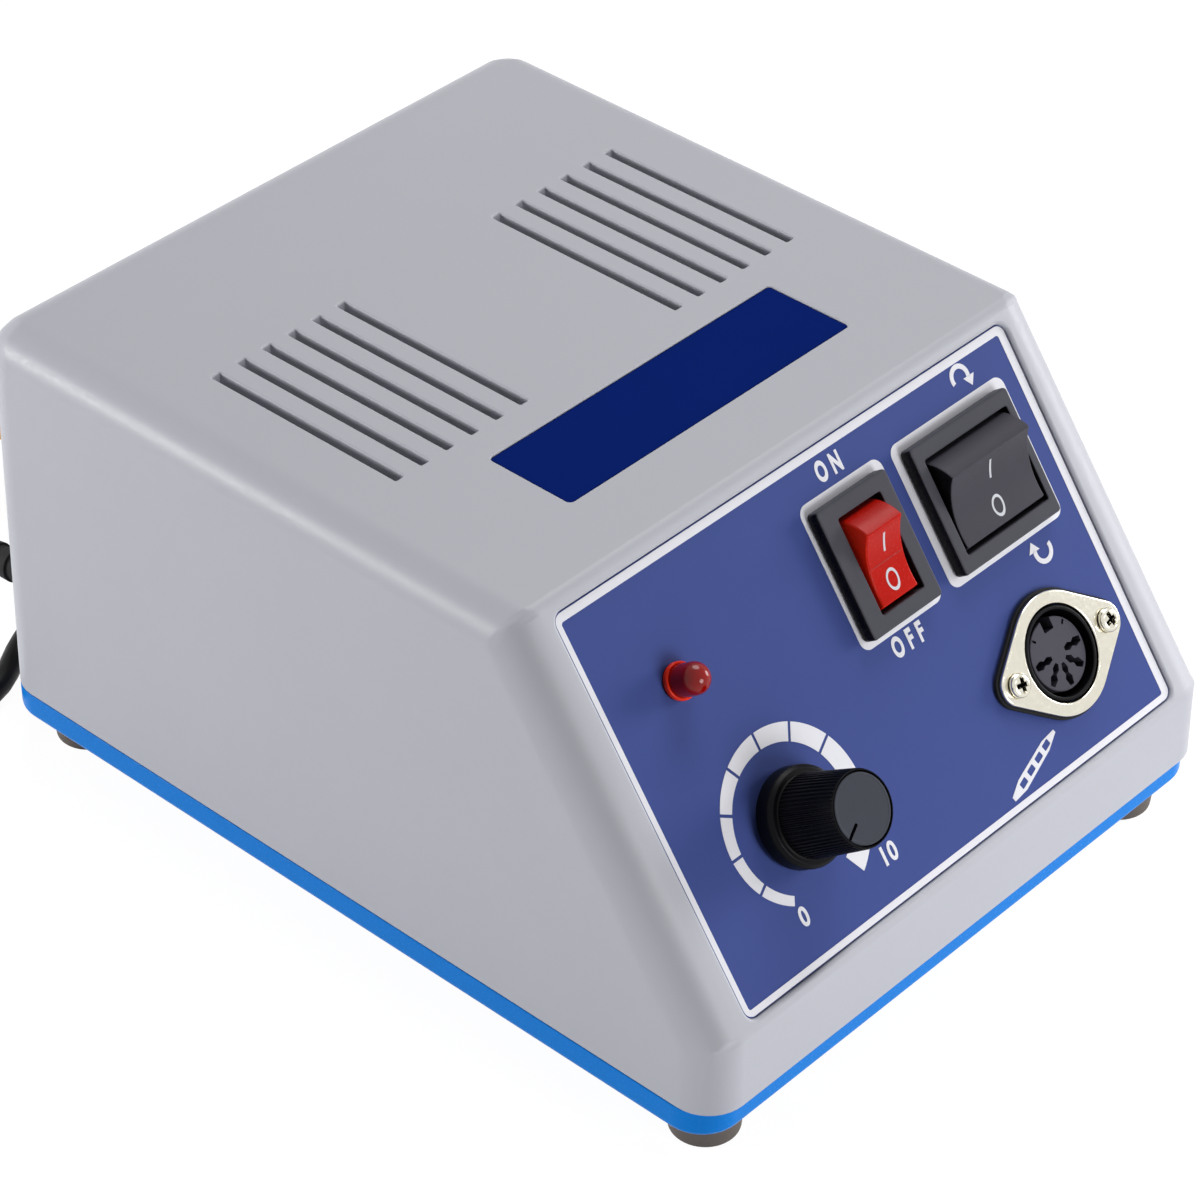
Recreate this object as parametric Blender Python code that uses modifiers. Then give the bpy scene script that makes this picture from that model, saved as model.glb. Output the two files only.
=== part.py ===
"""Control unit of a dental lab micromotor, in separate pieces. Metres, +Z up, front towards -Y."""

import math

import bmesh
import bpy
from mathutils import Matrix, Vector

# Shared clearances
GAP = 0.0003
STACK_GAP = 0.0002
FIT = 0.0003
OVERRUN = 0.002

# Case: a wedge-nosed cover on a shallow tray
CASE_WIDTH = 0.1200
CASE_DEPTH = 0.1538
FOOT_HEIGHT = 0.0065
TRAY_BAND = 0.0049
COVER_HEIGHT = 0.0694
FRONT_WALL_HEIGHT = 0.0132
SLOPE_ANGLE = math.radians(54.0)
DRAFT_ANGLE = math.radians(0.54)
COVER_WALL = 0.0030
CORNER_ROUND = 0.0068
TOP_ROUND = 0.0058
TOP_CREASE_ROUND = 0.0012
FRONT_CREASE_ROUND = 0.0008
INNER_ROUND = 0.0006
COLUMN_RADIUS = 0.0040
COLUMN_INSET = 0.0095
PILOT_DEPTH = 0.0130

# Base tray
TRAY_FRONT_SETBACK = 0.0011
TRAY_FLOOR = 0.0020
TRAY_EDGE_ROUND = 0.0012
LIP_HEIGHT = 0.0030
LIP_WALL = 0.0014

# Rubber feet and the long screws through them
FOOT_RADIUS = 0.0061
FOOT_TOE_RADIUS = 0.0055
FOOT_WELL_RADIUS = 0.0034
FOOT_WELL_DEPTH = 0.0030
CASE_SCREW_RADIUS = 0.0015
CASE_SCREW_HEAD_RADIUS = 0.0029
CASE_SCREW_HEAD_HEIGHT = 0.0018
CASE_SCREW_REACH = 0.0100

# Vent slots in the top, two groups
SLOTS_PER_GROUP = 6
SLOT_WIDTH = 0.0017
SLOT_PITCH = 0.0053
SLOT_LENGTH = 0.0390
SLOT_FIRST_X = 0.0174
SLOT_MIDDLE_Y = 0.0193

# Labels: thin plates let into the cover
LABEL_THICKNESS = 0.0004
PANEL_RECESS = 0.0014
LABEL_SIDE_ROOM = 0.0090
PANEL_LABEL_WIDTH = CASE_WIDTH - 2 * LABEL_SIDE_ROOM
PANEL_LABEL_LENGTH = 0.0656
PANEL_LABEL_MIDDLE = 0.0342
PANEL_LABEL_ROUND = 0.0016
LABEL_FIT = 0.0004
TOP_RECESS = 0.0009
TOP_LABEL_WIDTH = 0.0629
TOP_LABEL_DEPTH = 0.0161
TOP_LABEL_MIDDLE_Y = -0.01445
TOP_LABEL_ROUND = 0.0005

# Rocker switches, placed by their middle on the panel
SWITCH_MIDDLE = 0.0480
SWITCH_LENGTH = 0.0213
SWITCH_OPENING_LENGTH = 0.0161
SWITCH_BODY_LENGTH = 0.0188
SWITCH_BODY_DEPTH = 0.0170
BEZEL_HEIGHT = 0.0026
BEZEL_ROUND = 0.0006
SWITCH_SPACING = 0.0254
DIRECTION_SIDE_ROOM = 0.0275
DIRECTION_X = CASE_WIDTH / 2 - DIRECTION_SIDE_ROOM
POWER_X = DIRECTION_X - SWITCH_SPACING
POWER_BEZEL_WIDTH = 0.0155
POWER_OPENING_WIDTH = 0.0097
POWER_BODY_WIDTH = 0.0128
POWER_ROCKER_WIDTH = 0.0080
DIRECTION_BEZEL_WIDTH = 0.0231
DIRECTION_OPENING_WIDTH = 0.0198
DIRECTION_BODY_WIDTH = 0.0221
DIRECTION_ROCKER_WIDTH = 0.0189
ROCKER_PIVOT_DROP = 0.0005
ROCKER_RIDGE_REACH = 0.0059
ROCKER_RIDGE_HEIGHT = 0.0050
ROCKER_FACE_SAG = 0.0014
ROCKER_SKIRT_DROP = 0.0014
ROCKER_TILT = math.radians(17.0)
TRUNNION_RADIUS = 0.0012
TRUNNION_GRIP = 0.0005
SWITCH_WELL_DEPTH = 0.0052

# Pilot lamp
LAMP_SIDE_ROOM = 0.0242
LAMP_X = LAMP_SIDE_ROOM - CASE_WIDTH / 2
LAMP_MIDDLE = 0.0489
LAMP_RADIUS = 0.0025
LAMP_RIM_RADIUS = 0.0029
LAMP_RIM_HEIGHT = 0.0009
LAMP_DOME_CENTRE = 0.0039
LAMP_TAIL = 0.0090
LAMP_HOLDER_RADIUS = 0.0044
LAMP_HOLDER_DEPTH = 0.0050

# Speed control: knob, cap, potentiometer
KNOB_SIDE_ROOM = 0.0323
KNOB_X = KNOB_SIDE_ROOM - CASE_WIDTH / 2
KNOB_MIDDLE = 0.0221
KNOB_LIFT = 0.0008
KNOB_TOP = 0.0158
SKIRT_RADIUS = 0.0077
SKIRT_SHOULDER_RADIUS = 0.0071
SKIRT_HEIGHT = 0.0034
GRIP_FOOT_RADIUS = 0.0064
GRIP_TOP_RADIUS = 0.0059
KNOB_WELL_RADIUS = 0.0062
KNOB_WELL_TOP = 0.0052
CAP_RADIUS = 0.0053
CAP_THICKNESS = 0.0012
POINTER_WIDTH = 0.0005
POINTER_DEPTH = 0.0004
POINTER_START_SHARE = 0.42
POINTER_END_SHARE = 0.96
POINTER_ANGLE = math.radians(210.0)
SHAFT_RADIUS = 0.0030
SHAFT_TOP = 0.0130
SHAFT_FIT = 0.00025
BUSHING_RADIUS = 0.0039
BUSHING_TOP = 0.0034
NUT_HALF_FLATS = 0.0050
NUT_THICKNESS = 0.0022
POT_RADIUS = 0.0082
POT_DEPTH = 0.0090

# Motor socket: five-pole round socket behind a two-eared flange
SOCKET_SIDE_ROOM = 0.0277
SOCKET_X = CASE_WIDTH / 2 - SOCKET_SIDE_ROOM
SOCKET_MIDDLE = 0.0184
EAR_SPACING = 0.0223
FLANGE_RADIUS = 0.0099
EAR_RADIUS = 0.0032
FLANGE_BORE_RADIUS = 0.00775
FLANGE_THICKNESS = 0.0007
GASKET_MARGIN = 0.0004
GASKET_THICKNESS = 0.0006
SHELL_WALL = 0.00065
SHELL_FLOOR = 0.0015
SHELL_DEPTH = 0.0120
CONTACT_BLOCK_RADIUS = 0.0059
CONTACT_BLOCK_SINK = 0.0010
CONTACT_SLOTS = 5
CONTACT_SLOT_STEP = math.radians(45.0)
CONTACT_SLOT_INNER = 0.0019
CONTACT_SLOT_OUTER = 0.0054
CONTACT_SLOT_WIDTH = 0.0009
CONTACT_SLOT_DEPTH = 0.0040
KEY_WIDTH = 0.0021
KEY_DEPTH = 0.0018
SOCKET_SCREW_RADIUS = 0.0010
SOCKET_SCREW_HEAD_RADIUS = 0.0020
SOCKET_SCREW_HEAD_HEIGHT = 0.0010
SOCKET_SCREW_REACH = 0.0065

# Screw recesses
CROSS_WIDTH_SHARE = 0.26
CROSS_REACH_SHARE = 0.66
CROSS_DEPTH_SHARE = 0.55

# Screw form
HEAD_CROWN_SHARE = 0.6
HEAD_EDGE_SHARE = 0.45
SCREW_TIP_SHARE = 0.4

# Transformer on the tray
CORE_WIDTH = 0.0600
CORE_HEIGHT = 0.0500
CORE_STACK = 0.0320
CORE_LEG = 0.0100
CORE_BACK_ROOM = 0.0284
CORE_Y = CASE_DEPTH / 2 - CORE_BACK_ROOM - CORE_STACK / 2
WINDING_DEPTH = 0.0480
WINDING_ROUND = 0.0050
STRAP_THICKNESS = 0.0012
STRAP_WIDTH = 0.0240
STRAP_FOOT = 0.0090
STRAP_SIDE_ROOM = 0.0078
CORE_X = CORE_WIDTH / 2 + STRAP_THICKNESS + STRAP_FOOT + STRAP_SIDE_ROOM - CASE_WIDTH / 2
TRANSFORMER_SCREW_RADIUS = 0.0018
TRANSFORMER_SCREW_HEAD_RADIUS = 0.0034
TRANSFORMER_SCREW_HEAD_HEIGHT = 0.0020

# Circuit board on four posts of the tray
BOARD_SIDE_ROOM = 0.0150
BOARD_WIDTH = CASE_WIDTH - 2 * BOARD_SIDE_ROOM
BOARD_DEPTH = 0.0600
BOARD_THICKNESS = 0.0016
BOARD_Y = -0.0330
BOARD_BACK_Y = BOARD_Y + BOARD_DEPTH / 2
BOARD_ROUND = 0.0015
POST_HEIGHT = 0.0060
POST_RADIUS = 0.0032
POST_INSET = 0.0050
BOARD_SCREW_RADIUS = 0.0013
BOARD_SCREW_HEAD_RADIUS = 0.0026
BOARD_SCREW_HEAD_HEIGHT = 0.0016
BOARD_SCREW_REACH = 0.0050
CAPACITOR_RADIUS = BOARD_WIDTH / 10
CAPACITOR_HEIGHT = 0.0300
CAPACITOR_CROWN_SHARE = 0.92
CAPACITOR_SHOULDER_SHARE = 0.97
CAPACITOR_X = BOARD_WIDTH / 3
CAPACITOR_BACK_ROOM = 0.0120
CAPACITOR_Y = BOARD_BACK_Y - CAPACITOR_BACK_ROOM
RECTIFIER_SIZE = (BOARD_WIDTH / 6, 0.0060, 0.0150)
RECTIFIER_BACK_ROOM = 0.0100
RECTIFIER_Y = BOARD_BACK_Y - RECTIFIER_BACK_ROOM
RECTIFIER_CHAMFER = 0.00075
SINK_WIDTH = BOARD_WIDTH / 3
SINK_HEIGHT = 0.0250
SINK_PLATE = 0.0030
SINK_FIN_REACH = 0.0080
SINK_FIN_THICKNESS = 0.0016
SINK_FINS = 5
SINK_SIDE_ROOM = 0.0115
SINK_X = SINK_WIDTH / 2 + SINK_SIDE_ROOM - BOARD_WIDTH / 2
SINK_BACK_ROOM = 0.0150
SINK_Y = BOARD_BACK_Y - SINK_BACK_ROOM
SINK_RECTIFIER_ROOM = 0.0040
RECTIFIER_X = SINK_X + SINK_WIDTH / 2 + SINK_RECTIFIER_ROOM + RECTIFIER_SIZE[0] / 2
TRANSISTOR_SIZE = (0.0100, 0.0045, 0.0160)
TERMINAL_BLOCK_SIZE = (0.0260, 0.0080, 0.0100)
TERMINAL_BLOCK_SIDE_ROOM = 0.0250
TERMINAL_BLOCK_X = TERMINAL_BLOCK_SIDE_ROOM - BOARD_WIDTH / 2
TERMINAL_BLOCK_FRONT_SHIFT = 0.0120
TERMINAL_BLOCK_Y = BOARD_Y - TERMINAL_BLOCK_FRONT_SHIFT
TERMINAL_BLOCK_WELLS = 4
TERMINAL_WELL_RADIUS = 0.0019
TERMINAL_WELL_DEPTH = 0.0030

# Fuse holder through the back wall
FUSE_SIDE_ROOM = 0.0240
FUSE_X = CASE_WIDTH / 2 - FUSE_SIDE_ROOM
FUSE_RISE = 0.0325
FUSE_BODY_RADIUS = 0.0060
FUSE_BODY_LENGTH = 0.0280
FUSE_FLANGE_RADIUS = 0.0078
FUSE_FLANGE_THICKNESS = 0.0020
FUSE_BORE_RADIUS = 0.0036
FUSE_CAP_RADIUS = 0.0062
FUSE_CAP_HEIGHT = 0.0065
FUSE_CAP_PLUG_RADIUS = 0.0032
FUSE_CAP_CROWN_SHARE = 0.94
FUSE_CAP_PLUG_LENGTH = 0.0050
FUSE_CAP_SLOT_WIDTH = 0.0014
FUSE_CAP_SLOT_DEPTH = 0.0012
FUSE_NUT_HALF_FLATS = 0.0084
FUSE_NUT_THICKNESS = 0.0030
FUSE_LINK_RADIUS = 0.0026
FUSE_LINK_LENGTH = 0.0195

# Foot control jack through the back wall
JACK_RISE = 0.0125
JACK_BUSHING_RADIUS = 0.0045
JACK_BUSHING_REACH = 0.0050
JACK_BORE_RADIUS = 0.0033
JACK_BODY_WIDTH = 0.0160
JACK_BODY_HEIGHT = 0.0130
JACK_BODY_LENGTH = 0.0200
JACK_BORE_DEPTH = 0.0180
JACK_NUT_HALF_FLATS = 0.0068
JACK_NUT_THICKNESS = 0.0025

# Mains lead
CORD_DIAMETER = 0.0040
CORD_POINT_SPACING = 0.0090
RELIEF_SIDE_ROOM = 0.0180
RELIEF_X = RELIEF_SIDE_ROOM - CASE_WIDTH / 2
RELIEF_RISE = 0.0063
RELIEF_LENGTH = 0.0220
RELIEF_COLLAR_RADIUS = 0.0046
RELIEF_COLLAR_THICKNESS = 0.0020
RELIEF_NECK_RADIUS = 0.0033
RELIEF_ROOT_RADIUS = 0.0040
RELIEF_TIP_RADIUS = 0.0026
RELIEF_INNER_LENGTH = 0.0030
RELIEF_RIBS = 5
RELIEF_RIB_DEPTH = 0.0005
RELIEF_DROOP = math.radians(8.0)
COIL_CENTRE = (0.0110, 0.1110)
COIL_MIDDLE_RADIUS = 0.0240
COIL_LAYERS = 4
COIL_TURNS_PER_LAYER = 2
COIL_PITCH = 0.00455
COIL_ENTRY_ANGLE = math.radians(155.0)
COIL_POINTS_PER_TURN = 24
COIL_STEP_TURNS = 0.5
COIL_LEAST_GAP = 0.0004
TAIL_CLIMB_SHARES = ((0.12, 0.56), (0.20, 0.78), (0.28, 0.94), (0.36, 1.06))
TAIL_BEND_TURN_SHARE = 0.40
TAIL_BEND_DIAMETERS = 4
TAIL_BEND_SHARES = (0.1, 0.4, 0.7, 1.0)
TIE_ANGLE = math.radians(-52.0)
TIE_WIDTH = 0.0055
TIE_THICKNESS = 0.0008
TIE_FIT = 0.0006
TIE_ROUND = 0.0020
FLOOR_LIFT = 0.0001
PLUG_LENGTH = 0.0300
PLUG_WIDTH = 0.0240
PLUG_REAR_WIDTH = 0.0120
PLUG_THICKNESS = 0.0150
PLUG_SHOULDER_SHARE = 0.55
PLUG_ROUND = 0.0022
BLADE_SPACING = 0.0127
BLADE_LENGTH = 0.0160
BLADE_HEIGHT = 0.0063
BLADE_THICKNESS = 0.0015
BLADE_ROOT = 0.0020
PLUG_HEADING = math.radians(168.0)

# Free stretch of the lead from the strain relief round to the coil, case frame, chosen by hand
CORD_ROUTE = (
    (-0.0424, 0.1090, 0.0118),
    (-0.0436, 0.1180, 0.0082),
    (-0.0470, 0.1270, 0.0045),
    (-0.0540, 0.1340, 0.0026),
    (-0.0640, 0.1365, 0.0022),
    (-0.0740, 0.1325, 0.0022),
    (-0.0805, 0.1240, 0.0022),
    (-0.0825, 0.1130, 0.0022),
    (-0.0805, 0.1010, 0.0022),
    (-0.0750, 0.0905, 0.0022),
    (-0.0660, 0.0845, 0.0022),
    (-0.0555, 0.0848, 0.0022),
    (-0.0455, 0.0905, 0.0022),
    (-0.0350, 0.0960, 0.0023),
    (-0.0262, 0.1032, 0.0027),
)

# Wiring inside, case frame; the mains wires' X is from the left outer wall, the motor wires' X from the
# terminal block's right side
HARNESS_RADIUS = 0.0014
HARNESS_POINT_SPACING = 0.0065
MAINS_HARNESS_ROUTE = (
    (0.0140, 0.0570, 0.0178),
    (0.0110, 0.0470, 0.0170),
    (0.0105, 0.0300, 0.0165),
    (0.0110, 0.0080, 0.0190),
    (0.0120, -0.0120, 0.0230),
    (0.0130, -0.0300, 0.0240),
    (0.0170, -0.0415, 0.0228),
)
MOTOR_HARNESS_ROUTE = (
    (0.0130, -0.0430, 0.0225),
    (0.0230, -0.0430, 0.0240),
)

# Steps of rounds, of routes and round turned pieces
ROUND_STEPS = 4
ROUTE_PARTS = 12
DOME_STEPS = 5
SMALL_SIDES = 12
MIDDLE_SIDES = 18
LARGE_SIDES = 28

TRAY_BOTTOM = FOOT_HEIGHT
TRAY_TOP = TRAY_BOTTOM + TRAY_BAND
TRAY_FLOOR_TOP = TRAY_BOTTOM + TRAY_FLOOR
COVER_BOTTOM = TRAY_TOP + GAP
COVER_TOP = COVER_BOTTOM + COVER_HEIGHT
CREASE_Z = COVER_BOTTOM + FRONT_WALL_HEIGHT
CREASE_Y = -CASE_DEPTH / 2 + FRONT_WALL_HEIGHT * math.tan(DRAFT_ANGLE)
FLANGE_TOP = GAP + GASKET_THICKNESS + STACK_GAP + FLANGE_THICKNESS
FUSE_CAP_TOP = GAP + FUSE_FLANGE_THICKNESS + STACK_GAP + FUSE_CAP_HEIGHT
BACK_REACH = (CASE_DEPTH / 2 + FUSE_CAP_TOP * math.cos(DRAFT_ANGLE)
              + (FUSE_CAP_RADIUS - FUSE_RISE) * math.sin(DRAFT_ANGLE))
LABEL_TOP = -(PANEL_RECESS - GAP - LABEL_THICKNESS)
KNOB_FRONT = (CREASE_Y + (KNOB_MIDDLE - GRIP_TOP_RADIUS) * math.cos(SLOPE_ANGLE)
              - (LABEL_TOP + KNOB_TOP) * math.sin(SLOPE_ANGLE))
FRONT_REACH = max(CASE_DEPTH / 2, -KNOB_FRONT)
COLUMN_X = CASE_WIDTH / 2 - COLUMN_INSET
COLUMN_Y = CASE_DEPTH / 2 - COLUMN_INSET
JACK_X = (CORE_X + CORE_WIDTH / 2 - CORE_LEG + COLUMN_X - COLUMN_RADIUS) / 2
COIL_OUTER = COIL_MIDDLE_RADIUS + COIL_TURNS_PER_LAYER * COIL_PITCH / 2
COIL_BASE_Z = FLOOR_LIFT + TIE_THICKNESS + TIE_FIT + CORD_DIAMETER / 2
COIL_TOP_Z = COIL_BASE_Z + (COIL_LAYERS - 1) * COIL_PITCH


def linear(hex_colour):
    """Linear RGBA of an sRGB hex colour."""
    values = [int(hex_colour[i:i + 2], 16) / 255 for i in (1, 3, 5)]
    return [v / 12.92 if v <= 0.04045 else ((v + 0.055) / 1.055) ** 2.4 for v in values] + [1.0]


def new_material(name, colour, roughness, metallic=0.0):
    """A Principled material of one finish."""
    made = bpy.data.materials.new(name)
    made.use_nodes = True
    shader = made.node_tree.nodes["Principled BSDF"]
    shader.inputs["Base Color"].default_value = linear(colour)
    shader.inputs["Roughness"].default_value = roughness
    shader.inputs["Metallic"].default_value = metallic
    made.diffuse_color = linear(colour)
    return made


def clear_scene():
    """Take every object out of the open scene."""
    for item in list(bpy.data.objects):
        bpy.data.objects.remove(item, do_unlink=True)


def new_collection(name):
    """A collection linked to the scene."""
    made = bpy.data.collections.new(name)
    bpy.context.scene.collection.children.link(made)
    return made


clear_scene()
PARTS = new_collection("dental_micromotor_control_unit")
CUTTERS = new_collection("cutters")

COVER_GREY = new_material("cover_grey", "#B6B7BE", 0.45)
TRAY_BLUE = new_material("tray_blue", "#1E78CC", 0.40)
SOFT_BLACK = new_material("soft_black", "#1C1C1E", 0.80)
SWITCH_BLACK = new_material("switch_black", "#3A3A3E", 0.45)
KNOB_BLACK = new_material("knob_black", "#111113", 0.40)
CAP_GREY = new_material("cap_grey", "#4B4C52", 0.50)
LABEL_BLUE = new_material("label_blue", "#3F4F8E", 0.45)
LABEL_NAVY = new_material("label_navy", "#101E5C", 0.40)
CLEAR_RED = new_material("clear_red", "#D21A10", 0.20)
LAMP_RED = new_material("lamp_red", "#A01008", 0.15)
NICKEL = new_material("nickel", "#E2E1D8", 0.25, 1.0)
STEEL = new_material("steel", "#B9BABC", 0.35, 1.0)
BRASS = new_material("brass", "#C8A45A", 0.30, 1.0)
COPPER = new_material("copper", "#B0683A", 0.45, 1.0)
ALUMINIUM = new_material("aluminium", "#B4B6B8", 0.40, 1.0)
CORE_STEEL = new_material("core_steel", "#6E7074", 0.55, 1.0)
BOARD_GREEN = new_material("board_green", "#1F5A34", 0.45)
TERMINAL_GREEN = new_material("terminal_green", "#2F8048", 0.45)
CAPACITOR_BLUE = new_material("capacitor_blue", "#1C2C5E", 0.40)
FUSE_GLASS = new_material("fuse_glass", "#C9D6D4", 0.10)
WIRE_BLACK = new_material("wire_black", "#202022", 0.55)


def empty(name, place, turn=(0, 0, 0), parent=None):
    """An unseen frame that pieces are parented to."""
    made = bpy.data.objects.new(name, None)
    PARTS.objects.link(made)
    made.parent = parent
    made.location = place
    made.rotation_euler = turn
    return made


# The origin stands under the middle of the unit's whole reach, from the knob to the fuse cap
CASE = empty("case_frame", (0, (FRONT_REACH - BACK_REACH) / 2, 0))
PANEL = empty("panel_frame", (0, CREASE_Y, CREASE_Z), (SLOPE_ANGLE, 0, 0), CASE)
BACK = empty("back_frame", (0, CASE_DEPTH / 2, COVER_BOTTOM), (DRAFT_ANGLE - math.pi / 2, 0, 0), CASE)


def place_object(name, mesh, material, parent=CASE, place=(0, 0, 0), turn=(0, 0, 0), cutter=False):
    """Link a mesh as a piece, or as a cutter that the model leaves out."""
    made = bpy.data.objects.new(name, mesh)
    (CUTTERS if cutter else PARTS).objects.link(made)
    made.parent = parent
    made.location = place
    made.rotation_euler = turn
    if cutter:
        made.hide_render = True
        made.display_type = "WIRE"
    else:
        mesh.materials.append(material)
    return made


def mesh_of(name, bm):
    """A mesh from a bmesh, which is freed."""
    mesh = bpy.data.meshes.new(name)
    bm.to_mesh(mesh)
    bm.free()
    return mesh


def box_mesh(size, middle=(0, 0, 0)):
    """A box of the given size round a middle point."""
    bm = bmesh.new()
    bmesh.ops.create_cube(bm, size=1)
    bmesh.ops.scale(bm, vec=size, verts=bm.verts)
    bmesh.ops.translate(bm, vec=middle, verts=bm.verts)
    return mesh_of("box", bm)


def block_mesh(width, length, low, high, middle=(0, 0)):
    """A box between two heights, its plan round a middle point."""
    return box_mesh((width, length, high - low), (*middle, (low + high) / 2))


def rod_mesh(radius, low, high, sides, axis="Z"):
    """A cylinder along Z or X from low to high."""
    bm = bmesh.new()
    bmesh.ops.create_cone(bm, cap_ends=True, segments=sides, radius1=radius, radius2=radius, depth=high - low)
    bmesh.ops.translate(bm, vec=(0, 0, (high + low) / 2), verts=bm.verts)
    if axis == "X":
        bmesh.ops.rotate(bm, matrix=Matrix.Rotation(math.pi / 2, 3, "Y"), verts=bm.verts)
    return mesh_of("rod", bm)


def plate_mesh(outlines, low, high):
    """A flat plate from closed outlines, the inner ones holes, between two heights."""
    curve = bpy.data.curves.new("plate", "CURVE")
    curve.dimensions = "2D"
    curve.fill_mode = "BOTH"
    curve.extrude = (high - low) / 2
    for outline in outlines:
        spline = curve.splines.new("POLY")
        spline.points.add(len(outline) - 1)
        for point, (x, y) in zip(spline.points, outline):
            point.co = (x, y, 0, 1)
        spline.use_cyclic_u = True
    return mesh_from_curve(curve, (0, 0, (high + low) / 2))


def mesh_from_curve(curve, lift=(0, 0, 0)):
    """The closed mesh of a curve, its caps welded on, moved by lift."""
    carrier = bpy.data.objects.new("carrier", curve)
    bpy.context.scene.collection.objects.link(carrier)
    evaluated = carrier.evaluated_get(bpy.context.evaluated_depsgraph_get())
    mesh = bpy.data.meshes.new_from_object(evaluated)
    bpy.data.objects.remove(carrier)
    bpy.data.curves.remove(curve)
    bm = bmesh.new()
    bm.from_mesh(mesh)
    bmesh.ops.remove_doubles(bm, verts=bm.verts, dist=GAP / 1000)
    bmesh.ops.translate(bm, vec=lift, verts=bm.verts)
    bm.to_mesh(mesh)
    bm.free()
    mesh.materials.clear()
    return mesh


def tube_mesh(points, radius, resolution):
    """A round tube with filled caps along points."""
    curve = bpy.data.curves.new("tube", "CURVE")
    curve.dimensions = "3D"
    curve.bevel_depth = radius
    curve.bevel_resolution = resolution
    curve.use_fill_caps = True
    spline = curve.splines.new("POLY")
    spline.points.add(len(points) - 1)
    for point, place in zip(spline.points, points):
        point.co = (*place, 1)
    return mesh_from_curve(curve)


def arc(centre, radius, start, end, steps):
    """Points along an arc, angles in radians."""
    angles = [start + (end - start) * i / steps for i in range(steps + 1)]
    return [(centre[0] + radius * math.cos(a), centre[1] + radius * math.sin(a)) for a in angles]


def rounded_rectangle(width, length, radius, middle=(0, 0)):
    """Outline of a rectangle with round corners, anticlockwise."""
    points = []
    for quarter, (sx, sy) in enumerate(((1, 1), (-1, 1), (-1, -1), (1, -1))):
        centre = (middle[0] + sx * (width / 2 - radius), middle[1] + sy * (length / 2 - radius))
        points += arc(centre, radius, quarter * math.pi / 2, (quarter + 1) * math.pi / 2, ROUND_STEPS)
    return points


def circle(radius, sides, middle=(0, 0)):
    """Outline of a circle."""
    return arc(middle, radius, 0, 2 * math.pi * (1 - 1 / sides), sides - 1)


def hexagon(half_flats):
    """Outline of a hexagon by half its width across flats."""
    return circle(half_flats / math.cos(math.pi / 6), 6)


def turned(name, profile, material, sides, parent=CASE, place=(0, 0, 0), turn=(0, 0, 0), cutter=False):
    """A turned piece: (radius, height) points down the outer side and back up any bore."""
    bm = bmesh.new()
    verts = [bm.verts.new((radius, 0, height)) for radius, height in profile]
    closing = [(verts[-1], verts[0])] if profile[0][0] > 0 else []
    for first, second in list(zip(verts, verts[1:])) + closing:
        if first.co.x > 0 or second.co.x > 0:
            bm.edges.new((first, second))
    made = place_object(name, mesh_of(name, bm), material, parent, place, turn, cutter)
    screw = made.modifiers.new("turn", "SCREW")
    screw.steps = sides
    screw.render_steps = sides
    screw.use_merge_vertices = True
    screw.merge_threshold = GAP / 1000
    return made


def boolean(target, other, operation):
    """Cut or join two pieces exactly, live."""
    step = target.modifiers.new(operation.lower(), "BOOLEAN")
    step.solver = "EXACT"
    step.operation = operation
    step.object = other
    return target


def cut(target, mesh, parent=CASE, place=(0, 0, 0), turn=(0, 0, 0)):
    """Cut a mesh out of a piece."""
    cutter = place_object(target.name + "_cut", mesh, None, parent, place, turn, cutter=True)
    return boolean(target, cutter, "DIFFERENCE")


def join(target, mesh, parent=CASE, place=(0, 0, 0), turn=(0, 0, 0)):
    """Fuse a mesh to a piece."""
    other = place_object(target.name + "_join", mesh, None, parent, place, turn, cutter=True)
    return boolean(target, other, "UNION")


def bevel(piece, width, segments=2, angle=math.radians(40)):
    """Round a piece's sharp edges."""
    step = piece.modifiers.new("bevel", "BEVEL")
    step.width = width
    step.segments = segments
    step.limit_method = "ANGLE"
    step.angle_limit = angle
    return piece


def round_low_edge(piece, width, segments=3):
    """Round the lowest edges of a plate."""
    bm = bmesh.new()
    bm.from_mesh(piece.data)
    low = min(vert.co.z for vert in bm.verts)
    weight = bm.edges.layers.float.new("bevel_weight_edge")
    for edge in bm.edges:
        a, b = edge.verts
        flat = max(a.co.z, b.co.z) < low + GAP
        edge[weight] = 1 if flat and len({face.normal.to_tuple(1) for face in edge.link_faces}) > 1 else 0
    bm.to_mesh(piece.data)
    bm.free()
    step = piece.modifiers.new("rounds", "BEVEL")
    step.width = width
    step.segments = segments
    step.limit_method = "WEIGHT"


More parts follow.
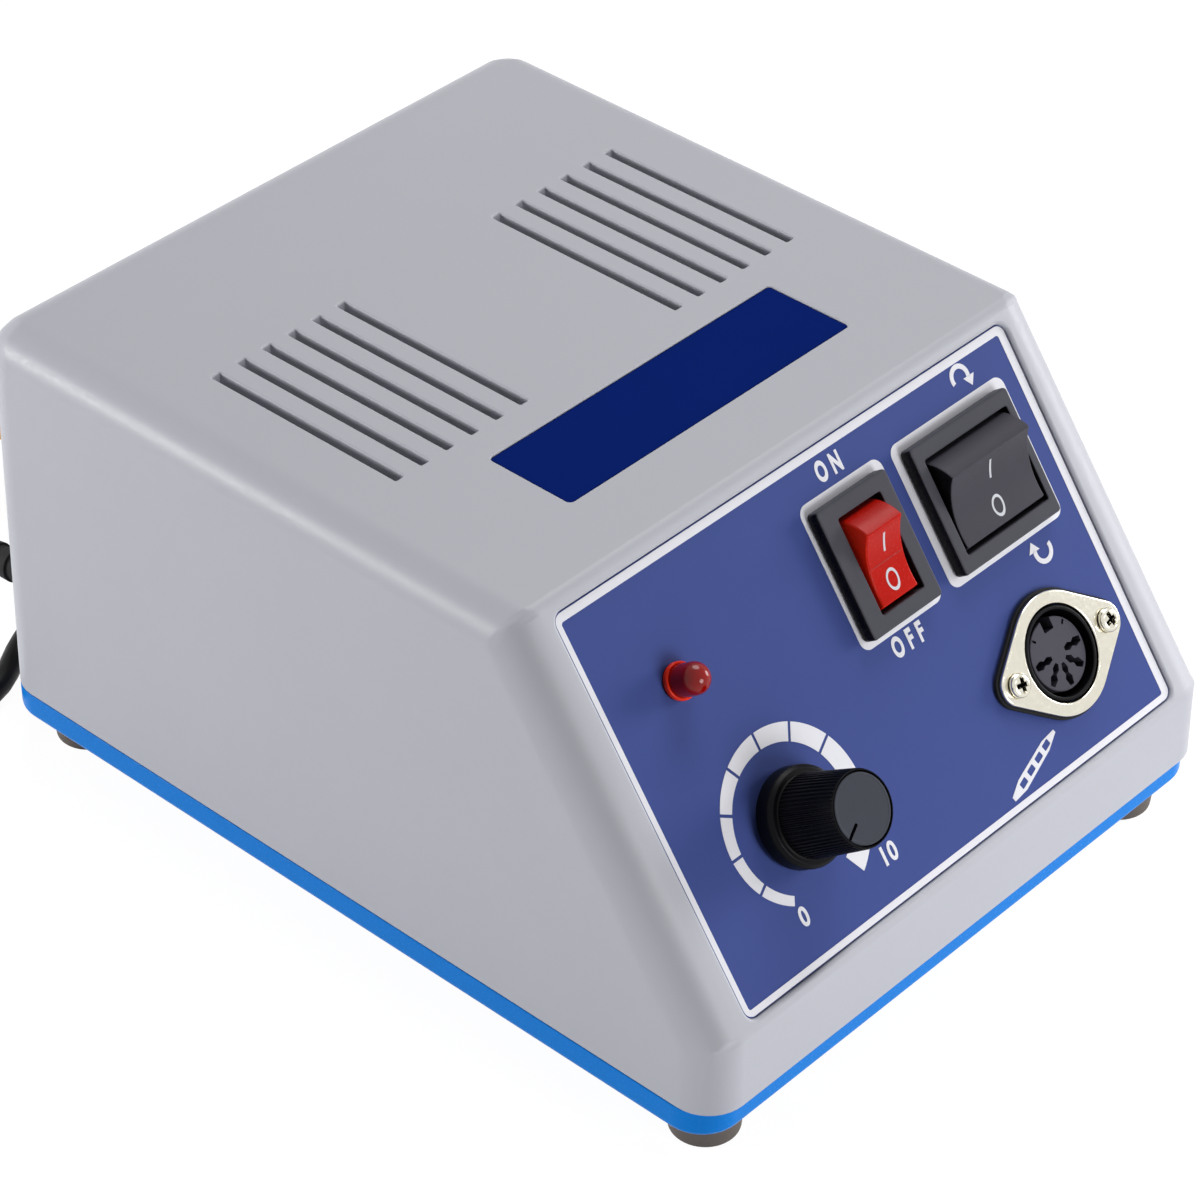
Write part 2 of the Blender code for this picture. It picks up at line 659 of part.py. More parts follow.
def case_form(inset, bottom, rounds):
    """The wedge-nosed case as a closed solid, drawn in by inset, with its edges rounded by weight."""
    corner, top, top_crease, front_crease = rounds
    bm = bmesh.new()
    bmesh.ops.create_cube(bm, size=1)
    height = COVER_TOP - inset - bottom
    bmesh.ops.scale(bm, vec=(CASE_WIDTH - 2 * inset, CASE_DEPTH - 2 * inset, height), verts=bm.verts)
    bmesh.ops.translate(bm, vec=(0, 0, bottom + height / 2), verts=bm.verts)
    lean = math.tan(DRAFT_ANGLE)
    for vert in bm.verts:
        rise = vert.co.z - COVER_BOTTOM
        vert.co.x -= math.copysign(rise * lean, vert.co.x)
        vert.co.y -= math.copysign(rise * lean, vert.co.y)
    normal = Vector((0, -math.sin(SLOPE_ANGLE), math.cos(SLOPE_ANGLE)))
    on_slope = Vector((0, CREASE_Y, CREASE_Z)) - normal * inset
    geometry = bm.verts[:] + bm.edges[:] + bm.faces[:]
    cut_edges = bmesh.ops.bisect_plane(bm, geom=geometry, plane_co=on_slope, plane_no=normal,
                                       clear_outer=True)
    edges = [item for item in cut_edges["geom_cut"] if isinstance(item, bmesh.types.BMEdge)]
    bmesh.ops.contextual_create(bm, geom=edges)
    bmesh.ops.recalc_face_normals(bm, faces=bm.faces)
    widest = max(rounds)
    weight = bm.edges.layers.float.new("bevel_weight_edge")
    for edge in bm.edges:
        a, b = (vert.co for vert in edge.verts)
        middle = (a + b) / 2
        across = abs(a.x - b.x) > CASE_WIDTH / 2
        low = max(a.z, b.z) < bottom + inset + GAP
        if low:
            size = 0
        elif not across:
            size = top if min(a.z, b.z) > CREASE_Z and abs(a.z - b.z) < GAP else corner
        elif middle.y > 0:
            size = top
        else:
            size = top_crease if middle.z > (COVER_TOP + CREASE_Z) / 2 else front_crease
        edge[weight] = size / widest
    return mesh_of("case_form", bm)


def place_case_form(name, material, inset, bottom, segments, rounds, cutter=False):
    """The case form as an object with its weighted bevel."""
    made = place_object(name, case_form(inset, bottom, rounds), material, CASE, cutter=cutter)
    step = made.modifiers.new("rounds", "BEVEL")
    step.width = max(rounds)
    step.segments = segments
    step.limit_method = "WEIGHT"
    return made


def cross_cut(piece, parent, place, head_radius, head_height, axis_turn=(0, 0, 0)):
    """A cross recess sunk into the head of a screw seated at place."""
    depth = head_height * CROSS_DEPTH_SHARE
    reach = 2 * head_radius * CROSS_REACH_SHARE
    width = 2 * head_radius * CROSS_WIDTH_SHARE
    for across, along in ((reach, width), (width, reach)):
        recess = block_mesh(across, along, head_height - depth, head_height + OVERRUN)
        cut(piece, recess, parent, place, axis_turn)


def screw_profile(radius, reach, head_radius, head_height):
    """Profile of a pan-headed screw whose head sits on zero."""
    return [(0, head_height), (head_radius * HEAD_CROWN_SHARE, head_height),
            (head_radius, head_height * HEAD_EDGE_SHARE), (head_radius, 0), (radius, 0),
            (radius, radius - reach), (radius * SCREW_TIP_SHARE, -reach), (0, -reach)]


def columns():
    """Middles of the four cover columns, each over a foot."""
    return [(sx * COLUMN_X, sy * COLUMN_Y) for sy in (-1, 1) for sx in (-1, 1)]


def panel_openings():
    """Outlines of what passes through the panel, each grown by a fit, in panel coordinates."""
    holes = []
    for x, body in ((POWER_X, POWER_BODY_WIDTH), (DIRECTION_X, DIRECTION_BODY_WIDTH)):
        holes.append(rounded_rectangle(body + 2 * FIT, SWITCH_BODY_LENGTH + 2 * FIT, BEZEL_ROUND,
                                       (x, SWITCH_MIDDLE)))
    holes.append(circle(LAMP_RADIUS + FIT, SMALL_SIDES, (LAMP_X, LAMP_MIDDLE)))
    holes.append(circle(BUSHING_RADIUS + FIT, MIDDLE_SIDES, (KNOB_X, KNOB_MIDDLE)))
    holes.append(circle(FLANGE_BORE_RADIUS, LARGE_SIDES, (SOCKET_X, SOCKET_MIDDLE)))
    for side in (-1, 1):
        ear = (SOCKET_X + side * EAR_SPACING / 2, SOCKET_MIDDLE)
        holes.append(circle(SOCKET_SCREW_RADIUS + FIT, SMALL_SIDES, ear))
    return holes


def make_cover():
    """Moulded cover: shell, columns, recesses, slots and every hole."""
    cavity_rounds = (CORNER_ROUND - COVER_WALL, TOP_ROUND - COVER_WALL, INNER_ROUND, INNER_ROUND)
    low = COVER_BOTTOM - OVERRUN
    cavity = place_case_form("cavity", None, COVER_WALL, low, 3, cavity_rounds, cutter=True)
    for x, y in columns():
        post = rod_mesh(COLUMN_RADIUS, COVER_BOTTOM - 2 * OVERRUN, COVER_TOP, MIDDLE_SIDES)
        cut(cavity, post, CASE, (x, y, 0))
        side = math.copysign(1, x)
        web_length = CASE_WIDTH / 2 - abs(x)
        web = block_mesh(web_length, COLUMN_RADIUS / 2, COVER_BOTTOM - 2 * OVERRUN, COVER_TOP,
                         (side * web_length / 2, 0))
        cut(cavity, web, CASE, (x, y, 0))
    rounds = (CORNER_ROUND, TOP_ROUND, TOP_CREASE_ROUND, FRONT_CREASE_ROUND)
    cover = place_case_form("top_cover", COVER_GREY, 0, COVER_BOTTOM, 5, rounds)
    boolean(cover, cavity, "DIFFERENCE")
    recess = rounded_rectangle(PANEL_LABEL_WIDTH + 2 * LABEL_FIT, PANEL_LABEL_LENGTH + 2 * LABEL_FIT,
                               PANEL_LABEL_ROUND + LABEL_FIT, (0, PANEL_LABEL_MIDDLE))
    cut(cover, plate_mesh([recess], -PANEL_RECESS, OVERRUN), PANEL)
    for outline in panel_openings():
        cut(cover, plate_mesh([outline], -COVER_WALL - OVERRUN, OVERRUN / 2), PANEL)
    top = rounded_rectangle(TOP_LABEL_WIDTH + 2 * LABEL_FIT, TOP_LABEL_DEPTH + 2 * LABEL_FIT,
                            TOP_LABEL_ROUND + LABEL_FIT, (0, TOP_LABEL_MIDDLE_Y))
    cut(cover, plate_mesh([top], COVER_TOP - TOP_RECESS, COVER_TOP + OVERRUN))
    for side in (-1, 1):
        for index in range(SLOTS_PER_GROUP):
            x = side * (SLOT_FIRST_X + index * SLOT_PITCH)
            slot = block_mesh(SLOT_WIDTH, SLOT_LENGTH, COVER_TOP - COVER_WALL - OVERRUN, COVER_TOP + OVERRUN,
                              (x, SLOT_MIDDLE_Y))
            cut(cover, slot)
    for radius, x, rise in ((FUSE_BODY_RADIUS, FUSE_X, FUSE_RISE), (JACK_BUSHING_RADIUS, JACK_X, JACK_RISE),
                            (RELIEF_NECK_RADIUS, RELIEF_X, RELIEF_RISE)):
        cut(cover, rod_mesh(radius + FIT, -COVER_WALL - OVERRUN, OVERRUN, MIDDLE_SIDES), BACK, (x, -rise, 0))
    for x, y in columns():
        low, high = COVER_BOTTOM - OVERRUN, COVER_BOTTOM + PILOT_DEPTH
        pilot = rod_mesh(CASE_SCREW_RADIUS + FIT, low, high, SMALL_SIDES)
        cut(cover, pilot, CASE, (x, y, 0))
    return cover


def tray_outline(inset):
    """Plan outline of the tray, drawn in by inset, set back a little at the front."""
    width = CASE_WIDTH - 2 * inset
    depth = CASE_DEPTH - TRAY_FRONT_SETBACK - 2 * inset
    return rounded_rectangle(width, depth, CORNER_ROUND - inset, (0, TRAY_FRONT_SETBACK / 2))


def make_tray():
    """Shallow tray with a lip inside the cover, bosses under the columns and posts for the board."""
    lip_inset = COVER_WALL + FIT
    band = plate_mesh([tray_outline(0)], TRAY_BOTTOM, TRAY_TOP)
    tray = place_object("base_tray", band, TRAY_BLUE)
    round_low_edge(tray, TRAY_EDGE_ROUND)
    join(tray, plate_mesh([tray_outline(lip_inset)], TRAY_TOP - TRAY_FLOOR, TRAY_TOP + LIP_HEIGHT))
    hollow = plate_mesh([tray_outline(lip_inset + LIP_WALL)], TRAY_FLOOR_TOP, TRAY_TOP + LIP_HEIGHT + OVERRUN)
    pocket = place_object("tray_pocket", hollow, None, cutter=True)
    for x, y in columns():
        boss = rod_mesh(COLUMN_RADIUS, TRAY_BOTTOM, COVER_BOTTOM - GAP, MIDDLE_SIDES)
        cut(pocket, boss, CASE, (x, y, 0))
    for x, y in board_posts():
        post = rod_mesh(POST_RADIUS, TRAY_BOTTOM, TRAY_FLOOR_TOP + POST_HEIGHT, SMALL_SIDES)
        cut(pocket, post, CASE, (x, y, 0))
    boolean(tray, pocket, "DIFFERENCE")
    for x, y in columns():
        clear = 2 * (COLUMN_RADIUS + FIT)
        room = block_mesh(clear, clear, TRAY_TOP, TRAY_TOP + LIP_HEIGHT + OVERRUN)
        cut(tray, room, CASE, (x, y, 0))
        side = math.copysign(1, x)
        web = block_mesh(COLUMN_INSET, COLUMN_RADIUS / 2 + 2 * FIT, TRAY_TOP, TRAY_TOP + LIP_HEIGHT + OVERRUN,
                         (side * COLUMN_INSET / 2, 0))
        cut(tray, web, CASE, (x, y, 0))
        shank = rod_mesh(CASE_SCREW_RADIUS + FIT, 0, COVER_BOTTOM, SMALL_SIDES)
        cut(tray, shank, CASE, (x, y, 0))
    for x, y in board_posts():
        low = TRAY_FLOOR_TOP + POST_HEIGHT - BOARD_SCREW_REACH
        pilot = rod_mesh(BOARD_SCREW_RADIUS + FIT, low, low + BOARD_SCREW_REACH + OVERRUN, SMALL_SIDES)
        cut(tray, pilot, CASE, (x, y, 0))
    for x in transformer_feet():
        hole = rod_mesh(TRANSFORMER_SCREW_RADIUS + FIT, 0, TRAY_FLOOR_TOP + OVERRUN, SMALL_SIDES)
        cut(tray, hole, CASE, (x, CORE_Y, 0))
    return tray


def make_feet():
    """Four rubber feet, each held by a long screw that reaches the cover's column."""
    foot_top = FOOT_HEIGHT - GAP
    bore = CASE_SCREW_RADIUS + FIT
    foot_profile = [(FOOT_RADIUS, foot_top), (FOOT_TOE_RADIUS, 0), (FOOT_WELL_RADIUS, 0),
                    (FOOT_WELL_RADIUS, FOOT_WELL_DEPTH), (bore, FOOT_WELL_DEPTH), (bore, foot_top)]
    head_seat = FOOT_WELL_DEPTH - GAP
    reach = COVER_BOTTOM + CASE_SCREW_REACH - head_seat
    upside_down = (math.pi, 0, 0)
    for index, (x, y) in enumerate(columns(), start=1):
        turned(f"rubber_foot_{index}", foot_profile, SOFT_BLACK, MIDDLE_SIDES, CASE, (x, y, 0))
        seat = (x, y, head_seat)
        profile = screw_profile(CASE_SCREW_RADIUS, reach, CASE_SCREW_HEAD_RADIUS, CASE_SCREW_HEAD_HEIGHT)
        screw = turned(f"case_screw_{index}", profile, STEEL, SMALL_SIDES, CASE, seat, upside_down)
        cross_cut(screw, CASE, seat, CASE_SCREW_HEAD_RADIUS, CASE_SCREW_HEAD_HEIGHT, upside_down)


def make_labels():
    """Panel label with its holes, and the small label on the top."""
    middle = (0, PANEL_LABEL_MIDDLE)
    outline = rounded_rectangle(PANEL_LABEL_WIDTH, PANEL_LABEL_LENGTH, PANEL_LABEL_ROUND, middle)
    film = plate_mesh([outline] + panel_openings(), LABEL_TOP - LABEL_THICKNESS, LABEL_TOP)
    place_object("panel_label", film, LABEL_BLUE, PANEL)
    top = COVER_TOP - TOP_RECESS + GAP
    small = rounded_rectangle(TOP_LABEL_WIDTH, TOP_LABEL_DEPTH, TOP_LABEL_ROUND, (0, TOP_LABEL_MIDDLE_Y))
    place_object("top_label", plate_mesh([small], top, top + LABEL_THICKNESS), LABEL_NAVY)


def rocker_outline():
    """Side outline of a rocker about its pivot: hollow face, ends round the pivot, flat skirt."""
    end_radius = math.hypot(ROCKER_RIDGE_REACH, ROCKER_RIDGE_HEIGHT)
    ridge = math.atan2(ROCKER_RIDGE_HEIGHT, ROCKER_RIDGE_REACH)
    skirt = -math.asin(ROCKER_SKIRT_DROP / end_radius)
    face_radius = (ROCKER_RIDGE_REACH ** 2 + ROCKER_FACE_SAG ** 2) / (2 * ROCKER_FACE_SAG)
    face_centre = (0, ROCKER_RIDGE_HEIGHT - ROCKER_FACE_SAG + face_radius)
    half = math.asin(ROCKER_RIDGE_REACH / face_radius)
    right_end = arc((0, 0), end_radius, skirt, ridge, ROUND_STEPS)
    face = arc(face_centre, face_radius, -math.pi / 2 + half, -math.pi / 2 - half, 2 * ROUND_STEPS)
    left_end = arc((0, 0), end_radius, math.pi - ridge, math.pi - skirt, ROUND_STEPS)
    return right_end + face[1:-1] + left_end


def make_switch(prefix, x, bezel_width, opening_width, body_width, rocker_width, rocker_material):
    """A rocker switch: housing with bezel and well, and the rocker on its trunnions."""
    base = LABEL_TOP + GAP
    pivot = (x, SWITCH_MIDDLE, LABEL_TOP - ROCKER_PIVOT_DROP)
    bezel_top = LABEL_TOP + BEZEL_HEIGHT
    bezel = plate_mesh([rounded_rectangle(bezel_width, SWITCH_LENGTH, BEZEL_ROUND)], base, bezel_top)
    housing = place_object(prefix + "_switch_housing", bezel, SWITCH_BLACK, PANEL, (x, SWITCH_MIDDLE, 0))
    body = block_mesh(body_width, SWITCH_BODY_LENGTH, base - SWITCH_BODY_DEPTH, bezel_top - BEZEL_ROUND)
    join(housing, body, PANEL, (x, SWITCH_MIDDLE, 0))
    well = block_mesh(opening_width, SWITCH_OPENING_LENGTH, pivot[2] - SWITCH_WELL_DEPTH, bezel_top + OVERRUN)
    cut(housing, well, PANEL, (x, SWITCH_MIDDLE, 0))
    socket_reach = opening_width / 2 + TRUNNION_GRIP + FIT
    socket = rod_mesh(TRUNNION_RADIUS + FIT, -socket_reach, socket_reach, SMALL_SIDES, "X")
    cut(housing, socket, PANEL, pivot)
    slab = plate_mesh([rocker_outline()], -rocker_width / 2, rocker_width / 2)
    slab.transform(Matrix.Rotation(math.pi / 2, 4, "Z") @ Matrix.Rotation(math.pi / 2, 4, "X"))
    rocker = place_object(prefix + "_rocker", slab, rocker_material, PANEL, pivot, (ROCKER_TILT, 0, 0))
    trunnion_reach = opening_width / 2 + TRUNNION_GRIP
    trunnion = rod_mesh(TRUNNION_RADIUS, -trunnion_reach, trunnion_reach, SMALL_SIDES, "X")
    join(rocker, trunnion, PANEL, pivot, (ROCKER_TILT, 0, 0))


def make_lamp():
    """Pilot lamp with a domed end, and the ring that holds it behind the panel."""
    place = (LAMP_X, LAMP_MIDDLE, LABEL_TOP)
    dome = [(LAMP_RADIUS * math.sin(a), LAMP_DOME_CENTRE + LAMP_RADIUS * math.cos(a))
            for a in (math.pi / 2 * i / DOME_STEPS for i in range(DOME_STEPS + 1))]
    profile = dome + [(LAMP_RADIUS, GAP + LAMP_RIM_HEIGHT), (LAMP_RIM_RADIUS, GAP + LAMP_RIM_HEIGHT),
                      (LAMP_RIM_RADIUS, GAP), (LAMP_RADIUS, GAP), (LAMP_RADIUS, -LAMP_TAIL), (0, -LAMP_TAIL)]
    turned("pilot_lamp", profile, LAMP_RED, MIDDLE_SIDES, PANEL, place)
    top = -COVER_WALL - LABEL_TOP - GAP
    inner = LAMP_RADIUS + FIT
    ring = [(LAMP_HOLDER_RADIUS, top), (LAMP_HOLDER_RADIUS, top - LAMP_HOLDER_DEPTH),
            (inner, top - LAMP_HOLDER_DEPTH), (inner, top)]
    turned("lamp_holder", ring, SWITCH_BLACK, MIDDLE_SIDES, PANEL, place)


def make_speed_control():
    """Knob, cap and shaft that turn, on a potentiometer held by its nut."""
    place = (KNOB_X, KNOB_MIDDLE, LABEL_TOP)
    bore = SHAFT_RADIUS + SHAFT_FIT
    cap_floor = KNOB_TOP - CAP_THICKNESS - STACK_GAP
    shaft_room = SHAFT_TOP + GAP
    skirt_top = KNOB_LIFT + SKIRT_HEIGHT
    knob_profile = [
        (0, cap_floor), (CAP_RADIUS + FIT, cap_floor), (CAP_RADIUS + FIT, KNOB_TOP),
        (GRIP_TOP_RADIUS, KNOB_TOP), (GRIP_FOOT_RADIUS, skirt_top), (SKIRT_SHOULDER_RADIUS, skirt_top),
        (SKIRT_RADIUS, skirt_top - (SKIRT_RADIUS - SKIRT_SHOULDER_RADIUS)), (SKIRT_RADIUS, KNOB_LIFT),
        (KNOB_WELL_RADIUS, KNOB_LIFT), (KNOB_WELL_RADIUS, KNOB_WELL_TOP), (bore, KNOB_WELL_TOP),
        (bore, shaft_room), (0, shaft_room)]
    turned("speed_knob", knob_profile, KNOB_BLACK, LARGE_SIDES, PANEL, place, (0, 0, POINTER_ANGLE))
    cap_low = cap_floor + STACK_GAP
    cap_profile = [(0, KNOB_TOP), (CAP_RADIUS, KNOB_TOP), (CAP_RADIUS, cap_low), (0, cap_low)]
    cap = turned("knob_cap", cap_profile, CAP_GREY, LARGE_SIDES, PANEL, place, (0, 0, POINTER_ANGLE))
    start = CAP_RADIUS * POINTER_START_SHARE
    end = CAP_RADIUS * POINTER_END_SHARE
    line = block_mesh(end - start, POINTER_WIDTH, KNOB_TOP - POINTER_DEPTH, KNOB_TOP + OVERRUN,
                      ((start + end) / 2, 0))
    cut(cap, line, PANEL, place, (0, 0, POINTER_ANGLE))
    seat = -COVER_WALL - LABEL_TOP - GAP
    floor = seat - POT_DEPTH
    shaft_low = seat - POT_DEPTH / 2
    shaft_profile = [(0, SHAFT_TOP), (SHAFT_RADIUS, SHAFT_TOP), (SHAFT_RADIUS, shaft_low), (0, shaft_low)]
    turned("potentiometer_shaft", shaft_profile, STEEL, MIDDLE_SIDES, PANEL, place)
    body_profile = [(BUSHING_RADIUS, BUSHING_TOP), (BUSHING_RADIUS, seat), (POT_RADIUS, seat),
                    (POT_RADIUS, floor), (0, floor), (0, shaft_low - GAP), (bore, shaft_low - GAP),
                    (bore, BUSHING_TOP)]
    turned("potentiometer_body", body_profile, ALUMINIUM, MIDDLE_SIDES, PANEL, place)
    nut_outlines = [hexagon(NUT_HALF_FLATS), circle(BUSHING_RADIUS + FIT, MIDDLE_SIDES)]
    nut = plate_mesh(nut_outlines, GAP, GAP + NUT_THICKNESS)
    place_object("potentiometer_nut", nut, STEEL, PANEL, place)


def flange_outline(margin):
    """Two-eared outline: arcs round the middle and round each ear, joined by straight flanks."""
    body = FLANGE_RADIUS + margin
    ear = EAR_RADIUS + margin
    reach = EAR_SPACING / 2
    lean = math.acos((body - ear) / reach)
    steps = 2 * ROUND_STEPS
    right = arc((reach, 0), ear, -lean, lean, steps)
    top = arc((0, 0), body, lean, math.pi - lean, steps)
    left = arc((-reach, 0), ear, math.pi - lean, math.pi + lean, steps)
    bottom = arc((0, 0), body, math.pi + lean, 2 * math.pi - lean, steps)
    return right + top + left + bottom


def make_motor_socket():
    """Round five-pole socket: gasket, flange, shell, contact block and two screws."""
    place = (SOCKET_X, SOCKET_MIDDLE, LABEL_TOP)
    reach = EAR_SPACING / 2
    ears = [circle(SOCKET_SCREW_RADIUS + FIT, SMALL_SIDES, (x, 0)) for x in (-reach, reach)]
    bore = circle(FLANGE_BORE_RADIUS, LARGE_SIDES)
    gasket_top = GAP + GASKET_THICKNESS
    gasket = plate_mesh([flange_outline(GASKET_MARGIN), bore] + ears, GAP, gasket_top)
    place_object("socket_gasket", gasket, SOFT_BLACK, PANEL, place)
    flange_low = gasket_top + STACK_GAP
    flange_top = flange_low + FLANGE_THICKNESS
    flange = plate_mesh([flange_outline(0), bore] + ears, flange_low, flange_top)
    place_object("socket_flange", flange, NICKEL, PANEL, place)
    outer = FLANGE_BORE_RADIUS - FIT
    inner = outer - SHELL_WALL
    low = flange_top - SHELL_DEPTH
    floor = low + SHELL_FLOOR
    shell_top = flange_top - STACK_GAP
    shell = [(outer, shell_top), (outer, low), (0, low), (0, floor), (inner, floor), (inner, shell_top)]
    turned("socket_shell", shell, KNOB_BLACK, LARGE_SIDES, PANEL, place)
    block_top = flange_top - CONTACT_BLOCK_SINK
    block_low = floor + STACK_GAP
    insert = rod_mesh(CONTACT_BLOCK_RADIUS, block_low, block_top, MIDDLE_SIDES)
    block = place_object("socket_contact_block", insert, CAP_GREY, PANEL, place)
    slot_length = CONTACT_SLOT_OUTER - CONTACT_SLOT_INNER
    slot_low = block_top - CONTACT_SLOT_DEPTH
    for index in range(CONTACT_SLOTS):
        slot = block_mesh(slot_length, CONTACT_SLOT_WIDTH, slot_low, block_top + OVERRUN,
                          (CONTACT_SLOT_INNER + slot_length / 2, 0))
        cut(block, slot, PANEL, place, (0, 0, -index * CONTACT_SLOT_STEP))
    key = block_mesh(KEY_WIDTH, 2 * KEY_DEPTH, slot_low, block_top + OVERRUN, (0, CONTACT_BLOCK_RADIUS))
    cut(block, key, PANEL, place)
    for name, offset in (("left", -reach), ("right", reach)):
        seat = (SOCKET_X + offset, SOCKET_MIDDLE, LABEL_TOP + flange_top + STACK_GAP)
        profile = screw_profile(SOCKET_SCREW_RADIUS, SOCKET_SCREW_REACH, SOCKET_SCREW_HEAD_RADIUS,
                                SOCKET_SCREW_HEAD_HEIGHT)
        screw = turned(f"socket_screw_{name}", profile, NICKEL, SMALL_SIDES, PANEL, seat)
        cross_cut(screw, PANEL, seat, SOCKET_SCREW_HEAD_RADIUS, SOCKET_SCREW_HEAD_HEIGHT)


def transformer_feet():
    """X of the two holes in the transformer strap's feet."""
    reach = CORE_WIDTH / 2 + GAP + STRAP_THICKNESS + STRAP_FOOT / 2
    return (CORE_X - reach, CORE_X + reach)


def make_transformer():
    """Laminated core, winding on its middle leg, strap and two screws."""
    bottom = TRAY_FLOOR_TOP + GAP
    middle = (CORE_X, CORE_Y, bottom + CORE_HEIGHT / 2)
    stack = box_mesh((CORE_WIDTH, CORE_STACK, CORE_HEIGHT))
    core = place_object("transformer_core", stack, CORE_STEEL, CASE, middle)
    window_height = CORE_HEIGHT - 2 * CORE_LEG
    window_width = (CORE_WIDTH - 4 * CORE_LEG) / 2
    for side in (-1, 1):
        window = box_mesh((window_width, CORE_STACK + 2 * OVERRUN, window_height),
                          (side * (CORE_LEG + window_width / 2), 0, 0))
        cut(core, window, CASE, middle)
    winding_size = (2 * (CORE_LEG + window_width - GAP), WINDING_DEPTH, window_height - 2 * GAP)
    winding = place_object("transformer_winding", box_mesh(winding_size), COPPER, CASE, middle)
    bevel(winding, WINDING_ROUND, 3)
    leg = box_mesh((2 * (CORE_LEG + GAP), CORE_STACK + 2 * GAP, window_height + 2 * OVERRUN))
    cut(winding, leg, CASE, middle)
    inner = CORE_WIDTH / 2 + GAP
    outer = inner + STRAP_THICKNESS
    top = CORE_HEIGHT + GAP
    profile = [(-outer - STRAP_FOOT, 0), (-inner, 0), (-inner, top), (inner, top), (inner, 0),
               (outer + STRAP_FOOT, 0), (outer + STRAP_FOOT, STRAP_THICKNESS), (outer, STRAP_THICKNESS),
               (outer, top + STRAP_THICKNESS), (-outer, top + STRAP_THICKNESS), (-outer, STRAP_THICKNESS),
               (-outer - STRAP_FOOT, STRAP_THICKNESS)]
    band = plate_mesh([profile], -STRAP_WIDTH / 2, STRAP_WIDTH / 2)
    upright = (math.pi / 2, 0, 0)
    strap = place_object("transformer_strap", band, STEEL, CASE, (CORE_X, CORE_Y, bottom), upright)
    for name, x in zip(("left", "right"), transformer_feet()):
        hole = rod_mesh(TRANSFORMER_SCREW_RADIUS + FIT, -OVERRUN, STRAP_THICKNESS + OVERRUN, SMALL_SIDES)
        cut(strap, hole, CASE, (x, CORE_Y, bottom))
        seat = (x, CORE_Y, bottom + STRAP_THICKNESS + STACK_GAP)
        reach = STRAP_THICKNESS + TRAY_FLOOR
        profile = screw_profile(TRANSFORMER_SCREW_RADIUS, reach, TRANSFORMER_SCREW_HEAD_RADIUS,
                                TRANSFORMER_SCREW_HEAD_HEIGHT)
        screw = turned(f"transformer_screw_{name}", profile, STEEL, SMALL_SIDES, CASE, seat)
        cross_cut(screw, CASE, seat, TRANSFORMER_SCREW_HEAD_RADIUS, TRANSFORMER_SCREW_HEAD_HEIGHT)


def board_posts():
    """Middles of the four posts that carry the circuit board."""
    reach_x = BOARD_WIDTH / 2 - POST_INSET
    reach_y = BOARD_DEPTH / 2 - POST_INSET
    return [(sx * reach_x, BOARD_Y + sy * reach_y) for sy in (-1, 1) for sx in (-1, 1)]


def make_board():
    """Circuit board on its posts with screws and the larger components."""
    low = TRAY_FLOOR_TOP + POST_HEIGHT + GAP
    top = low + BOARD_THICKNESS
    outline = rounded_rectangle(BOARD_WIDTH, BOARD_DEPTH, BOARD_ROUND, (0, BOARD_Y))
    holes = [circle(BOARD_SCREW_RADIUS + FIT, SMALL_SIDES, post) for post in board_posts()]
    place_object("circuit_board", plate_mesh([outline] + holes, low, top), BOARD_GREEN)
    for index, (x, y) in enumerate(board_posts(), start=1):
        seat = (x, y, top + STACK_GAP)
        profile = screw_profile(BOARD_SCREW_RADIUS, BOARD_SCREW_REACH, BOARD_SCREW_HEAD_RADIUS,
                                BOARD_SCREW_HEAD_HEIGHT)
        screw = turned(f"board_screw_{index}", profile, STEEL, SMALL_SIDES, CASE, seat)
        cross_cut(screw, CASE, seat, BOARD_SCREW_HEAD_RADIUS, BOARD_SCREW_HEAD_HEIGHT)
    seat_z = top + GAP
    can = [(0, CAPACITOR_HEIGHT), (CAPACITOR_RADIUS * CAPACITOR_CROWN_SHARE, CAPACITOR_HEIGHT),
           (CAPACITOR_RADIUS, CAPACITOR_HEIGHT * CAPACITOR_SHOULDER_SHARE), (CAPACITOR_RADIUS, 0), (0, 0)]
    turned("filter_capacitor", can, CAPACITOR_BLUE, MIDDLE_SIDES, CASE, (CAPACITOR_X, CAPACITOR_Y, seat_z))
    rectifier = place_object("bridge_rectifier", box_mesh(RECTIFIER_SIZE), SOFT_BLACK, CASE,
                             (RECTIFIER_X, RECTIFIER_Y, seat_z + RECTIFIER_SIZE[2] / 2))
    bevel(rectifier, RECTIFIER_CHAMFER, 1)
    make_heat_sink(seat_z)
    make_terminal_block(seat_z)
    return seat_z


def make_heat_sink(seat_z):
    """Finned heat sink standing on the board with the power transistor on its face."""
    step = (SINK_WIDTH - SINK_FIN_THICKNESS) / (SINK_FINS - 1)
    comb = [(-SINK_WIDTH / 2, 0), (SINK_WIDTH / 2, 0)]
    tip = SINK_PLATE + SINK_FIN_REACH
    for index in reversed(range(SINK_FINS)):
        left = -SINK_WIDTH / 2 + index * step
        right = left + SINK_FIN_THICKNESS
        fin = [(right, SINK_PLATE), (right, tip), (left, tip), (left, SINK_PLATE)]
        if index == SINK_FINS - 1:
            fin = fin[1:]
        if index == 0:
            fin = fin[:-1]
        comb += fin
    place_object("heat_sink", plate_mesh([comb], 0, SINK_HEIGHT), ALUMINIUM, CASE, (SINK_X, SINK_Y, seat_z))
    face = SINK_Y - GAP - TRANSISTOR_SIZE[1] / 2
    place_object("power_transistor", box_mesh(TRANSISTOR_SIZE), SOFT_BLACK, CASE,
                 (SINK_X, face, seat_z + TRANSISTOR_SIZE[2] / 2))


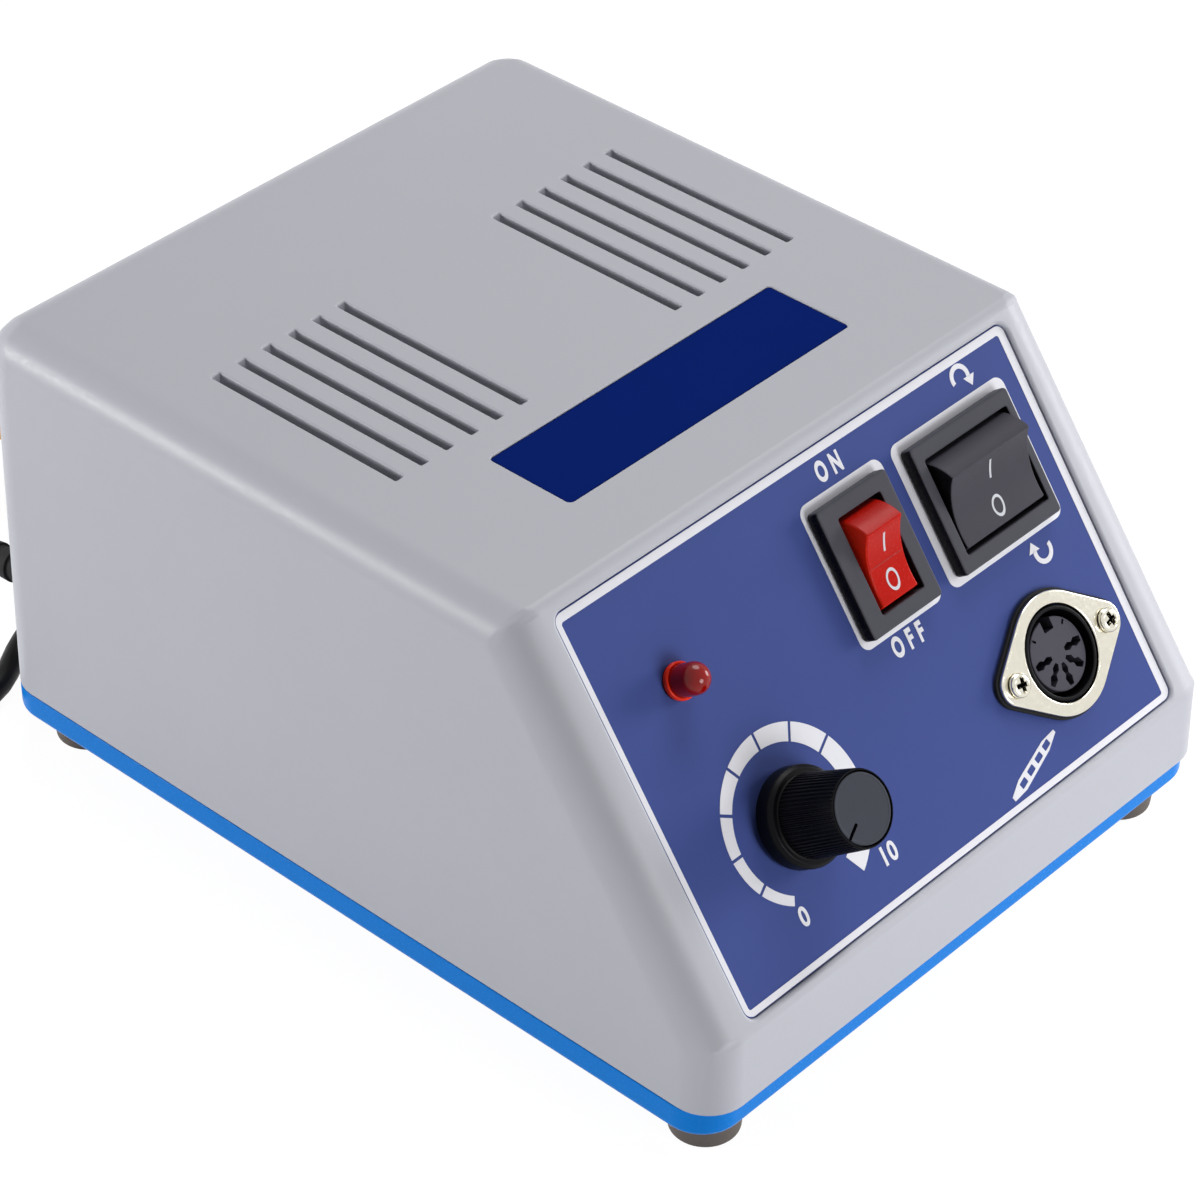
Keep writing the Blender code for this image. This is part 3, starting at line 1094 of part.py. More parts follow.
def make_terminal_block(seat_z):
    """Screw terminal block with a row of wells."""
    length, depth, height = TERMINAL_BLOCK_SIZE
    middle = (TERMINAL_BLOCK_X, TERMINAL_BLOCK_Y, seat_z + height / 2)
    block = place_object("terminal_block", box_mesh(TERMINAL_BLOCK_SIZE), TERMINAL_GREEN, CASE, middle)
    pitch = length / TERMINAL_BLOCK_WELLS
    for index in range(TERMINAL_BLOCK_WELLS):
        x = TERMINAL_BLOCK_X - length / 2 + pitch * (index + 0.5)
        top = seat_z + height
        well = rod_mesh(TERMINAL_WELL_RADIUS, top - TERMINAL_WELL_DEPTH, top + OVERRUN, SMALL_SIDES)
        cut(block, well, CASE, (x, TERMINAL_BLOCK_Y, 0))


def make_fuse_holder():
    """Panel fuse holder: body and flange, nut inside, cap outside, glass fuse in the bore."""
    place = (FUSE_X, -FUSE_RISE, 0)
    flange_low = GAP
    flange_top = flange_low + FUSE_FLANGE_THICKNESS
    floor = -FUSE_BODY_LENGTH
    bore_floor = floor + FUSE_FLANGE_THICKNESS
    body = [(FUSE_FLANGE_RADIUS, flange_top), (FUSE_FLANGE_RADIUS, flange_low),
            (FUSE_BODY_RADIUS, flange_low), (FUSE_BODY_RADIUS, floor), (0, floor), (0, bore_floor),
            (FUSE_BORE_RADIUS, bore_floor), (FUSE_BORE_RADIUS, flange_top)]
    turned("fuse_holder", body, KNOB_BLACK, MIDDLE_SIDES, BACK, place)
    cap_top = FUSE_CAP_TOP
    cap_low = cap_top - FUSE_CAP_HEIGHT
    plug_low = cap_low - FUSE_CAP_PLUG_LENGTH
    cap = [(0, cap_top), (FUSE_CAP_RADIUS * FUSE_CAP_CROWN_SHARE, cap_top), (FUSE_CAP_RADIUS, cap_low),
           (FUSE_CAP_PLUG_RADIUS, cap_low), (FUSE_CAP_PLUG_RADIUS, plug_low), (0, plug_low)]
    turned_cap = turned("fuse_cap", cap, KNOB_BLACK, MIDDLE_SIDES, BACK, place)
    slot_length = 2 * (FUSE_CAP_RADIUS + OVERRUN)
    slot = block_mesh(slot_length, FUSE_CAP_SLOT_WIDTH, cap_top - FUSE_CAP_SLOT_DEPTH, cap_top + OVERRUN)
    cut(turned_cap, slot, BACK, place)
    nut_top = -COVER_WALL - GAP
    nut = plate_mesh([hexagon(FUSE_NUT_HALF_FLATS), circle(FUSE_BODY_RADIUS + FIT, MIDDLE_SIDES)],
                     nut_top - FUSE_NUT_THICKNESS, nut_top)
    place_object("fuse_holder_nut", nut, SWITCH_BLACK, BACK, place)
    link_low = bore_floor + STACK_GAP
    link = rod_mesh(FUSE_LINK_RADIUS, link_low, link_low + FUSE_LINK_LENGTH, SMALL_SIDES)
    place_object("fuse_link", link, FUSE_GLASS, BACK, place)


def make_pedal_jack():
    """Foot control jack: bushing and body with a straight bore, nut outside."""
    place = (JACK_X, -JACK_RISE, 0)
    body_top = -COVER_WALL - GAP
    body = block_mesh(JACK_BODY_WIDTH, JACK_BODY_HEIGHT, body_top - JACK_BODY_LENGTH, body_top)
    jack = place_object("pedal_jack", body, SWITCH_BLACK, BACK, place)
    bushing = rod_mesh(JACK_BUSHING_RADIUS, body_top - OVERRUN, JACK_BUSHING_REACH, MIDDLE_SIDES)
    join(jack, bushing, BACK, place)
    bore_low = JACK_BUSHING_REACH - JACK_BORE_DEPTH
    bore = rod_mesh(JACK_BORE_RADIUS, bore_low, JACK_BUSHING_REACH + OVERRUN, MIDDLE_SIDES)
    cut(jack, bore, BACK, place)
    nut = plate_mesh([hexagon(JACK_NUT_HALF_FLATS), circle(JACK_BUSHING_RADIUS + FIT, MIDDLE_SIDES)],
                     GAP, GAP + JACK_NUT_THICKNESS)
    place_object("pedal_jack_nut", nut, NICKEL, BACK, place)


def back_point(x, rise, out):
    """A point given from the back wall, by its rise above the cover's foot, in the case frame."""
    cos_lean, sin_lean = math.cos(DRAFT_ANGLE), math.sin(DRAFT_ANGLE)
    return Vector((x, CASE_DEPTH / 2 - rise * sin_lean + out * cos_lean,
                   COVER_BOTTOM + rise * cos_lean + out * sin_lean))


def relief_root():
    """Middle of the boot's root, in the case frame."""
    return back_point(RELIEF_X, RELIEF_RISE, GAP + RELIEF_COLLAR_THICKNESS / 2)


def relief_tip():
    """Point and direction where the lead leaves the strain relief, case frame."""
    heading = Vector((0, math.cos(RELIEF_DROOP), -math.sin(RELIEF_DROOP)))
    return relief_root() + heading * (RELIEF_LENGTH + GAP), heading


def make_strain_relief():
    """Tapered ribbed boot with a collar outside the wall and a neck through it."""
    collar_low = GAP
    inner = -COVER_WALL - RELIEF_INNER_LENGTH
    collar_top = collar_low + RELIEF_COLLAR_THICKNESS
    collar = [(0, collar_top), (RELIEF_COLLAR_RADIUS, collar_top), (RELIEF_COLLAR_RADIUS, collar_low),
              (RELIEF_NECK_RADIUS, collar_low), (RELIEF_NECK_RADIUS, inner), (0, inner)]
    relief = turned("strain_relief", collar, SOFT_BLACK, MIDDLE_SIDES, BACK, (RELIEF_X, -RELIEF_RISE, 0))
    rib = RELIEF_LENGTH / (2 * RELIEF_RIBS)
    boot = [(0, RELIEF_LENGTH)]
    for index in range(RELIEF_RIBS, 0, -1):
        for height, sink in ((2 * index * rib, 0), ((2 * index - 1) * rib, 0), ((2 * index - 1) * rib, 1),
                             ((2 * index - 2) * rib, 1)):
            share = height / RELIEF_LENGTH
            radius = RELIEF_ROOT_RADIUS + (RELIEF_TIP_RADIUS - RELIEF_ROOT_RADIUS) * share
            boot.append((radius - sink * RELIEF_RIB_DEPTH, height))
    boot.append((0, 0))
    tilted = turned("strain_relief_boot", boot, None, MIDDLE_SIDES, CASE, relief_root(),
                    (-math.pi / 2 - RELIEF_DROOP, 0, 0), cutter=True)
    boolean(relief, tilted, "UNION")


def smooth_route(points, spacing):
    """Evenly spaced points on a smooth curve through the given ones, its first and last spans straight."""
    knots = [Vector(p) for p in points]
    dense = []
    for p0, p1, p2, p3 in zip(knots, knots[1:], knots[2:], knots[3:]):
        for index in range(ROUTE_PARTS):
            t = index / ROUTE_PARTS
            dense.append(0.5 * (2 * p1 + (p2 - p0) * t + (2 * p0 - 5 * p1 + 4 * p2 - p3) * t ** 2
                                + (3 * p1 - p0 - 3 * p2 + p3) * t ** 3))
    dense.append(knots[-2])
    lengths = [0]
    for first, second in zip(dense, dense[1:]):
        lengths.append(lengths[-1] + (second - first).length)
    count = max(2, round(lengths[-1] / spacing))
    even = [knots[0]]
    index = 0
    for step in range(count + 1):
        target = lengths[-1] * step / count
        while index < len(dense) - 2 and lengths[index + 1] < target:
            index += 1
        share = (target - lengths[index]) / (lengths[index + 1] - lengths[index])
        even.append(dense[index].lerp(dense[index + 1], min(max(share, 0), 1)))
    return even + [knots[-1]]


def route_length(points):
    """Length along a row of points."""
    return sum((second - first).length for first, second in zip(points, points[1:]))


def smooth_step(value):
    """0 to 1 with level ends."""
    value = min(max(value, 0), 1)
    return value * value * (3 - 2 * value)


def coil_place(turn):
    """Point of the coil after a number of turns, clockwise from above, case frame."""
    angle = COIL_ENTRY_ANGLE - 2 * math.pi * turn
    total = COIL_LAYERS * COIL_TURNS_PER_LAYER
    held = min(max(turn, 0), total)
    layer, along = divmod(held, COIL_TURNS_PER_LAYER)
    inward = along if layer % 2 == 0 else COIL_TURNS_PER_LAYER - along
    if held == total:
        inward = 0 if COIL_LAYERS % 2 == 0 else COIL_TURNS_PER_LAYER
    radius = COIL_OUTER - COIL_PITCH * inward
    level = 0
    for change in range(1, COIL_LAYERS):
        level += smooth_step((held - change * COIL_TURNS_PER_LAYER) / COIL_STEP_TURNS + 0.5)
    return Vector((COIL_CENTRE[0] + radius * math.cos(angle), COIL_CENTRE[1] + radius * math.sin(angle),
                   COIL_BASE_Z + level * COIL_PITCH))


def coil_heading(turn):
    """Direction of travel along the coil's round."""
    angle = COIL_ENTRY_ANGLE - 2 * math.pi * turn
    return Vector((math.sin(angle), -math.cos(angle), 0))


def coil_points():
    """The coil's whole run with a straight end one diameter long at each end."""
    total = COIL_LAYERS * COIL_TURNS_PER_LAYER
    count = total * COIL_POINTS_PER_TURN
    points = [coil_place(total * index / count) for index in range(count + 1)]
    start = points[0] - coil_heading(0) * CORD_DIAMETER
    end = points[-1] + coil_heading(total) * CORD_DIAMETER
    return [start] + points + [end]


def least_gap(points):
    """Smallest distance between the coil's surfaces more than half a turn apart."""
    skip = COIL_POINTS_PER_TURN // 2
    pairs = ((first, second) for index, first in enumerate(points) for second in points[index + skip:])
    return min((second - first).length for first, second in pairs) - CORD_DIAMETER


def make_lead():
    """The mains lead: free stretch, coil, tail over the coil, tie and plug."""
    tip, heading = relief_tip()
    coil = coil_points()
    entry = coil[0] - coil_heading(0) * GAP
    start = [tip, tip + heading * CORD_DIAMETER]
    finish = [entry - coil_heading(0) * CORD_DIAMETER, entry]
    run = smooth_route(start + [Vector(p) for p in CORD_ROUTE] + finish, CORD_POINT_SPACING)
    place_object("cord_run", tube_mesh(run, CORD_DIAMETER / 2, 2), WIRE_BLACK)
    place_object("cord_coil", tube_mesh(coil, CORD_DIAMETER / 2, 1), WIRE_BLACK)
    gap = least_gap(coil)
    print(f"coil: least gap to itself {gap * 1000:.2f} mm, wanted over {COIL_LEAST_GAP * 1000:.2f} mm")
    total = COIL_LAYERS * COIL_TURNS_PER_LAYER
    leave = coil[-1] + coil_heading(total) * GAP
    plug_z = COIL_TOP_Z + CORD_DIAMETER / 2 + GAP + PLUG_THICKNESS / 2
    tail = [leave, leave + coil_heading(total) * CORD_DIAMETER]
    for turn_share, lift_share in TAIL_CLIMB_SHARES:
        place = coil_place(total + turn_share)
        tail.append(Vector((place.x, place.y, COIL_TOP_Z + COIL_PITCH * lift_share)))
    bend = TAIL_BEND_DIAMETERS * CORD_DIAMETER
    centre_turn = total + TAIL_BEND_TURN_SHARE
    outer = coil_place(centre_turn)
    ahead = coil_heading(centre_turn)
    across = Vector((ahead.y, -ahead.x, 0))
    bend_centre = Vector((outer.x, outer.y, 0)) + across * bend
    first = math.atan2(-across.y, -across.x)
    last = PLUG_HEADING + math.pi / 2 - 2 * math.pi
    low = COIL_TOP_Z + COIL_PITCH * TAIL_CLIMB_SHARES[-1][1]
    for share in TAIL_BEND_SHARES:
        angle = first + (last - first) * share
        tail.append(Vector((bend_centre.x + bend * math.cos(angle), bend_centre.y + bend * math.sin(angle),
                            low + (plug_z - low) * share)))
    plug_heading = Vector((math.cos(PLUG_HEADING), math.sin(PLUG_HEADING), 0))
    plug_rear = tail[-1] + plug_heading * CORD_DIAMETER
    tail.append(plug_rear)
    tail_points = smooth_route(tail, CORD_POINT_SPACING)
    place_object("cord_tail", tube_mesh(tail_points, CORD_DIAMETER / 2, 2), WIRE_BLACK)
    make_tie()
    make_plug(plug_rear + plug_heading * GAP)
    whole = route_length(run) + route_length(coil) + route_length(tail_points)
    print(f"cord: {whole:.3f} m in all, run {route_length(run):.3f}, coil {route_length(coil):.3f}, "
          f"tail {route_length(tail_points):.3f}")


def make_tie():
    """Flat tie round the coil's bundle."""
    radial = COIL_TURNS_PER_LAYER * COIL_PITCH + CORD_DIAMETER + 2 * TIE_FIT
    upright = (COIL_LAYERS - 1) * COIL_PITCH + CORD_DIAMETER + 2 * TIE_FIT
    middle_z = (COIL_BASE_Z + COIL_TOP_Z) / 2
    outer = rounded_rectangle(radial + 2 * TIE_THICKNESS, upright + 2 * TIE_THICKNESS,
                              TIE_ROUND + TIE_THICKNESS)
    inner = rounded_rectangle(radial, upright, TIE_ROUND)
    band = plate_mesh([outer, inner], -TIE_WIDTH / 2, TIE_WIDTH / 2)
    place = (COIL_CENTRE[0] + COIL_MIDDLE_RADIUS * math.cos(TIE_ANGLE),
             COIL_CENTRE[1] + COIL_MIDDLE_RADIUS * math.sin(TIE_ANGLE), middle_z)
    place_object("cord_tie", band, SOFT_BLACK, CASE, place, (math.pi / 2, 0, TIE_ANGLE))


def make_plug(rear):
    """Two-blade plug lying on the coil."""
    half = PLUG_WIDTH / 2
    rear_half = PLUG_REAR_WIDTH / 2
    shoulder = PLUG_LENGTH * PLUG_SHOULDER_SHARE
    outline = [(0, -rear_half), (shoulder, -half), (PLUG_LENGTH, -half), (PLUG_LENGTH, half),
               (shoulder, half), (0, rear_half)]
    body = plate_mesh([outline], -PLUG_THICKNESS / 2, PLUG_THICKNESS / 2)
    turn = (0, 0, PLUG_HEADING)
    plug = place_object("plug_body", body, SOFT_BLACK, CASE, rear, turn)
    bevel(plug, PLUG_ROUND, 2, math.radians(20))
    for name, side in (("left", 1), ("right", -1)):
        y = side * BLADE_SPACING / 2
        slot = box_mesh((BLADE_ROOT + OVERRUN, BLADE_THICKNESS + 2 * FIT, BLADE_HEIGHT + 2 * FIT),
                        (PLUG_LENGTH - (BLADE_ROOT - OVERRUN) / 2, y, 0))
        cut(plug, slot, CASE, rear, turn)
        length = BLADE_LENGTH + BLADE_ROOT - FIT
        middle = PLUG_LENGTH + BLADE_LENGTH - length / 2
        blade = box_mesh((length, BLADE_THICKNESS, BLADE_HEIGHT), (middle, y, 0))
        place_object(f"plug_blade_{name}", blade, BRASS, CASE, rear, turn)


def panel_point(x, up, out):
    """A point of the panel frame in the case frame."""
    cos_slope, sin_slope = math.cos(SLOPE_ANGLE), math.sin(SLOPE_ANGLE)
    return Vector((x, CREASE_Y + up * cos_slope - out * sin_slope,
                   CREASE_Z + up * sin_slope + out * cos_slope))


def make_harnesses(board_top):
    """Wiring inside: mains to the terminal block, and the block to the motor socket."""
    straight = 2 * HARNESS_RADIUS
    inner_end = -COVER_WALL - RELIEF_INNER_LENGTH - GAP
    half_block = TERMINAL_BLOCK_SIZE[0] / 2 + GAP
    block_z = board_top + TERMINAL_BLOCK_SIZE[2] / 2
    mains = [back_point(RELIEF_X, RELIEF_RISE, inner_end - reach) for reach in (0, straight)]
    mains += [Vector((x - CASE_WIDTH / 2, y, z)) for x, y, z in MAINS_HARNESS_ROUTE]
    left, right = TERMINAL_BLOCK_X - half_block, TERMINAL_BLOCK_X + half_block
    mains += [Vector((left - reach, TERMINAL_BLOCK_Y, block_z)) for reach in (straight, 0)]
    motor = [Vector((right + reach, TERMINAL_BLOCK_Y, block_z)) for reach in (0, straight)]
    motor += [Vector((right + x, y, z)) for x, y, z in MOTOR_HARNESS_ROUTE]
    socket_end = LABEL_TOP + FLANGE_TOP - SHELL_DEPTH - GAP
    motor += [panel_point(SOCKET_X, SOCKET_MIDDLE, socket_end - reach) for reach in (straight, 0)]
    for name, route in (("mains_harness", mains), ("motor_harness", motor)):
        points = smooth_route(route, HARNESS_POINT_SPACING)
        place_object(name, tube_mesh(points, HARNESS_RADIUS, 1), WIRE_BLACK)


def smooth_round_pieces():
    """Shade every piece smooth across its shallow edges."""
    for piece in PARTS.objects:
        if piece.type == "MESH" and len(piece.data.polygons):
            piece.data.shade_smooth()
            piece.data.set_sharp_from_angle(angle=math.radians(35))


def main():
    """Build every piece."""
    make_cover()
    make_tray()
    make_feet()
    make_labels()
    make_switch("power", POWER_X, POWER_BEZEL_WIDTH, POWER_OPENING_WIDTH, POWER_BODY_WIDTH,
                POWER_ROCKER_WIDTH, CLEAR_RED)
    make_switch("direction", DIRECTION_X, DIRECTION_BEZEL_WIDTH, DIRECTION_OPENING_WIDTH,
                DIRECTION_BODY_WIDTH, DIRECTION_ROCKER_WIDTH, SWITCH_BLACK)
    make_lamp()
    make_speed_control()
    make_motor_socket()
    make_transformer()
    board_top = make_board()
    make_fuse_holder()
    make_pedal_jack()
    make_strain_relief()
    make_lead()
    make_harnesses(board_top)
    smooth_round_pieces()


main()
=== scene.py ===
"""Looks of a dental lab micromotor's control unit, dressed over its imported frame. Metres, +Z up, front to -Y."""

import logging
from dataclasses import dataclass, field, replace
from enum import Enum
from itertools import accumulate
from math import acos, asin, atan2, copysign, cos, hypot, pi, radians, sin, sqrt, tan
from typing import Callable, Iterable, Sequence

import bmesh
import bpy
from bmesh.types import BMEdge, BMesh
from bpy.types import Material, Mesh, Node, NodeSocket, NodeTree, Object
from mathutils import Matrix, Vector


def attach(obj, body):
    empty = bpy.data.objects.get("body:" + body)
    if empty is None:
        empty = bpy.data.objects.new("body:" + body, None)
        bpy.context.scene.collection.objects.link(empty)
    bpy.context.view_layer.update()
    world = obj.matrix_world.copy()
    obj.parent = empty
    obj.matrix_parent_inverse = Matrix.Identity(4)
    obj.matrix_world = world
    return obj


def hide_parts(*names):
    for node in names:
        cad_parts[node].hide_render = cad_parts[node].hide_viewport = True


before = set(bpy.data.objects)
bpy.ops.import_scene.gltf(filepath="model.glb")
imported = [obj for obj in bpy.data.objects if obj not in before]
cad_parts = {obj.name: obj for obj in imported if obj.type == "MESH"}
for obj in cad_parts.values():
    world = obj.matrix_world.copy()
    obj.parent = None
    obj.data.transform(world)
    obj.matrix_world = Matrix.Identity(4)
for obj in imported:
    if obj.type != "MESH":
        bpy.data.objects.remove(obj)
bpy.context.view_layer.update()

LOG = logging.getLogger("control_unit")

Point = tuple[float, float]
Outline = Callable[[float], list[Point]]

# Shared fits of the frame
GAP = 0.0003
STACK_GAP = 0.0002
FIT = 0.0003
OVERRUN = 0.002
WELD = 1e-7
PRINT_THICKNESS = 0.00006

# Case sizes, as the frame has them
CASE_WIDTH = 0.12
CASE_DEPTH = 0.1538
CASE_SHIFT = -0.003091
FOOT_HEIGHT = 0.0065
TRAY_BAND = 0.0049
COVER_BOTTOM = FOOT_HEIGHT + TRAY_BAND + GAP
COVER_TOP = COVER_BOTTOM + 0.0694
COVER_WALL = 0.003
SLOPE_ANGLE = radians(54.0)
DRAFT_ANGLE = radians(0.54)
FRONT_WALL_HEIGHT = 0.0132
CREASE_Z = COVER_BOTTOM + FRONT_WALL_HEIGHT
CREASE_Y = -CASE_DEPTH / 2 + FRONT_WALL_HEIGHT * tan(DRAFT_ANGLE)
CORNER_ROUND = 0.0068
COLUMN_INSET = 0.0095
COLUMN_X = CASE_WIDTH / 2 - COLUMN_INSET
COLUMN_Y = CASE_DEPTH / 2 - COLUMN_INSET

# The two labels: their height on the panel, thickness, edge round, sizes and middles
LABEL_TOP = -0.0007
LABEL_THICKNESS = 0.0004
LABEL_ROUND = 0.00008
PANEL_LABEL = (0.102, 0.0656)
PANEL_LABEL_MIDDLE = (0, 0.0342)
TOP_LABEL = (0.0629, 0.0161)
TOP_LABEL_MIDDLE = (0, -0.01445)
TOP_RECESS = 0.0009

# What stands on the panel, in panel coordinates
SWITCH_Y = 0.048
POWER_X = 0.0071
DIRECTION_X = 0.0325
LAMP_AT = (-0.0358, 0.0489)
KNOB_AT = (-0.0277, 0.0221)
SOCKET_AT = (0.0323, 0.0184)
SOCKET_BORE = 0.00775
EAR_SPACING = 0.0223

# Signs of the four corners
CORNERS = ((-1, -1), (-1, 1), (1, -1), (1, 1))
# How far a face's normal leans sideways before it counts as a side wall, which takes the flank finish: a painted
# shade or a painted glow
FLANK_LIMIT = 0.6
# Degrees past which an edge stays sharp, on small pieces and on the case
SHARP = 32.0
CASE_SHARP = 28.0


def at(x: float, y: float, z: float = 0.0) -> Matrix:
    """Return a move to x, y, z."""
    return Matrix.Translation((x, y, z))


def rotated(angle: float, axis: str) -> Matrix:
    """Return a turn by angle about an axis."""
    return Matrix.Rotation(angle, 4, axis)


CASE_FRAME = at(0, CASE_SHIFT)
PANEL_FRAME = CASE_FRAME @ at(0, CREASE_Y, CREASE_Z) @ rotated(SLOPE_ANGLE, "X")
BACK_FRAME = CASE_FRAME @ at(0, CASE_DEPTH / 2, COVER_BOTTOM) @ rotated(DRAFT_ANGLE - pi / 2, "X")
PANEL_LOCAL = CASE_FRAME.inverted() @ PANEL_FRAME
BACK_LOCAL = CASE_FRAME.inverted() @ BACK_FRAME


def on_panel(place: Point) -> Matrix:
    """Return the frame of a fitting on the panel's label, its Z outwards."""
    return PANEL_FRAME @ at(*place, LABEL_TOP)


def on_back(x: float, rise: float) -> Matrix:
    """Return the frame of a fitting on the back wall, rise above the cover's edge, its Z outwards."""
    return BACK_FRAME @ at(x, -rise)


class Body(Enum):
    """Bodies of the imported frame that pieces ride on."""

    CASE = "case"
    KNOB = "speed_knob"
    POWER = "power_rocker"
    DIRECTION = "direction_rocker"
    FUSE = "fuse_cap"


class Grain(Enum):
    """How a surface was finished, as the noise that its bump follows."""

    SPARKED = "sparked mould"
    POLISHED = "polished mould"
    BRUSHED = "brushed or drawn"


def linear(hex_colour: str) -> tuple[float, float, float, float]:
    """Turn an sRGB hex colour to linear RGBA.

    Args:
        hex_colour: Colour such as "#B4B5BD".

    Returns:
        Linear red, green, blue and an alpha of 1.
    """
    values = [int(hex_colour[i:i + 2], 16) / 255 for i in (1, 3, 5)]
    red, green, blue = (v / 12.92 if v <= 0.04045 else ((v + 0.055) / 1.055) ** 2.4 for v in values)
    return red, green, blue, 1.0


def add_node(tree: NodeTree, kind: str, links: dict | None = None, values: dict | None = None,
             **settings: object) -> Node:
    """Add a node with its settings, socket values and links.

    Args:
        tree: Node tree to add to.
        kind: Node type.
        links: Output sockets by the input that they feed.
        values: Default values by input.
        **settings: Properties of the node.

    Returns:
        The new node.
    """
    made = tree.nodes.new(kind)
    for key, value in settings.items():
        setattr(made, key, value)
    for key, value in (values or {}).items():
        made.inputs[key].default_value = value
    for key, source in (links or {}).items():
        tree.links.new(source, made.inputs[key])
    return made


@dataclass(frozen=True)
class Finish:
    """One finish: what a material is and how its surface was made.

    A length's name ends in its unit. Mottle is how far the colour wanders, in patches of patch_mm.
    """

    name: str
    colour: str
    roughness: float
    metallic: float = 0.0
    ior: float = 1.5
    grain: Grain = Grain.SPARKED
    grain_mm: float = 0.5
    depth_um: float = 10.0
    mottle: float = 0.04
    patch_mm: float = 6.0
    spread: float = 0.06
    transmission: float = 0.0
    subsurface: float = 0.0
    subsurface_scale: float = 0.002
    specular: float = 0.5
    made: dict = field(default_factory=dict, init=False, compare=False, repr=False)

    def material(self) -> Material:
        """Return this finish's material, built once."""
        if "material" not in self.made:
            self.made["material"] = self.build()
        return self.made["material"]

    def build(self) -> Material:
        """Build the node tree: base colour with mottling, roughness with grain, bump of the grain."""
        made = bpy.data.materials.new(self.name)
        made.use_nodes = True
        made.diffuse_color = linear(self.colour)
        tree = made.node_tree
        shader = tree.nodes["Principled BSDF"]
        for socket, value in (("Metallic", self.metallic), ("IOR", self.ior), ("Specular IOR Level", self.specular),
                              ("Transmission Weight", self.transmission), ("Subsurface Weight", self.subsurface)):
            shader.inputs[socket].default_value = value
        if self.subsurface:
            shader.inputs["Subsurface Scale"].default_value = self.subsurface_scale
        place = add_node(tree, "ShaderNodeTexCoord").outputs["Object"]
        if self.grain is Grain.BRUSHED:
            place = add_node(tree, "ShaderNodeMapping", {"Vector": place}, {"Scale": (0.06, 1, 1)}).outputs[0]
        patches, fine = (add_node(tree, "ShaderNodeTexNoise", {"Vector": place},
                                  {"Scale": 1000 / size, "Detail": detail, "Roughness": rough}).outputs["Fac"]
                         for size, detail, rough in ((self.patch_mm, 3.0, 0.6), (self.grain_mm, 2.0, 0.55)))
        self.paint(tree, shader, patches)
        sheen = add_node(tree, "ShaderNodeMapRange", {"Value": fine},
                         {"From Min": 0.3, "From Max": 0.7, "To Min": max(self.roughness - self.spread, 0.02),
                          "To Max": self.roughness + self.spread})
        bump = add_node(tree, "ShaderNodeBump", {"Height": patches if self.grain is Grain.POLISHED else fine},
                        {"Distance": self.depth_um * 1e-6, "Strength": 1.0})
        tree.links.new(sheen.outputs[0], shader.inputs["Roughness"])
        tree.links.new(bump.outputs[0], shader.inputs["Normal"])
        return made

    def paint(self, tree: NodeTree, shader: Node, patches: NodeSocket) -> None:
        """Lead the mottled colour into the shader."""
        shades = [tuple(min(v * (1 + way * self.mottle), 1) for v in linear(self.colour)[:3]) + (1.0,)
                  for way in (-1, 1)]
        mix = add_node(tree, "ShaderNodeMix", {"Factor": patches}, dict(zip((6, 7), shades)), data_type="RGBA")
        tree.links.new(mix.outputs[2], shader.inputs["Base Color"])


# Moulded ABS, spark-eroded mould: a soft sheen broken by a grain finer than a millimetre
COVER_ABS = Finish("moulded_grey_abs", "#B4B5BD", 0.42, grain_mm=0.6, depth_um=12, mottle=0.02, patch_mm=30,
                   specular=0.35)
# Moulded ABS, polished mould: bright blue with a clear gloss
TRAY_ABS = Finish("moulded_blue_abs", "#0F7CD6", 0.24, grain=Grain.POLISHED, depth_um=6, mottle=0.03, patch_mm=20,
                  specular=0.06)
# Vulcanised rubber: dull, dark, a little dusty, and browned on the feet
FOOT_RUBBER = Finish("vulcanised_rubber", "#1D1D1F", 0.72, grain_mm=0.4, depth_um=20, mottle=0.12, specular=0.2)
WORN_RUBBER = replace(FOOT_RUBBER, name="worn_brown_rubber", colour="#67605B", roughness=0.75)
# Screen-printed polycarbonate film, satin: an even ink under a fine velvet grain
PANEL_FILM = Finish("printed_blue_film", "#404E8A", 0.42, ior=1.585, grain_mm=0.35, depth_um=5, mottle=0.03,
                    patch_mm=12, specular=0.05)
TOP_FILM = Finish("printed_navy_film", "#0E2470", 0.4, ior=1.585, grain_mm=0.35, depth_um=4, mottle=0.05,
                  patch_mm=12, specular=0.0)
# Opaque ink, screened on the film and pad printed on the rockers: even and dull
WHITE_INK = Finish("white_screen_ink", "#DCDCE2", 0.45, grain_mm=0.3, depth_um=4, mottle=0.02)
MARK_INK = replace(WHITE_INK, name="grey_pad_print", colour="#C9CBD2", mottle=0.04)
# Polyamide of the switch housings and rockers: matt black; the dark grey it is given is a painted lit tone, the copy
# for faces that the light lies on
SWITCH_NYLON = Finish("moulded_black_nylon", "#4C4C53", 0.4, ior=1.53, grain_mm=0.4, mottle=0.05, specular=0.05)
ROCKER_NYLON = replace(SWITCH_NYLON, name="polished_black_nylon", colour="#44424A", roughness=0.42, depth_um=6,
                       mottle=0.04, specular=0.08)
# Painted shade: the side walls get a near black, the shaded copy of the nylon, with a polished grain
NYLON_PAINTED_SHADE = Finish("painted_shade_nylon_flank", "#0D0D10", 0.3, ior=1.53, grain=Grain.POLISHED, depth_um=3,
                     specular=0.1)
# Tinted clear polycarbonate of the lit rocker: glossy, light goes some way in; its side walls get a brighter red, a
# painted glow
RED_CLEAR = Finish("clear_red_polycarbonate", "#B81408", 0.24, ior=1.585, grain=Grain.POLISHED, depth_um=3,
                   mottle=0.06, patch_mm=3, subsurface=0.15, specular=0.08)
RED_PAINTED_GLOW = replace(RED_CLEAR, name="painted_glow_red_flank", colour="#F5321A", subsurface=0.3, specular=0.1)
RED_DEEP = Finish("deep_red_polycarbonate", "#9A1410", 0.25, ior=1.585, grain=Grain.POLISHED, depth_um=3,
                  mottle=0.05)
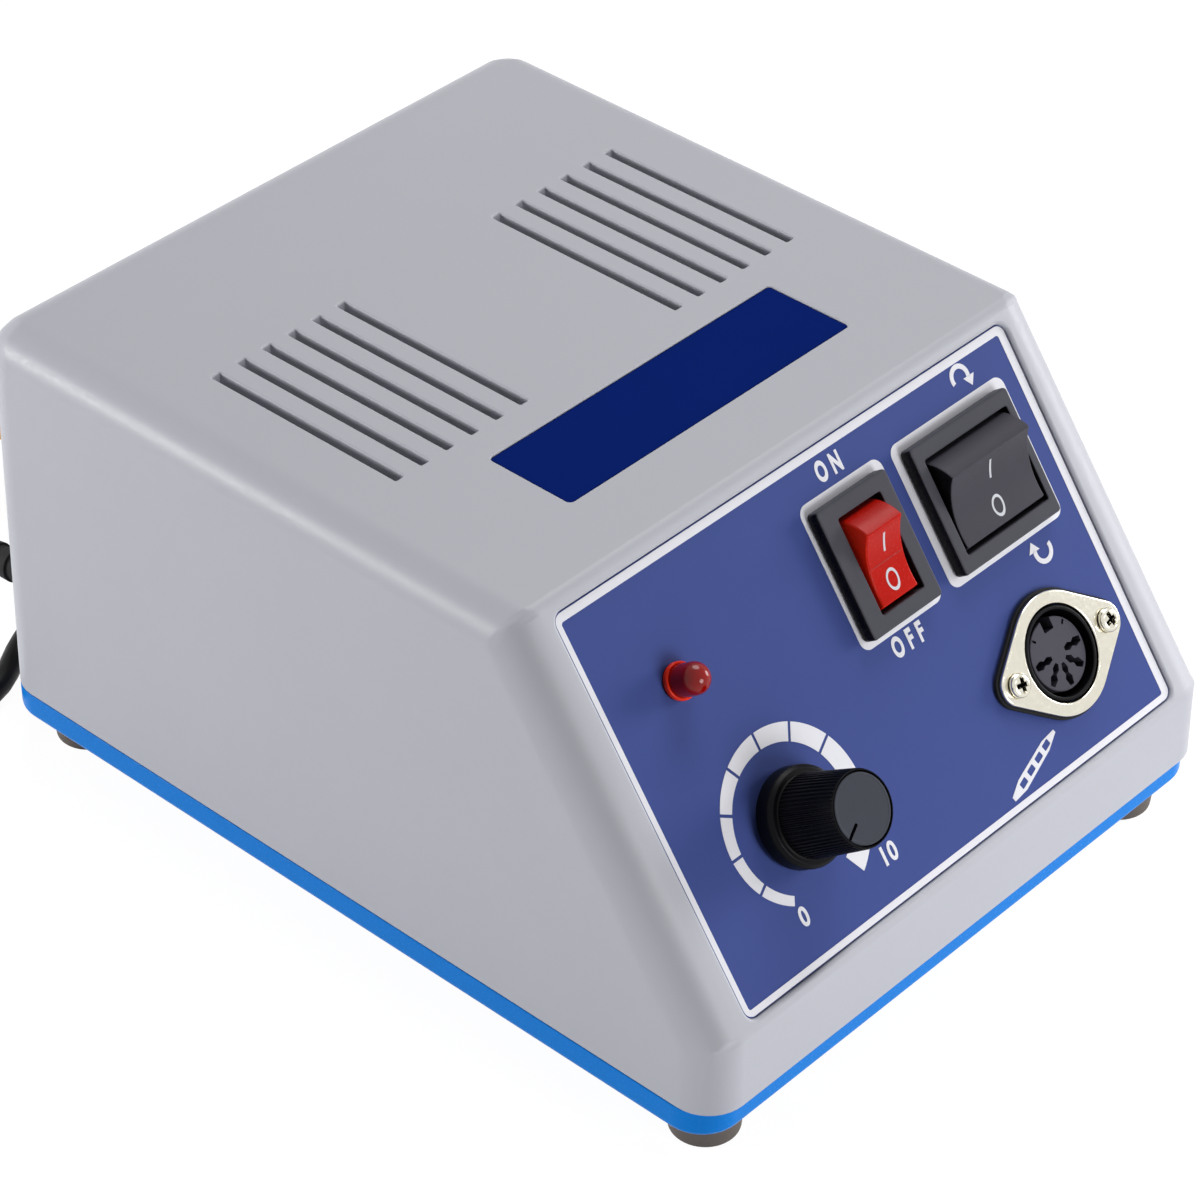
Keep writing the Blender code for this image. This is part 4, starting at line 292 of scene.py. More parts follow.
# Tinted epoxy of the lamp: deep red and very glossy; its rim is painted a bright orange red, a painted glow of light
# from within
LAMP_EPOXY = Finish("tinted_lamp_epoxy", "#8E0803", 0.12, ior=1.54, grain=Grain.POLISHED, depth_um=2, mottle=0.05,
                    patch_mm=2, spread=0.02, specular=0.25)
LAMP_RIM_PAINTED_GLOW = replace(LAMP_EPOXY, name="painted_glow_lamp_rim", colour="#F0301A", roughness=0.2, spread=0.06,
                   subsurface=0.4, specular=0.1)
# Phenolic of knob and shell: a deep black, barely glossy
KNOB_BLACK = Finish("moulded_black_phenolic", "#08090C", 0.36, ior=1.6, grain_mm=0.4, depth_um=8, mottle=0.08,
                    specular=0.06)
# Painted and moulded greys of the cap and the contact block: satin, next to no gloss
CAP_GREY = Finish("satin_grey_cap", "#44464E", 0.4, grain_mm=0.35, depth_um=6, mottle=0.03, specular=0.03)
INSERT_GREY = Finish("moulded_grey_insert", "#403E48", 0.45, grain_mm=0.4, mottle=0.05, specular=0.15)
# Black fill of engraved lines, and painted shade as a flat black cross in the screw recesses: no gloss at all
LINE_FILL_AND_SHADE_BLACK = Finish("line_fill_and_painted_shade", "#030304", 0.6, grain_mm=0.4, depth_um=4, mottle=0.05, specular=0.0)
# Nickel on steel: warm white metal with soft plating waves
NICKEL = Finish("bright_nickel_plate", "#DBD7C9", 0.18, metallic=1.0, grain=Grain.POLISHED, depth_um=5,
                mottle=0.03, patch_mm=4)
# Zinc-plated steel: pale and a little cloudy
STEEL = Finish("zinc_plated_steel", "#B9BABC", 0.34, metallic=1.0, depth_um=6, mottle=0.08)
# Stamped, drawn, extruded and stacked metals: fine lines along one way
BRASS = Finish("stamped_brass", "#C9A65C", 0.28, metallic=1.0, grain=Grain.BRUSHED, grain_mm=0.4, depth_um=6,
               mottle=0.08)
COPPER = Finish("enamelled_copper_wire", "#B5693A", 0.34, metallic=1.0, grain=Grain.BRUSHED, depth_um=60,
                mottle=0.12)
ALUMINIUM = Finish("extruded_aluminium", "#B6B8BA", 0.38, metallic=1.0, grain=Grain.BRUSHED, grain_mm=0.4,
                   depth_um=8, mottle=0.06)
CORE_STEEL = Finish("stacked_core_steel", "#6E7074", 0.5, metallic=1.0, grain=Grain.BRUSHED, grain_mm=0.6,
                    depth_um=40, mottle=0.15)
# Lacquered board, moulded polyamide and shrunk film: plain colours, from semi-gloss to glossy
BOARD_GREEN = Finish("solder_mask", "#1F5A34", 0.35, grain_mm=0.8, mottle=0.15, patch_mm=4)
TERMINAL_GREEN = Finish("moulded_green_polyamide", "#2F8048", 0.42, mottle=0.06)
SLEEVE_BLUE = Finish("shrunk_sleeve", "#1C2C5E", 0.28, grain=Grain.POLISHED, mottle=0.06)
# Drawn glass tube: clear and smooth
GLASS = Finish("fuse_glass", "#DCE8E6", 0.06, grain=Grain.POLISHED, depth_um=2, mottle=0.02, transmission=0.9,
               spread=0.02)
# Extruded soft PVC of cord and harnesses: black with a waxy sheen
PVC_BLACK = Finish("extruded_black_pvc", "#141415", 0.42, ior=1.53, grain_mm=0.8, depth_um=20, mottle=0.1,
                   patch_mm=10, specular=0.12)


def polar(radius: float, angle: float, middle: Sequence[float] = (0, 0)) -> Point:
    """Return the point at radius and angle about middle."""
    return middle[0] + radius * cos(angle), middle[1] + radius * sin(angle)


def arc(radius: float, start: float, end: float, steps: int, middle: Point = (0, 0)) -> list[Point]:
    """Return points along an arc about middle, angles in radians."""
    return [polar(radius, start + (end - start) * i / steps, middle) for i in range(steps + 1)]


def eased(share: float) -> float:
    """Return a share from 0 to 1 that starts and ends gently."""
    return share * share * (3 - 2 * share)


def rectangle(width: float, length: float, radius: float, middle: Point = (0, 0), steps: int = 8) -> Outline:
    """Outline of a round-cornered rectangle.

    Args:
        width: Size along X.
        length: Size along Y.
        radius: Corner radius.
        middle: Middle point.
        steps: Steps of each corner.

    Returns:
        A function from an inset to the outline's points, anticlockwise.
    """
    def outline(inset: float) -> list[Point]:
        """Return the outline drawn in by inset."""
        corner = max(radius - inset, radius * 0.02)
        points = []
        for quarter, (sx, sy) in enumerate(((1, 1), (-1, 1), (-1, -1), (1, -1))):
            centre = (middle[0] + sx * (width / 2 - inset - corner), middle[1] + sy * (length / 2 - inset - corner))
            points += arc(corner, quarter * pi / 2, (quarter + 1) * pi / 2, steps, centre)
        return points
    return outline


def disc(radius: float, sides: int = 48, middle: Point = (0, 0)) -> Outline:
    """Return a circle's outline as a function of its inset."""
    def outline(inset: float) -> list[Point]:
        """Return the circle drawn in by inset."""
        return arc(max(radius - inset, radius * 0.02), 0, 2 * pi * (1 - 1 / sides), sides - 1, middle)
    return outline


def polygon(points: Sequence[Point]) -> Outline:
    """Return a fixed outline whose inset draws each point towards the middle."""
    middle = Vector((sum(p[0] for p in points) / len(points), sum(p[1] for p in points) / len(points)))
    reach = max((Vector(p) - middle).length for p in points)

    def outline(inset: float) -> list[Point]:
        """Return the outline drawn in by inset."""
        return [tuple(middle + (Vector(p) - middle) * (1 - inset / reach)) for p in points]
    return outline


def new_mesh(bm: BMesh, place: Matrix = Matrix()) -> Mesh:
    """Turn a bmesh to a mesh with welded points and faces outwards, moved by place."""
    bmesh.ops.remove_doubles(bm, verts=bm.verts, dist=WELD)
    bmesh.ops.dissolve_degenerate(bm, edges=bm.edges, dist=WELD)
    bmesh.ops.recalc_face_normals(bm, faces=bm.faces)
    mesh = bpy.data.meshes.new("form")
    bm.to_mesh(mesh)
    bm.free()
    mesh.transform(place)
    return mesh


def loft(rings: Sequence[Sequence[Sequence[float]]], wrap: bool = False) -> BMesh:
    """Skin over closed rings, a ring of one point being a pole.

    Args:
        rings: Rings of as many points each, or of one.
        wrap: Join the last ring to the first instead of closing both ends.

    Returns:
        The closed form.
    """
    bm = bmesh.new()
    rows = [[bm.verts.new(p) for p in ring] for ring in rings]
    pairs = list(zip(rows, rows[1:])) + ([(rows[-1], rows[0])] if wrap else [])
    for first, second in pairs:
        count = max(len(first), len(second))
        for i in range(count):
            j = (i + 1) % count
            corners = [first[i % len(first)], first[j % len(first)], second[j % len(second)], second[i % len(second)]]
            face = list(dict.fromkeys(corners))
            if len(face) > 2:
                bm.faces.new(face)
    if not wrap:
        for row in (rows[0], rows[-1]):
            if len(row) > 2:
                bm.faces.new(row)
    return bm


def turned(profile: Sequence[Sequence[float]], sides: int = 48, place: Matrix = Matrix(), wrap: bool = False) -> Mesh:
    """Turn a profile about Z.

    Args:
        profile: Points (radius, height) or corners (radius, height, round), from the axis round to the axis.
        sides: Steps round the axis.
        place: Where the form goes.
        wrap: Close the profile on itself, for a form with a bore.

    Returns:
        The turned mesh.
    """
    if len(profile[0]) > 2:
        profile = softened(profile, closed=wrap)
    rings = [[(0, 0, height)] if radius < WELD else [(x, y, height) for x, y in disc(radius, sides)(0)]
             for radius, height in profile]
    return new_mesh(loft(rings, wrap), place)


def softened(corners: Sequence[tuple[float, float, float]], steps: int = 4, closed: bool = False) -> list[Point]:
    """Round a polyline's corners.

    Args:
        corners: (x, y, radius of the corner).
        steps: Steps of each round.
        closed: Whether the last point joins the first.

    Returns:
        The polyline with its rounds.
    """
    points: list[Point] = []
    count = len(corners)
    for index, (x, y, radius) in enumerate(corners):
        if radius <= 0 or (not closed and index in (0, count - 1)):
            points.append((x, y))
            continue
        here = Vector((x, y))
        back = (Vector(corners[index - 1][:2]) - here).normalized()
        ahead = (Vector(corners[(index + 1) % count][:2]) - here).normalized()
        half = back.angle(ahead) / 2
        centre = here + (back + ahead).normalized() * (radius / sin(half))
        start = here + back * (radius / tan(half)) - centre
        end = here + ahead * (radius / tan(half)) - centre
        sweep = atan2(start.x * end.y - start.y * end.x, start.dot(end))
        for step in range(steps + 1):
            turn = sweep * step / steps
            points.append((centre.x + start.x * cos(turn) - start.y * sin(turn),
                           centre.y + start.x * sin(turn) + start.y * cos(turn)))
    return points


def slab(outline: Outline, low: float, high: float, top_round: float = 0.0, low_round: float = 0.0,
         place: Matrix = Matrix(), steps: int = 4) -> Mesh:
    """Flat plate with rounded edges; a negative round flares, as a cutter that leaves a rounded edge.

    Args:
        outline: Plan as a function of the inset.
        low: Lower face.
        high: Upper face.
        top_round: Round of the upper edge.
        low_round: Round of the lower edge.
        place: Where the form goes.
        steps: Steps of each round.

    Returns:
        The plate.
    """
    turns = [pi / 2 * i / steps for i in range(steps + 1)]
    levels = [(low_round * (1 - sin(a)), low + abs(low_round) * (1 - cos(a))) for a in turns]
    if not low_round:
        levels = [(0.0, low)]
    if top_round:
        levels += [(top_round * (1 - cos(a)), high - abs(top_round) * (1 - sin(a))) for a in turns]
    else:
        levels.append((0.0, high))
    if top_round < 0:
        levels.append((top_round, high + OVERRUN))
    return new_mesh(loft([[(x, y, z) for x, y in outline(inset)] for inset, z in levels]), place)


def box(size: Sequence[float], middle: Sequence[float], edge: float = 0.0002) -> Mesh:
    """Return a box about a middle point, its edges rounded by edge."""
    width, length, height = size
    x, y, z = middle
    return slab(rectangle(width, length, edge * 1.5, (x, y), 3), z - height / 2, z + height / 2, edge, edge, steps=2)


def placed(name: str, data: bpy.types.ID) -> Object:
    """Return a new object of the scene that holds data."""
    made = bpy.data.objects.new(name, data)
    bpy.context.scene.collection.objects.link(made)
    return made


def settled(carrier: Object) -> Mesh:
    """Return what an object comes out as, a plain mesh, and take the object away."""
    graph = bpy.context.evaluated_depsgraph_get()
    result = bpy.data.meshes.new_from_object(carrier.evaluated_get(graph), depsgraph=graph)
    bpy.data.objects.remove(carrier)
    return result


def modified(mesh: Mesh, steps: Iterable[tuple[str, dict]]) -> Mesh:
    """Return mesh after modifiers, each given as its kind and its settings."""
    carrier = placed("carrier", mesh)
    for kind, settings in steps:
        step = carrier.modifiers.new("step", kind)
        for key, value in settings.items():
            setattr(step, key, value)
    return settled(carrier)


def fused(mesh: Mesh, others: Iterable[Mesh], operation: str = "UNION") -> Mesh:
    """Join or cut meshes exactly.

    Args:
        mesh: What is worked on.
        others: What is joined to it, cut from it or met with it.
        operation: UNION, DIFFERENCE or INTERSECT.

    Returns:
        The result as a plain mesh.
    """
    carriers = [placed("other", other) for other in others]
    result = modified(mesh, [("BOOLEAN", {"solver": "EXACT", "operation": operation, "object": carrier})
                             for carrier in carriers])
    for carrier in carriers:
        bpy.data.objects.remove(carrier)
    return result


def cut(mesh: Mesh, others: Iterable[Mesh]) -> Mesh:
    """Return mesh with others cut out of it."""
    return fused(mesh, others, "DIFFERENCE")


def merged(meshes: Iterable[Mesh]) -> Mesh:
    """Return separate meshes as one mesh."""
    bm = bmesh.new()
    for mesh in meshes:
        bm.from_mesh(mesh)
    made = bpy.data.meshes.new("form")
    bm.to_mesh(made)
    bm.free()
    return made


def rib(width: float, stations: Iterable[tuple[float, float, float]], steps: int) -> Mesh:
    """Return one rib of a grip, half round and standing along Z.

    Args:
        width: Half the rib's width, and its height over the grip.
        stations: (height, radius of the grip, how much of the rib stands there).
        steps: Steps over its round.

    Returns:
        The rib, to be repeated round the axis.
    """
    rings = []
    for z, radius, scale in stations:
        rings.append([(radius - width, -width, z), (radius - width, width, z)]
                     + [(radius + width * scale * sin(a), width * cos(a), z)
                        for a in (pi * i / steps for i in range(steps + 1))])
    return new_mesh(loft(rings))


def add_piece(name: str, mesh: Mesh, finish: Finish, replaces: Sequence[str] = (),
              place: Matrix = Matrix(), body: Body = Body.CASE, sharp: float = SHARP,
              flank: Finish | None = None) -> Object:
    """Put a finished mesh in the scene and tie it to the frame.

    Args:
        name: Piece name.
        mesh: Its mesh, in the frame that place gives.
        finish: Its finish.
        replaces: CAD nodes that it stands for.
        place: From the mesh's own frame to the world.
        body: The body that it rides on.
        sharp: Degrees past which an edge stays sharp.
        flank: Finish of the walls that face sideways, where it isn't the same: a painted shade or a painted glow.

    Returns:
        The piece.
    """
    mesh.transform(place)
    mesh.materials.clear()
    for one in (finish, flank):
        if one:
            mesh.materials.append(one.material())
    # Faces that lean sideways take the flank finish, a painted shade or painted glow
    for face in mesh.polygons:
        face.material_index = int(flank is not None and abs(face.normal.x) > FLANK_LIMIT)
    mesh.shade_smooth()
    mesh.set_sharp_from_angle(angle=radians(sharp))
    made = placed(name, modified(mesh, [("WEIGHTED_NORMAL", {"keep_sharp": True})]))
    made.data.name = name
    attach(made, body.value)
    if replaces:
        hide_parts(*replaces)
    LOG.info("%s: %d faces, rides on %s", name, len(made.data.polygons), body.value)
    return made


class Repeater:
    """A Geometry Nodes tree that repeats a mesh in rows about the middle, each copy turned a step further about Z."""

    SIZES = (("Count X", "Int"), ("Count Y", "Int"), ("Pitch X", "Float"), ("Pitch Y", "Float"), ("Step", "Float"))

    def __init__(self) -> None:
        """Build the tree with the named sizes and a material as its inputs."""
        tree = self.tree = bpy.data.node_groups.new("rows_and_rings_of_copies", "GeometryNodeTree")
        for name, kind in (("Geometry", "Geometry"), *self.SIZES, ("Material", "Material")):
            tree.interface.new_socket(name, in_out="INPUT", socket_type=f"NodeSocket{kind}")
        tree.interface.new_socket("Geometry", in_out="OUTPUT", socket_type="NodeSocketGeometry")
        entry = add_node(tree, "NodeGroupInput").outputs
        index = add_node(tree, "GeometryNodeInputIndex").outputs[0]
        column = self.maths("MODULO", index, entry["Count X"])
        row = self.maths("FLOOR", self.maths("DIVIDE", index, entry["Count X"]), 0.0)
        x, y = (self.maths("MULTIPLY", self.maths("SUBTRACT", along, self.middle(entry[f"Count {axis}"])),
                           entry[f"Pitch {axis}"]) for along, axis in ((column, "X"), (row, "Y")))
        place = add_node(tree, "ShaderNodeCombineXYZ", {"X": x, "Y": y}).outputs[0]
        turn = add_node(tree, "ShaderNodeCombineXYZ", {"Z": self.maths("MULTIPLY", index, entry["Step"])}).outputs[0]
        total = self.maths("MULTIPLY", entry["Count X"], entry["Count Y"])
        points = add_node(tree, "GeometryNodePoints", {"Count": total, "Position": place}).outputs[0]
        copies = add_node(tree, "GeometryNodeInstanceOnPoints",
                          {"Points": points, "Instance": entry["Geometry"], "Rotation": turn}).outputs[0]
        real = add_node(tree, "GeometryNodeRealizeInstances", {"Geometry": copies}).outputs[0]
        painted = add_node(tree, "GeometryNodeSetMaterial", {"Geometry": real, "Material": entry["Material"]})
        add_node(tree, "NodeGroupOutput", {"Geometry": painted.outputs[0]})

    def maths(self, operation: str, first: NodeSocket, second: NodeSocket | float) -> NodeSocket:
        """Return the result of a Math node on a socket and a socket or number."""
        plain = not isinstance(second, NodeSocket)
        return add_node(self.tree, "ShaderNodeMath", {0: first} if plain else {0: first, 1: second},
                        {1: second} if plain else {}, operation=operation).outputs[0]

    def middle(self, count: NodeSocket) -> NodeSocket:
        """Return the middle index of count copies."""
        return self.maths("DIVIDE", self.maths("SUBTRACT", count, 1.0), 2.0)

    def rows(self, mesh: Mesh, finish: Finish, counts: tuple[int, int], pitches: tuple[float, float],
             step: float = 0.0) -> Mesh:
        """Return copies of mesh in counts columns and rows at the given pitches, each turned by step more."""
        carrier = placed("carrier", mesh)
        copies = carrier.modifiers.new("copies", "NODES")
        copies.node_group = self.tree
        for (name, _), value in zip((*self.SIZES, ("Material", "")), (*counts, *pitches, step, finish.material())):
            copies[self.tree.interface.items_tree[name].identifier] = value
        return settled(carrier)

    def ring(self, mesh: Mesh, finish: Finish, count: int, step: float | None = None) -> Mesh:
        """Return count copies of mesh about Z, evenly round unless step is given."""
        return self.rows(mesh, finish, (count, 1), (0.0, 0.0), 2 * pi / count if step is None else step)


def cross_screw(radius: float, reach: float, head: float, height: float) -> Mesh:
    """Pan-headed screw with a cross recess, its head seated on zero.

    Args:
        radius: Shank radius.
        reach: Shank length.
        head: Head radius.
        height: Head height.

    Returns:
        The screw.
    """
    profile = [(0, height)] + softened([(0, height, 0), (head, height, height * 0.75), (head, 0, head * 0.05),
                                        (radius, 0, 0)])[1:]
    threads = 6
    pitch = reach * 0.8 / threads
    root = radius * 0.86
    for index in range(threads):
        top = -reach * 0.1 - index * pitch
        profile += [(root, top), (radius, top - pitch / 2), (root, top - pitch)]
    profile += [(radius * 0.4, -reach), (0, -reach)]
    arm = head * 0.62
    levels = ((arm * 0.6, head * 0.13, height * 0.2), (arm * 1.1, head * 0.2, height * 1.02),
              (arm, head * 0.15, height + OVERRUN / 4))
    rings = [[(x, y, z) for x, y in rectangle(2 * wide, 2 * thin, thin * 0.4, steps=3)(0)]
             for wide, thin, z in levels]
    return cut(turned(profile, 32), [new_mesh(loft(rings), rotated(spin, "Z")) for spin in (0, pi / 2)])


def hex_nut(half_flats: float, bore: float, low: float, high: float) -> Mesh:
    """Return a hexagon nut whose corners are turned off by a cone, as real ones are."""
    reach = half_flats / cos(pi / 6)
    blank = slab(polygon(arc(reach, 0, 2 * pi * 5 / 6, 5)), low, high)
    edge = (reach - half_flats) * 0.5
    cone = turned([(0, low - OVERRUN), (half_flats, low - OVERRUN), (half_flats, low), (reach + edge, low + edge),
                   (reach + edge, high - edge), (half_flats, high), (half_flats, high + OVERRUN),
                   (0, high + OVERRUN)], 64)
    hole = slab(disc(bore, 48), low - OVERRUN, high, -0.0003)
    return cut(fused(blank, [cone], "INTERSECT"), [hole])


@dataclass
class CoverShell:
    """Moulded cover with its sloped panel, recesses, slots and holes."""

    top_round: float = 0.0058
    top_crease_round: float = 0.0012
    front_crease_round: float = 0.0008
    inner_round: float = 0.0006
    round_steps: int = 9
    edge_round: float = 0.00025
    slots_per_group: int = 6
    slot_width: float = 0.0017
    slot_pitch: float = 0.0053
    slot_length: float = 0.039
    slot_first_x: float = 0.0174
    slot_middle_y: float = 0.0193
    panel_recess: float = 0.0014
    label_fit: float = 0.00015
    panel_flare: float = 0.0006
    slot_flare: float = 0.0004
    column_radius: float = 0.004
    pilot_radius: float = 0.0018
    pilot_depth: float = 0.013
    back_holes: tuple = ((0.0063, 0.036, 0.0325), (0.0048, 0.02725, 0.0125), (0.0036, -0.042, 0.0063))

    def form(self, inset: float, bottom: float, rounds: Sequence[float]) -> Mesh:
        """Return the wedge-nosed case drawn in by inset, its edges rounded (corner, top and the two creases)."""
        corner, top, top_crease, front_crease = rounds
        bm = bmesh.new()
        bmesh.ops.create_cube(bm, size=1)
        height = COVER_TOP - inset - bottom
        bmesh.ops.scale(bm, vec=(CASE_WIDTH - 2 * inset, CASE_DEPTH - 2 * inset, height), verts=bm.verts)
        bmesh.ops.translate(bm, vec=(0, 0, bottom + height / 2), verts=bm.verts)
        lean = tan(DRAFT_ANGLE)
        for vert in bm.verts:
            rise = vert.co.z - COVER_BOTTOM
            vert.co.x -= copysign(rise * lean, vert.co.x)
            vert.co.y -= copysign(rise * lean, vert.co.y)
        normal = Vector((0, -sin(SLOPE_ANGLE), cos(SLOPE_ANGLE)))
        on_slope = Vector((0, CREASE_Y, CREASE_Z)) - normal * inset
        geometry = bm.verts[:] + bm.edges[:] + bm.faces[:]
        sliced = bmesh.ops.bisect_plane(bm, geom=geometry, plane_co=on_slope, plane_no=normal, clear_outer=True)
        rim = [item for item in sliced["geom_cut"] if isinstance(item, BMEdge)]
        bmesh.ops.contextual_create(bm, geom=rim)
        edge_weight = bm.edges.layers.float.new("bevel_weight_edge")
        widest = max(rounds)
        for edge in bm.edges:
            a, b = (vert.co for vert in edge.verts)
            middle = (a + b) / 2
            if max(a.z, b.z) < bottom + inset + GAP:
                size = 0.0
            elif abs(a.x - b.x) <= CASE_WIDTH / 2:
                size = top if min(a.z, b.z) > CREASE_Z and abs(a.z - b.z) < GAP else corner
            elif middle.y > 0:
                size = top
            else:
                size = top_crease if middle.z > (COVER_TOP + CREASE_Z) / 2 else front_crease
            edge[edge_weight] = size / widest
        return modified(new_mesh(bm), [("BEVEL", {"width": widest, "segments": self.round_steps,
                                                  "limit_method": "WEIGHT"})])

    def cavity(self) -> Mesh:
        """Return the room inside, less the four columns and their webs."""
        rounds = (CORNER_ROUND - COVER_WALL, self.top_round - COVER_WALL, self.inner_round, self.inner_round)
        low = COVER_BOTTOM - 2 * OVERRUN
        web = COLUMN_INSET + COVER_WALL
        posts = []
        for sx, sy in CORNERS:
            place = at(sx * COLUMN_X, sy * COLUMN_Y)
            rib_plan = rectangle(web, self.column_radius / 2, self.edge_round, (sx * web / 2, 0))
            posts += [slab(disc(self.column_radius, 32), low, COVER_TOP, place=place),
                      slab(rib_plan, low, COVER_TOP, place=place)]
        return cut(self.form(COVER_WALL, COVER_BOTTOM - OVERRUN, rounds), posts)

    def slot_cutters(self, repeater: Repeater) -> list[Mesh]:
        """Return both groups of vent slots as cutters whose flare rounds the slots' edges."""
        middle = self.slot_first_x + self.slot_pitch * (self.slots_per_group - 1) / 2
        groups = []
        for side in (-1, 1):
            one = slab(rectangle(self.slot_width, self.slot_length, self.slot_width * 0.12, steps=3),
                       COVER_TOP - COVER_WALL - OVERRUN, COVER_TOP, -self.slot_flare)
            group = repeater.rows(one, COVER_ABS, (self.slots_per_group, 1), (self.slot_pitch, 0.0))
            group.transform(at(side * middle, self.slot_middle_y))
            groups.append(group)
        return groups

    def label_plan(self, label: Point, corner: float, middle: Point) -> Outline:
        """Return the plan of a label's recess."""
        return rectangle(label[0] + 2 * self.label_fit, label[1] + 2 * self.label_fit, corner, middle)

    def panel_cutters(self) -> list[Mesh]:
        """Return the panel recess and every opening through the panel."""
        recess = self.label_plan(PANEL_LABEL, 0.002, PANEL_LABEL_MIDDLE)
        return [slab(recess, -self.panel_recess, 0, -self.panel_flare, place=PANEL_LOCAL)] + [
            slab(outline, -COVER_WALL - OVERRUN, OVERRUN / 2, place=PANEL_LOCAL) for outline in panel_openings()]

    def build(self, repeater: Repeater) -> None:
        """Make the cover and put it in place of the frame's."""
        rounds = (CORNER_ROUND, self.top_round, self.top_crease_round, self.front_crease_round)
        shell = cut(self.form(0, COVER_BOTTOM, rounds), [self.cavity()])
        cutters = self.panel_cutters() + self.slot_cutters(repeater)
        cutters.append(slab(self.label_plan(TOP_LABEL, 0.0009, TOP_LABEL_MIDDLE), COVER_TOP - TOP_RECESS, COVER_TOP,
                            -self.edge_round))
        for radius, x, rise in self.back_holes:
            cutters.append(slab(disc(radius, 40), -COVER_WALL - OVERRUN, OVERRUN, place=BACK_LOCAL @ at(x, -rise)))
        for sx, sy in CORNERS:
            cutters.append(slab(disc(self.pilot_radius, 24), COVER_BOTTOM - OVERRUN,
                                COVER_BOTTOM + self.pilot_depth, place=at(sx * COLUMN_X, sy * COLUMN_Y)))
        add_piece("cover_shell", cut(shell, cutters), COVER_ABS, ["top_cover"], CASE_FRAME,
                  sharp=CASE_SHARP)


def panel_openings() -> list[Outline]:
    """Return the outlines of what passes through the panel, in panel coordinates."""
    switches = [rectangle(width, 0.0194, 0.0006, (x, SWITCH_Y)) for width, x in ((0.0134, POWER_X),
                                                                                 (0.0227, DIRECTION_X))]
    ears = [disc(0.0013, 24, (SOCKET_AT[0] + side * EAR_SPACING / 2, SOCKET_AT[1])) for side in (-1, 1)]
    return switches + [disc(0.0028, 32, LAMP_AT), disc(0.0042, 40, KNOB_AT), disc(SOCKET_BORE, 64, SOCKET_AT)] + ears


@dataclass
class BaseTray:
    """Blue tray under the cover, its rubber feet and the screws in them."""

    front_setback: float = 0.0011
    floor: float = 0.002
    edge_round: float = 0.0012
    lip_height: float = 0.003
    lip_wall: float = 0.0014
    boss_radius: float = 0.004
    post_radius: float = 0.0032
    post_height: float = 0.006
    post_x: float = 0.04
    post_reach_y: float = 0.025
    post_middle_y: float = -0.033
    foot_radius: float = 0.0061
    toe_radius: float = 0.0055
    well_radius: float = 0.0034
    well_depth: float = 0.003
    bore: float = 0.0018

    def outline(self, inset: float) -> Outline:
        """Return the tray's plan drawn in by inset."""
        return rectangle(CASE_WIDTH - 2 * inset, CASE_DEPTH - self.front_setback - 2 * inset, CORNER_ROUND - inset,
                         (0, self.front_setback / 2), 10)

    def build(self, repeater: Repeater) -> None:
        """Make the tray, the feet and their screws."""
        low = FOOT_HEIGHT
        top = low + TRAY_BAND
        lip = COVER_WALL + FIT
        over = top + self.lip_height + OVERRUN
        band = slab(self.outline(0), low, top, 0.0002, self.edge_round, steps=5)
        tray = fused(band, [slab(self.outline(lip), top - self.floor, top + self.lip_height, 0.0003)])
        tray = cut(tray, [slab(self.outline(lip + self.lip_wall), low + self.floor, over)])
        posts = []
        holes = []
        room = rectangle(2 * (self.boss_radius + FIT), 2 * (self.boss_radius + FIT), 0.0005)
        for sx, sy in CORNERS:
            place = at(sx * COLUMN_X, sy * COLUMN_Y)
            post = at(sx * self.post_x, self.post_middle_y + sy * self.post_reach_y)
            posts += [slab(disc(self.boss_radius, 32), low + self.floor / 2, top, 0.0003, place=place),
                      slab(disc(self.post_radius, 32), low + self.floor / 2, low + self.floor + self.post_height,
                           0.0003, place=post)]
            web = rectangle(COLUMN_INSET, self.boss_radius / 2 + 2 * FIT, 0.0002, (sx * COLUMN_INSET / 2, 0))
            holes += [slab(room, top + WELD, over, place=place),
                      slab(disc(self.bore, 24), 0, COVER_BOTTOM, place=place),
                      slab(web, top + WELD, over, place=place)]
        add_piece("base_tray_shell", cut(fused(tray, posts), holes), TRAY_ABS, ["base_tray"],
                  CASE_FRAME, sharp=CASE_SHARP)
        self.build_feet(repeater)

    def build_feet(self, repeater: Repeater) -> None:
        """Repeat one foot and one screw to the four corners."""
        top = FOOT_HEIGHT - GAP
        foot = turned([(self.foot_radius, top, 0.0003), (self.toe_radius, 0, 0.0006), (self.well_radius, 0, 0.0004),
                       (self.well_radius, self.well_depth, 0.0002), (self.bore, self.well_depth, 0.0001),
                       (self.bore, top, 0.0001)], wrap=True)
        seat = self.well_depth - GAP
        screw = cross_screw(0.0015, COVER_BOTTOM + 0.01 - seat, 0.0029, 0.0018)
        screw.transform(at(0, 0, seat) @ rotated(pi, "X"))
        for name, mesh, finish, slot, node in (("rubber_feet", foot, WORN_RUBBER, "rubber", "rubber_foot"),
                                               ("foot_screws", screw, STEEL, "steel", "case_screw")):
            copies = repeater.rows(mesh, finish, (2, 2), (2 * COLUMN_X, 2 * COLUMN_Y))
            add_piece(name, copies, finish, [f"{node}_{i}" for i in range(1, 5)], CASE_FRAME)


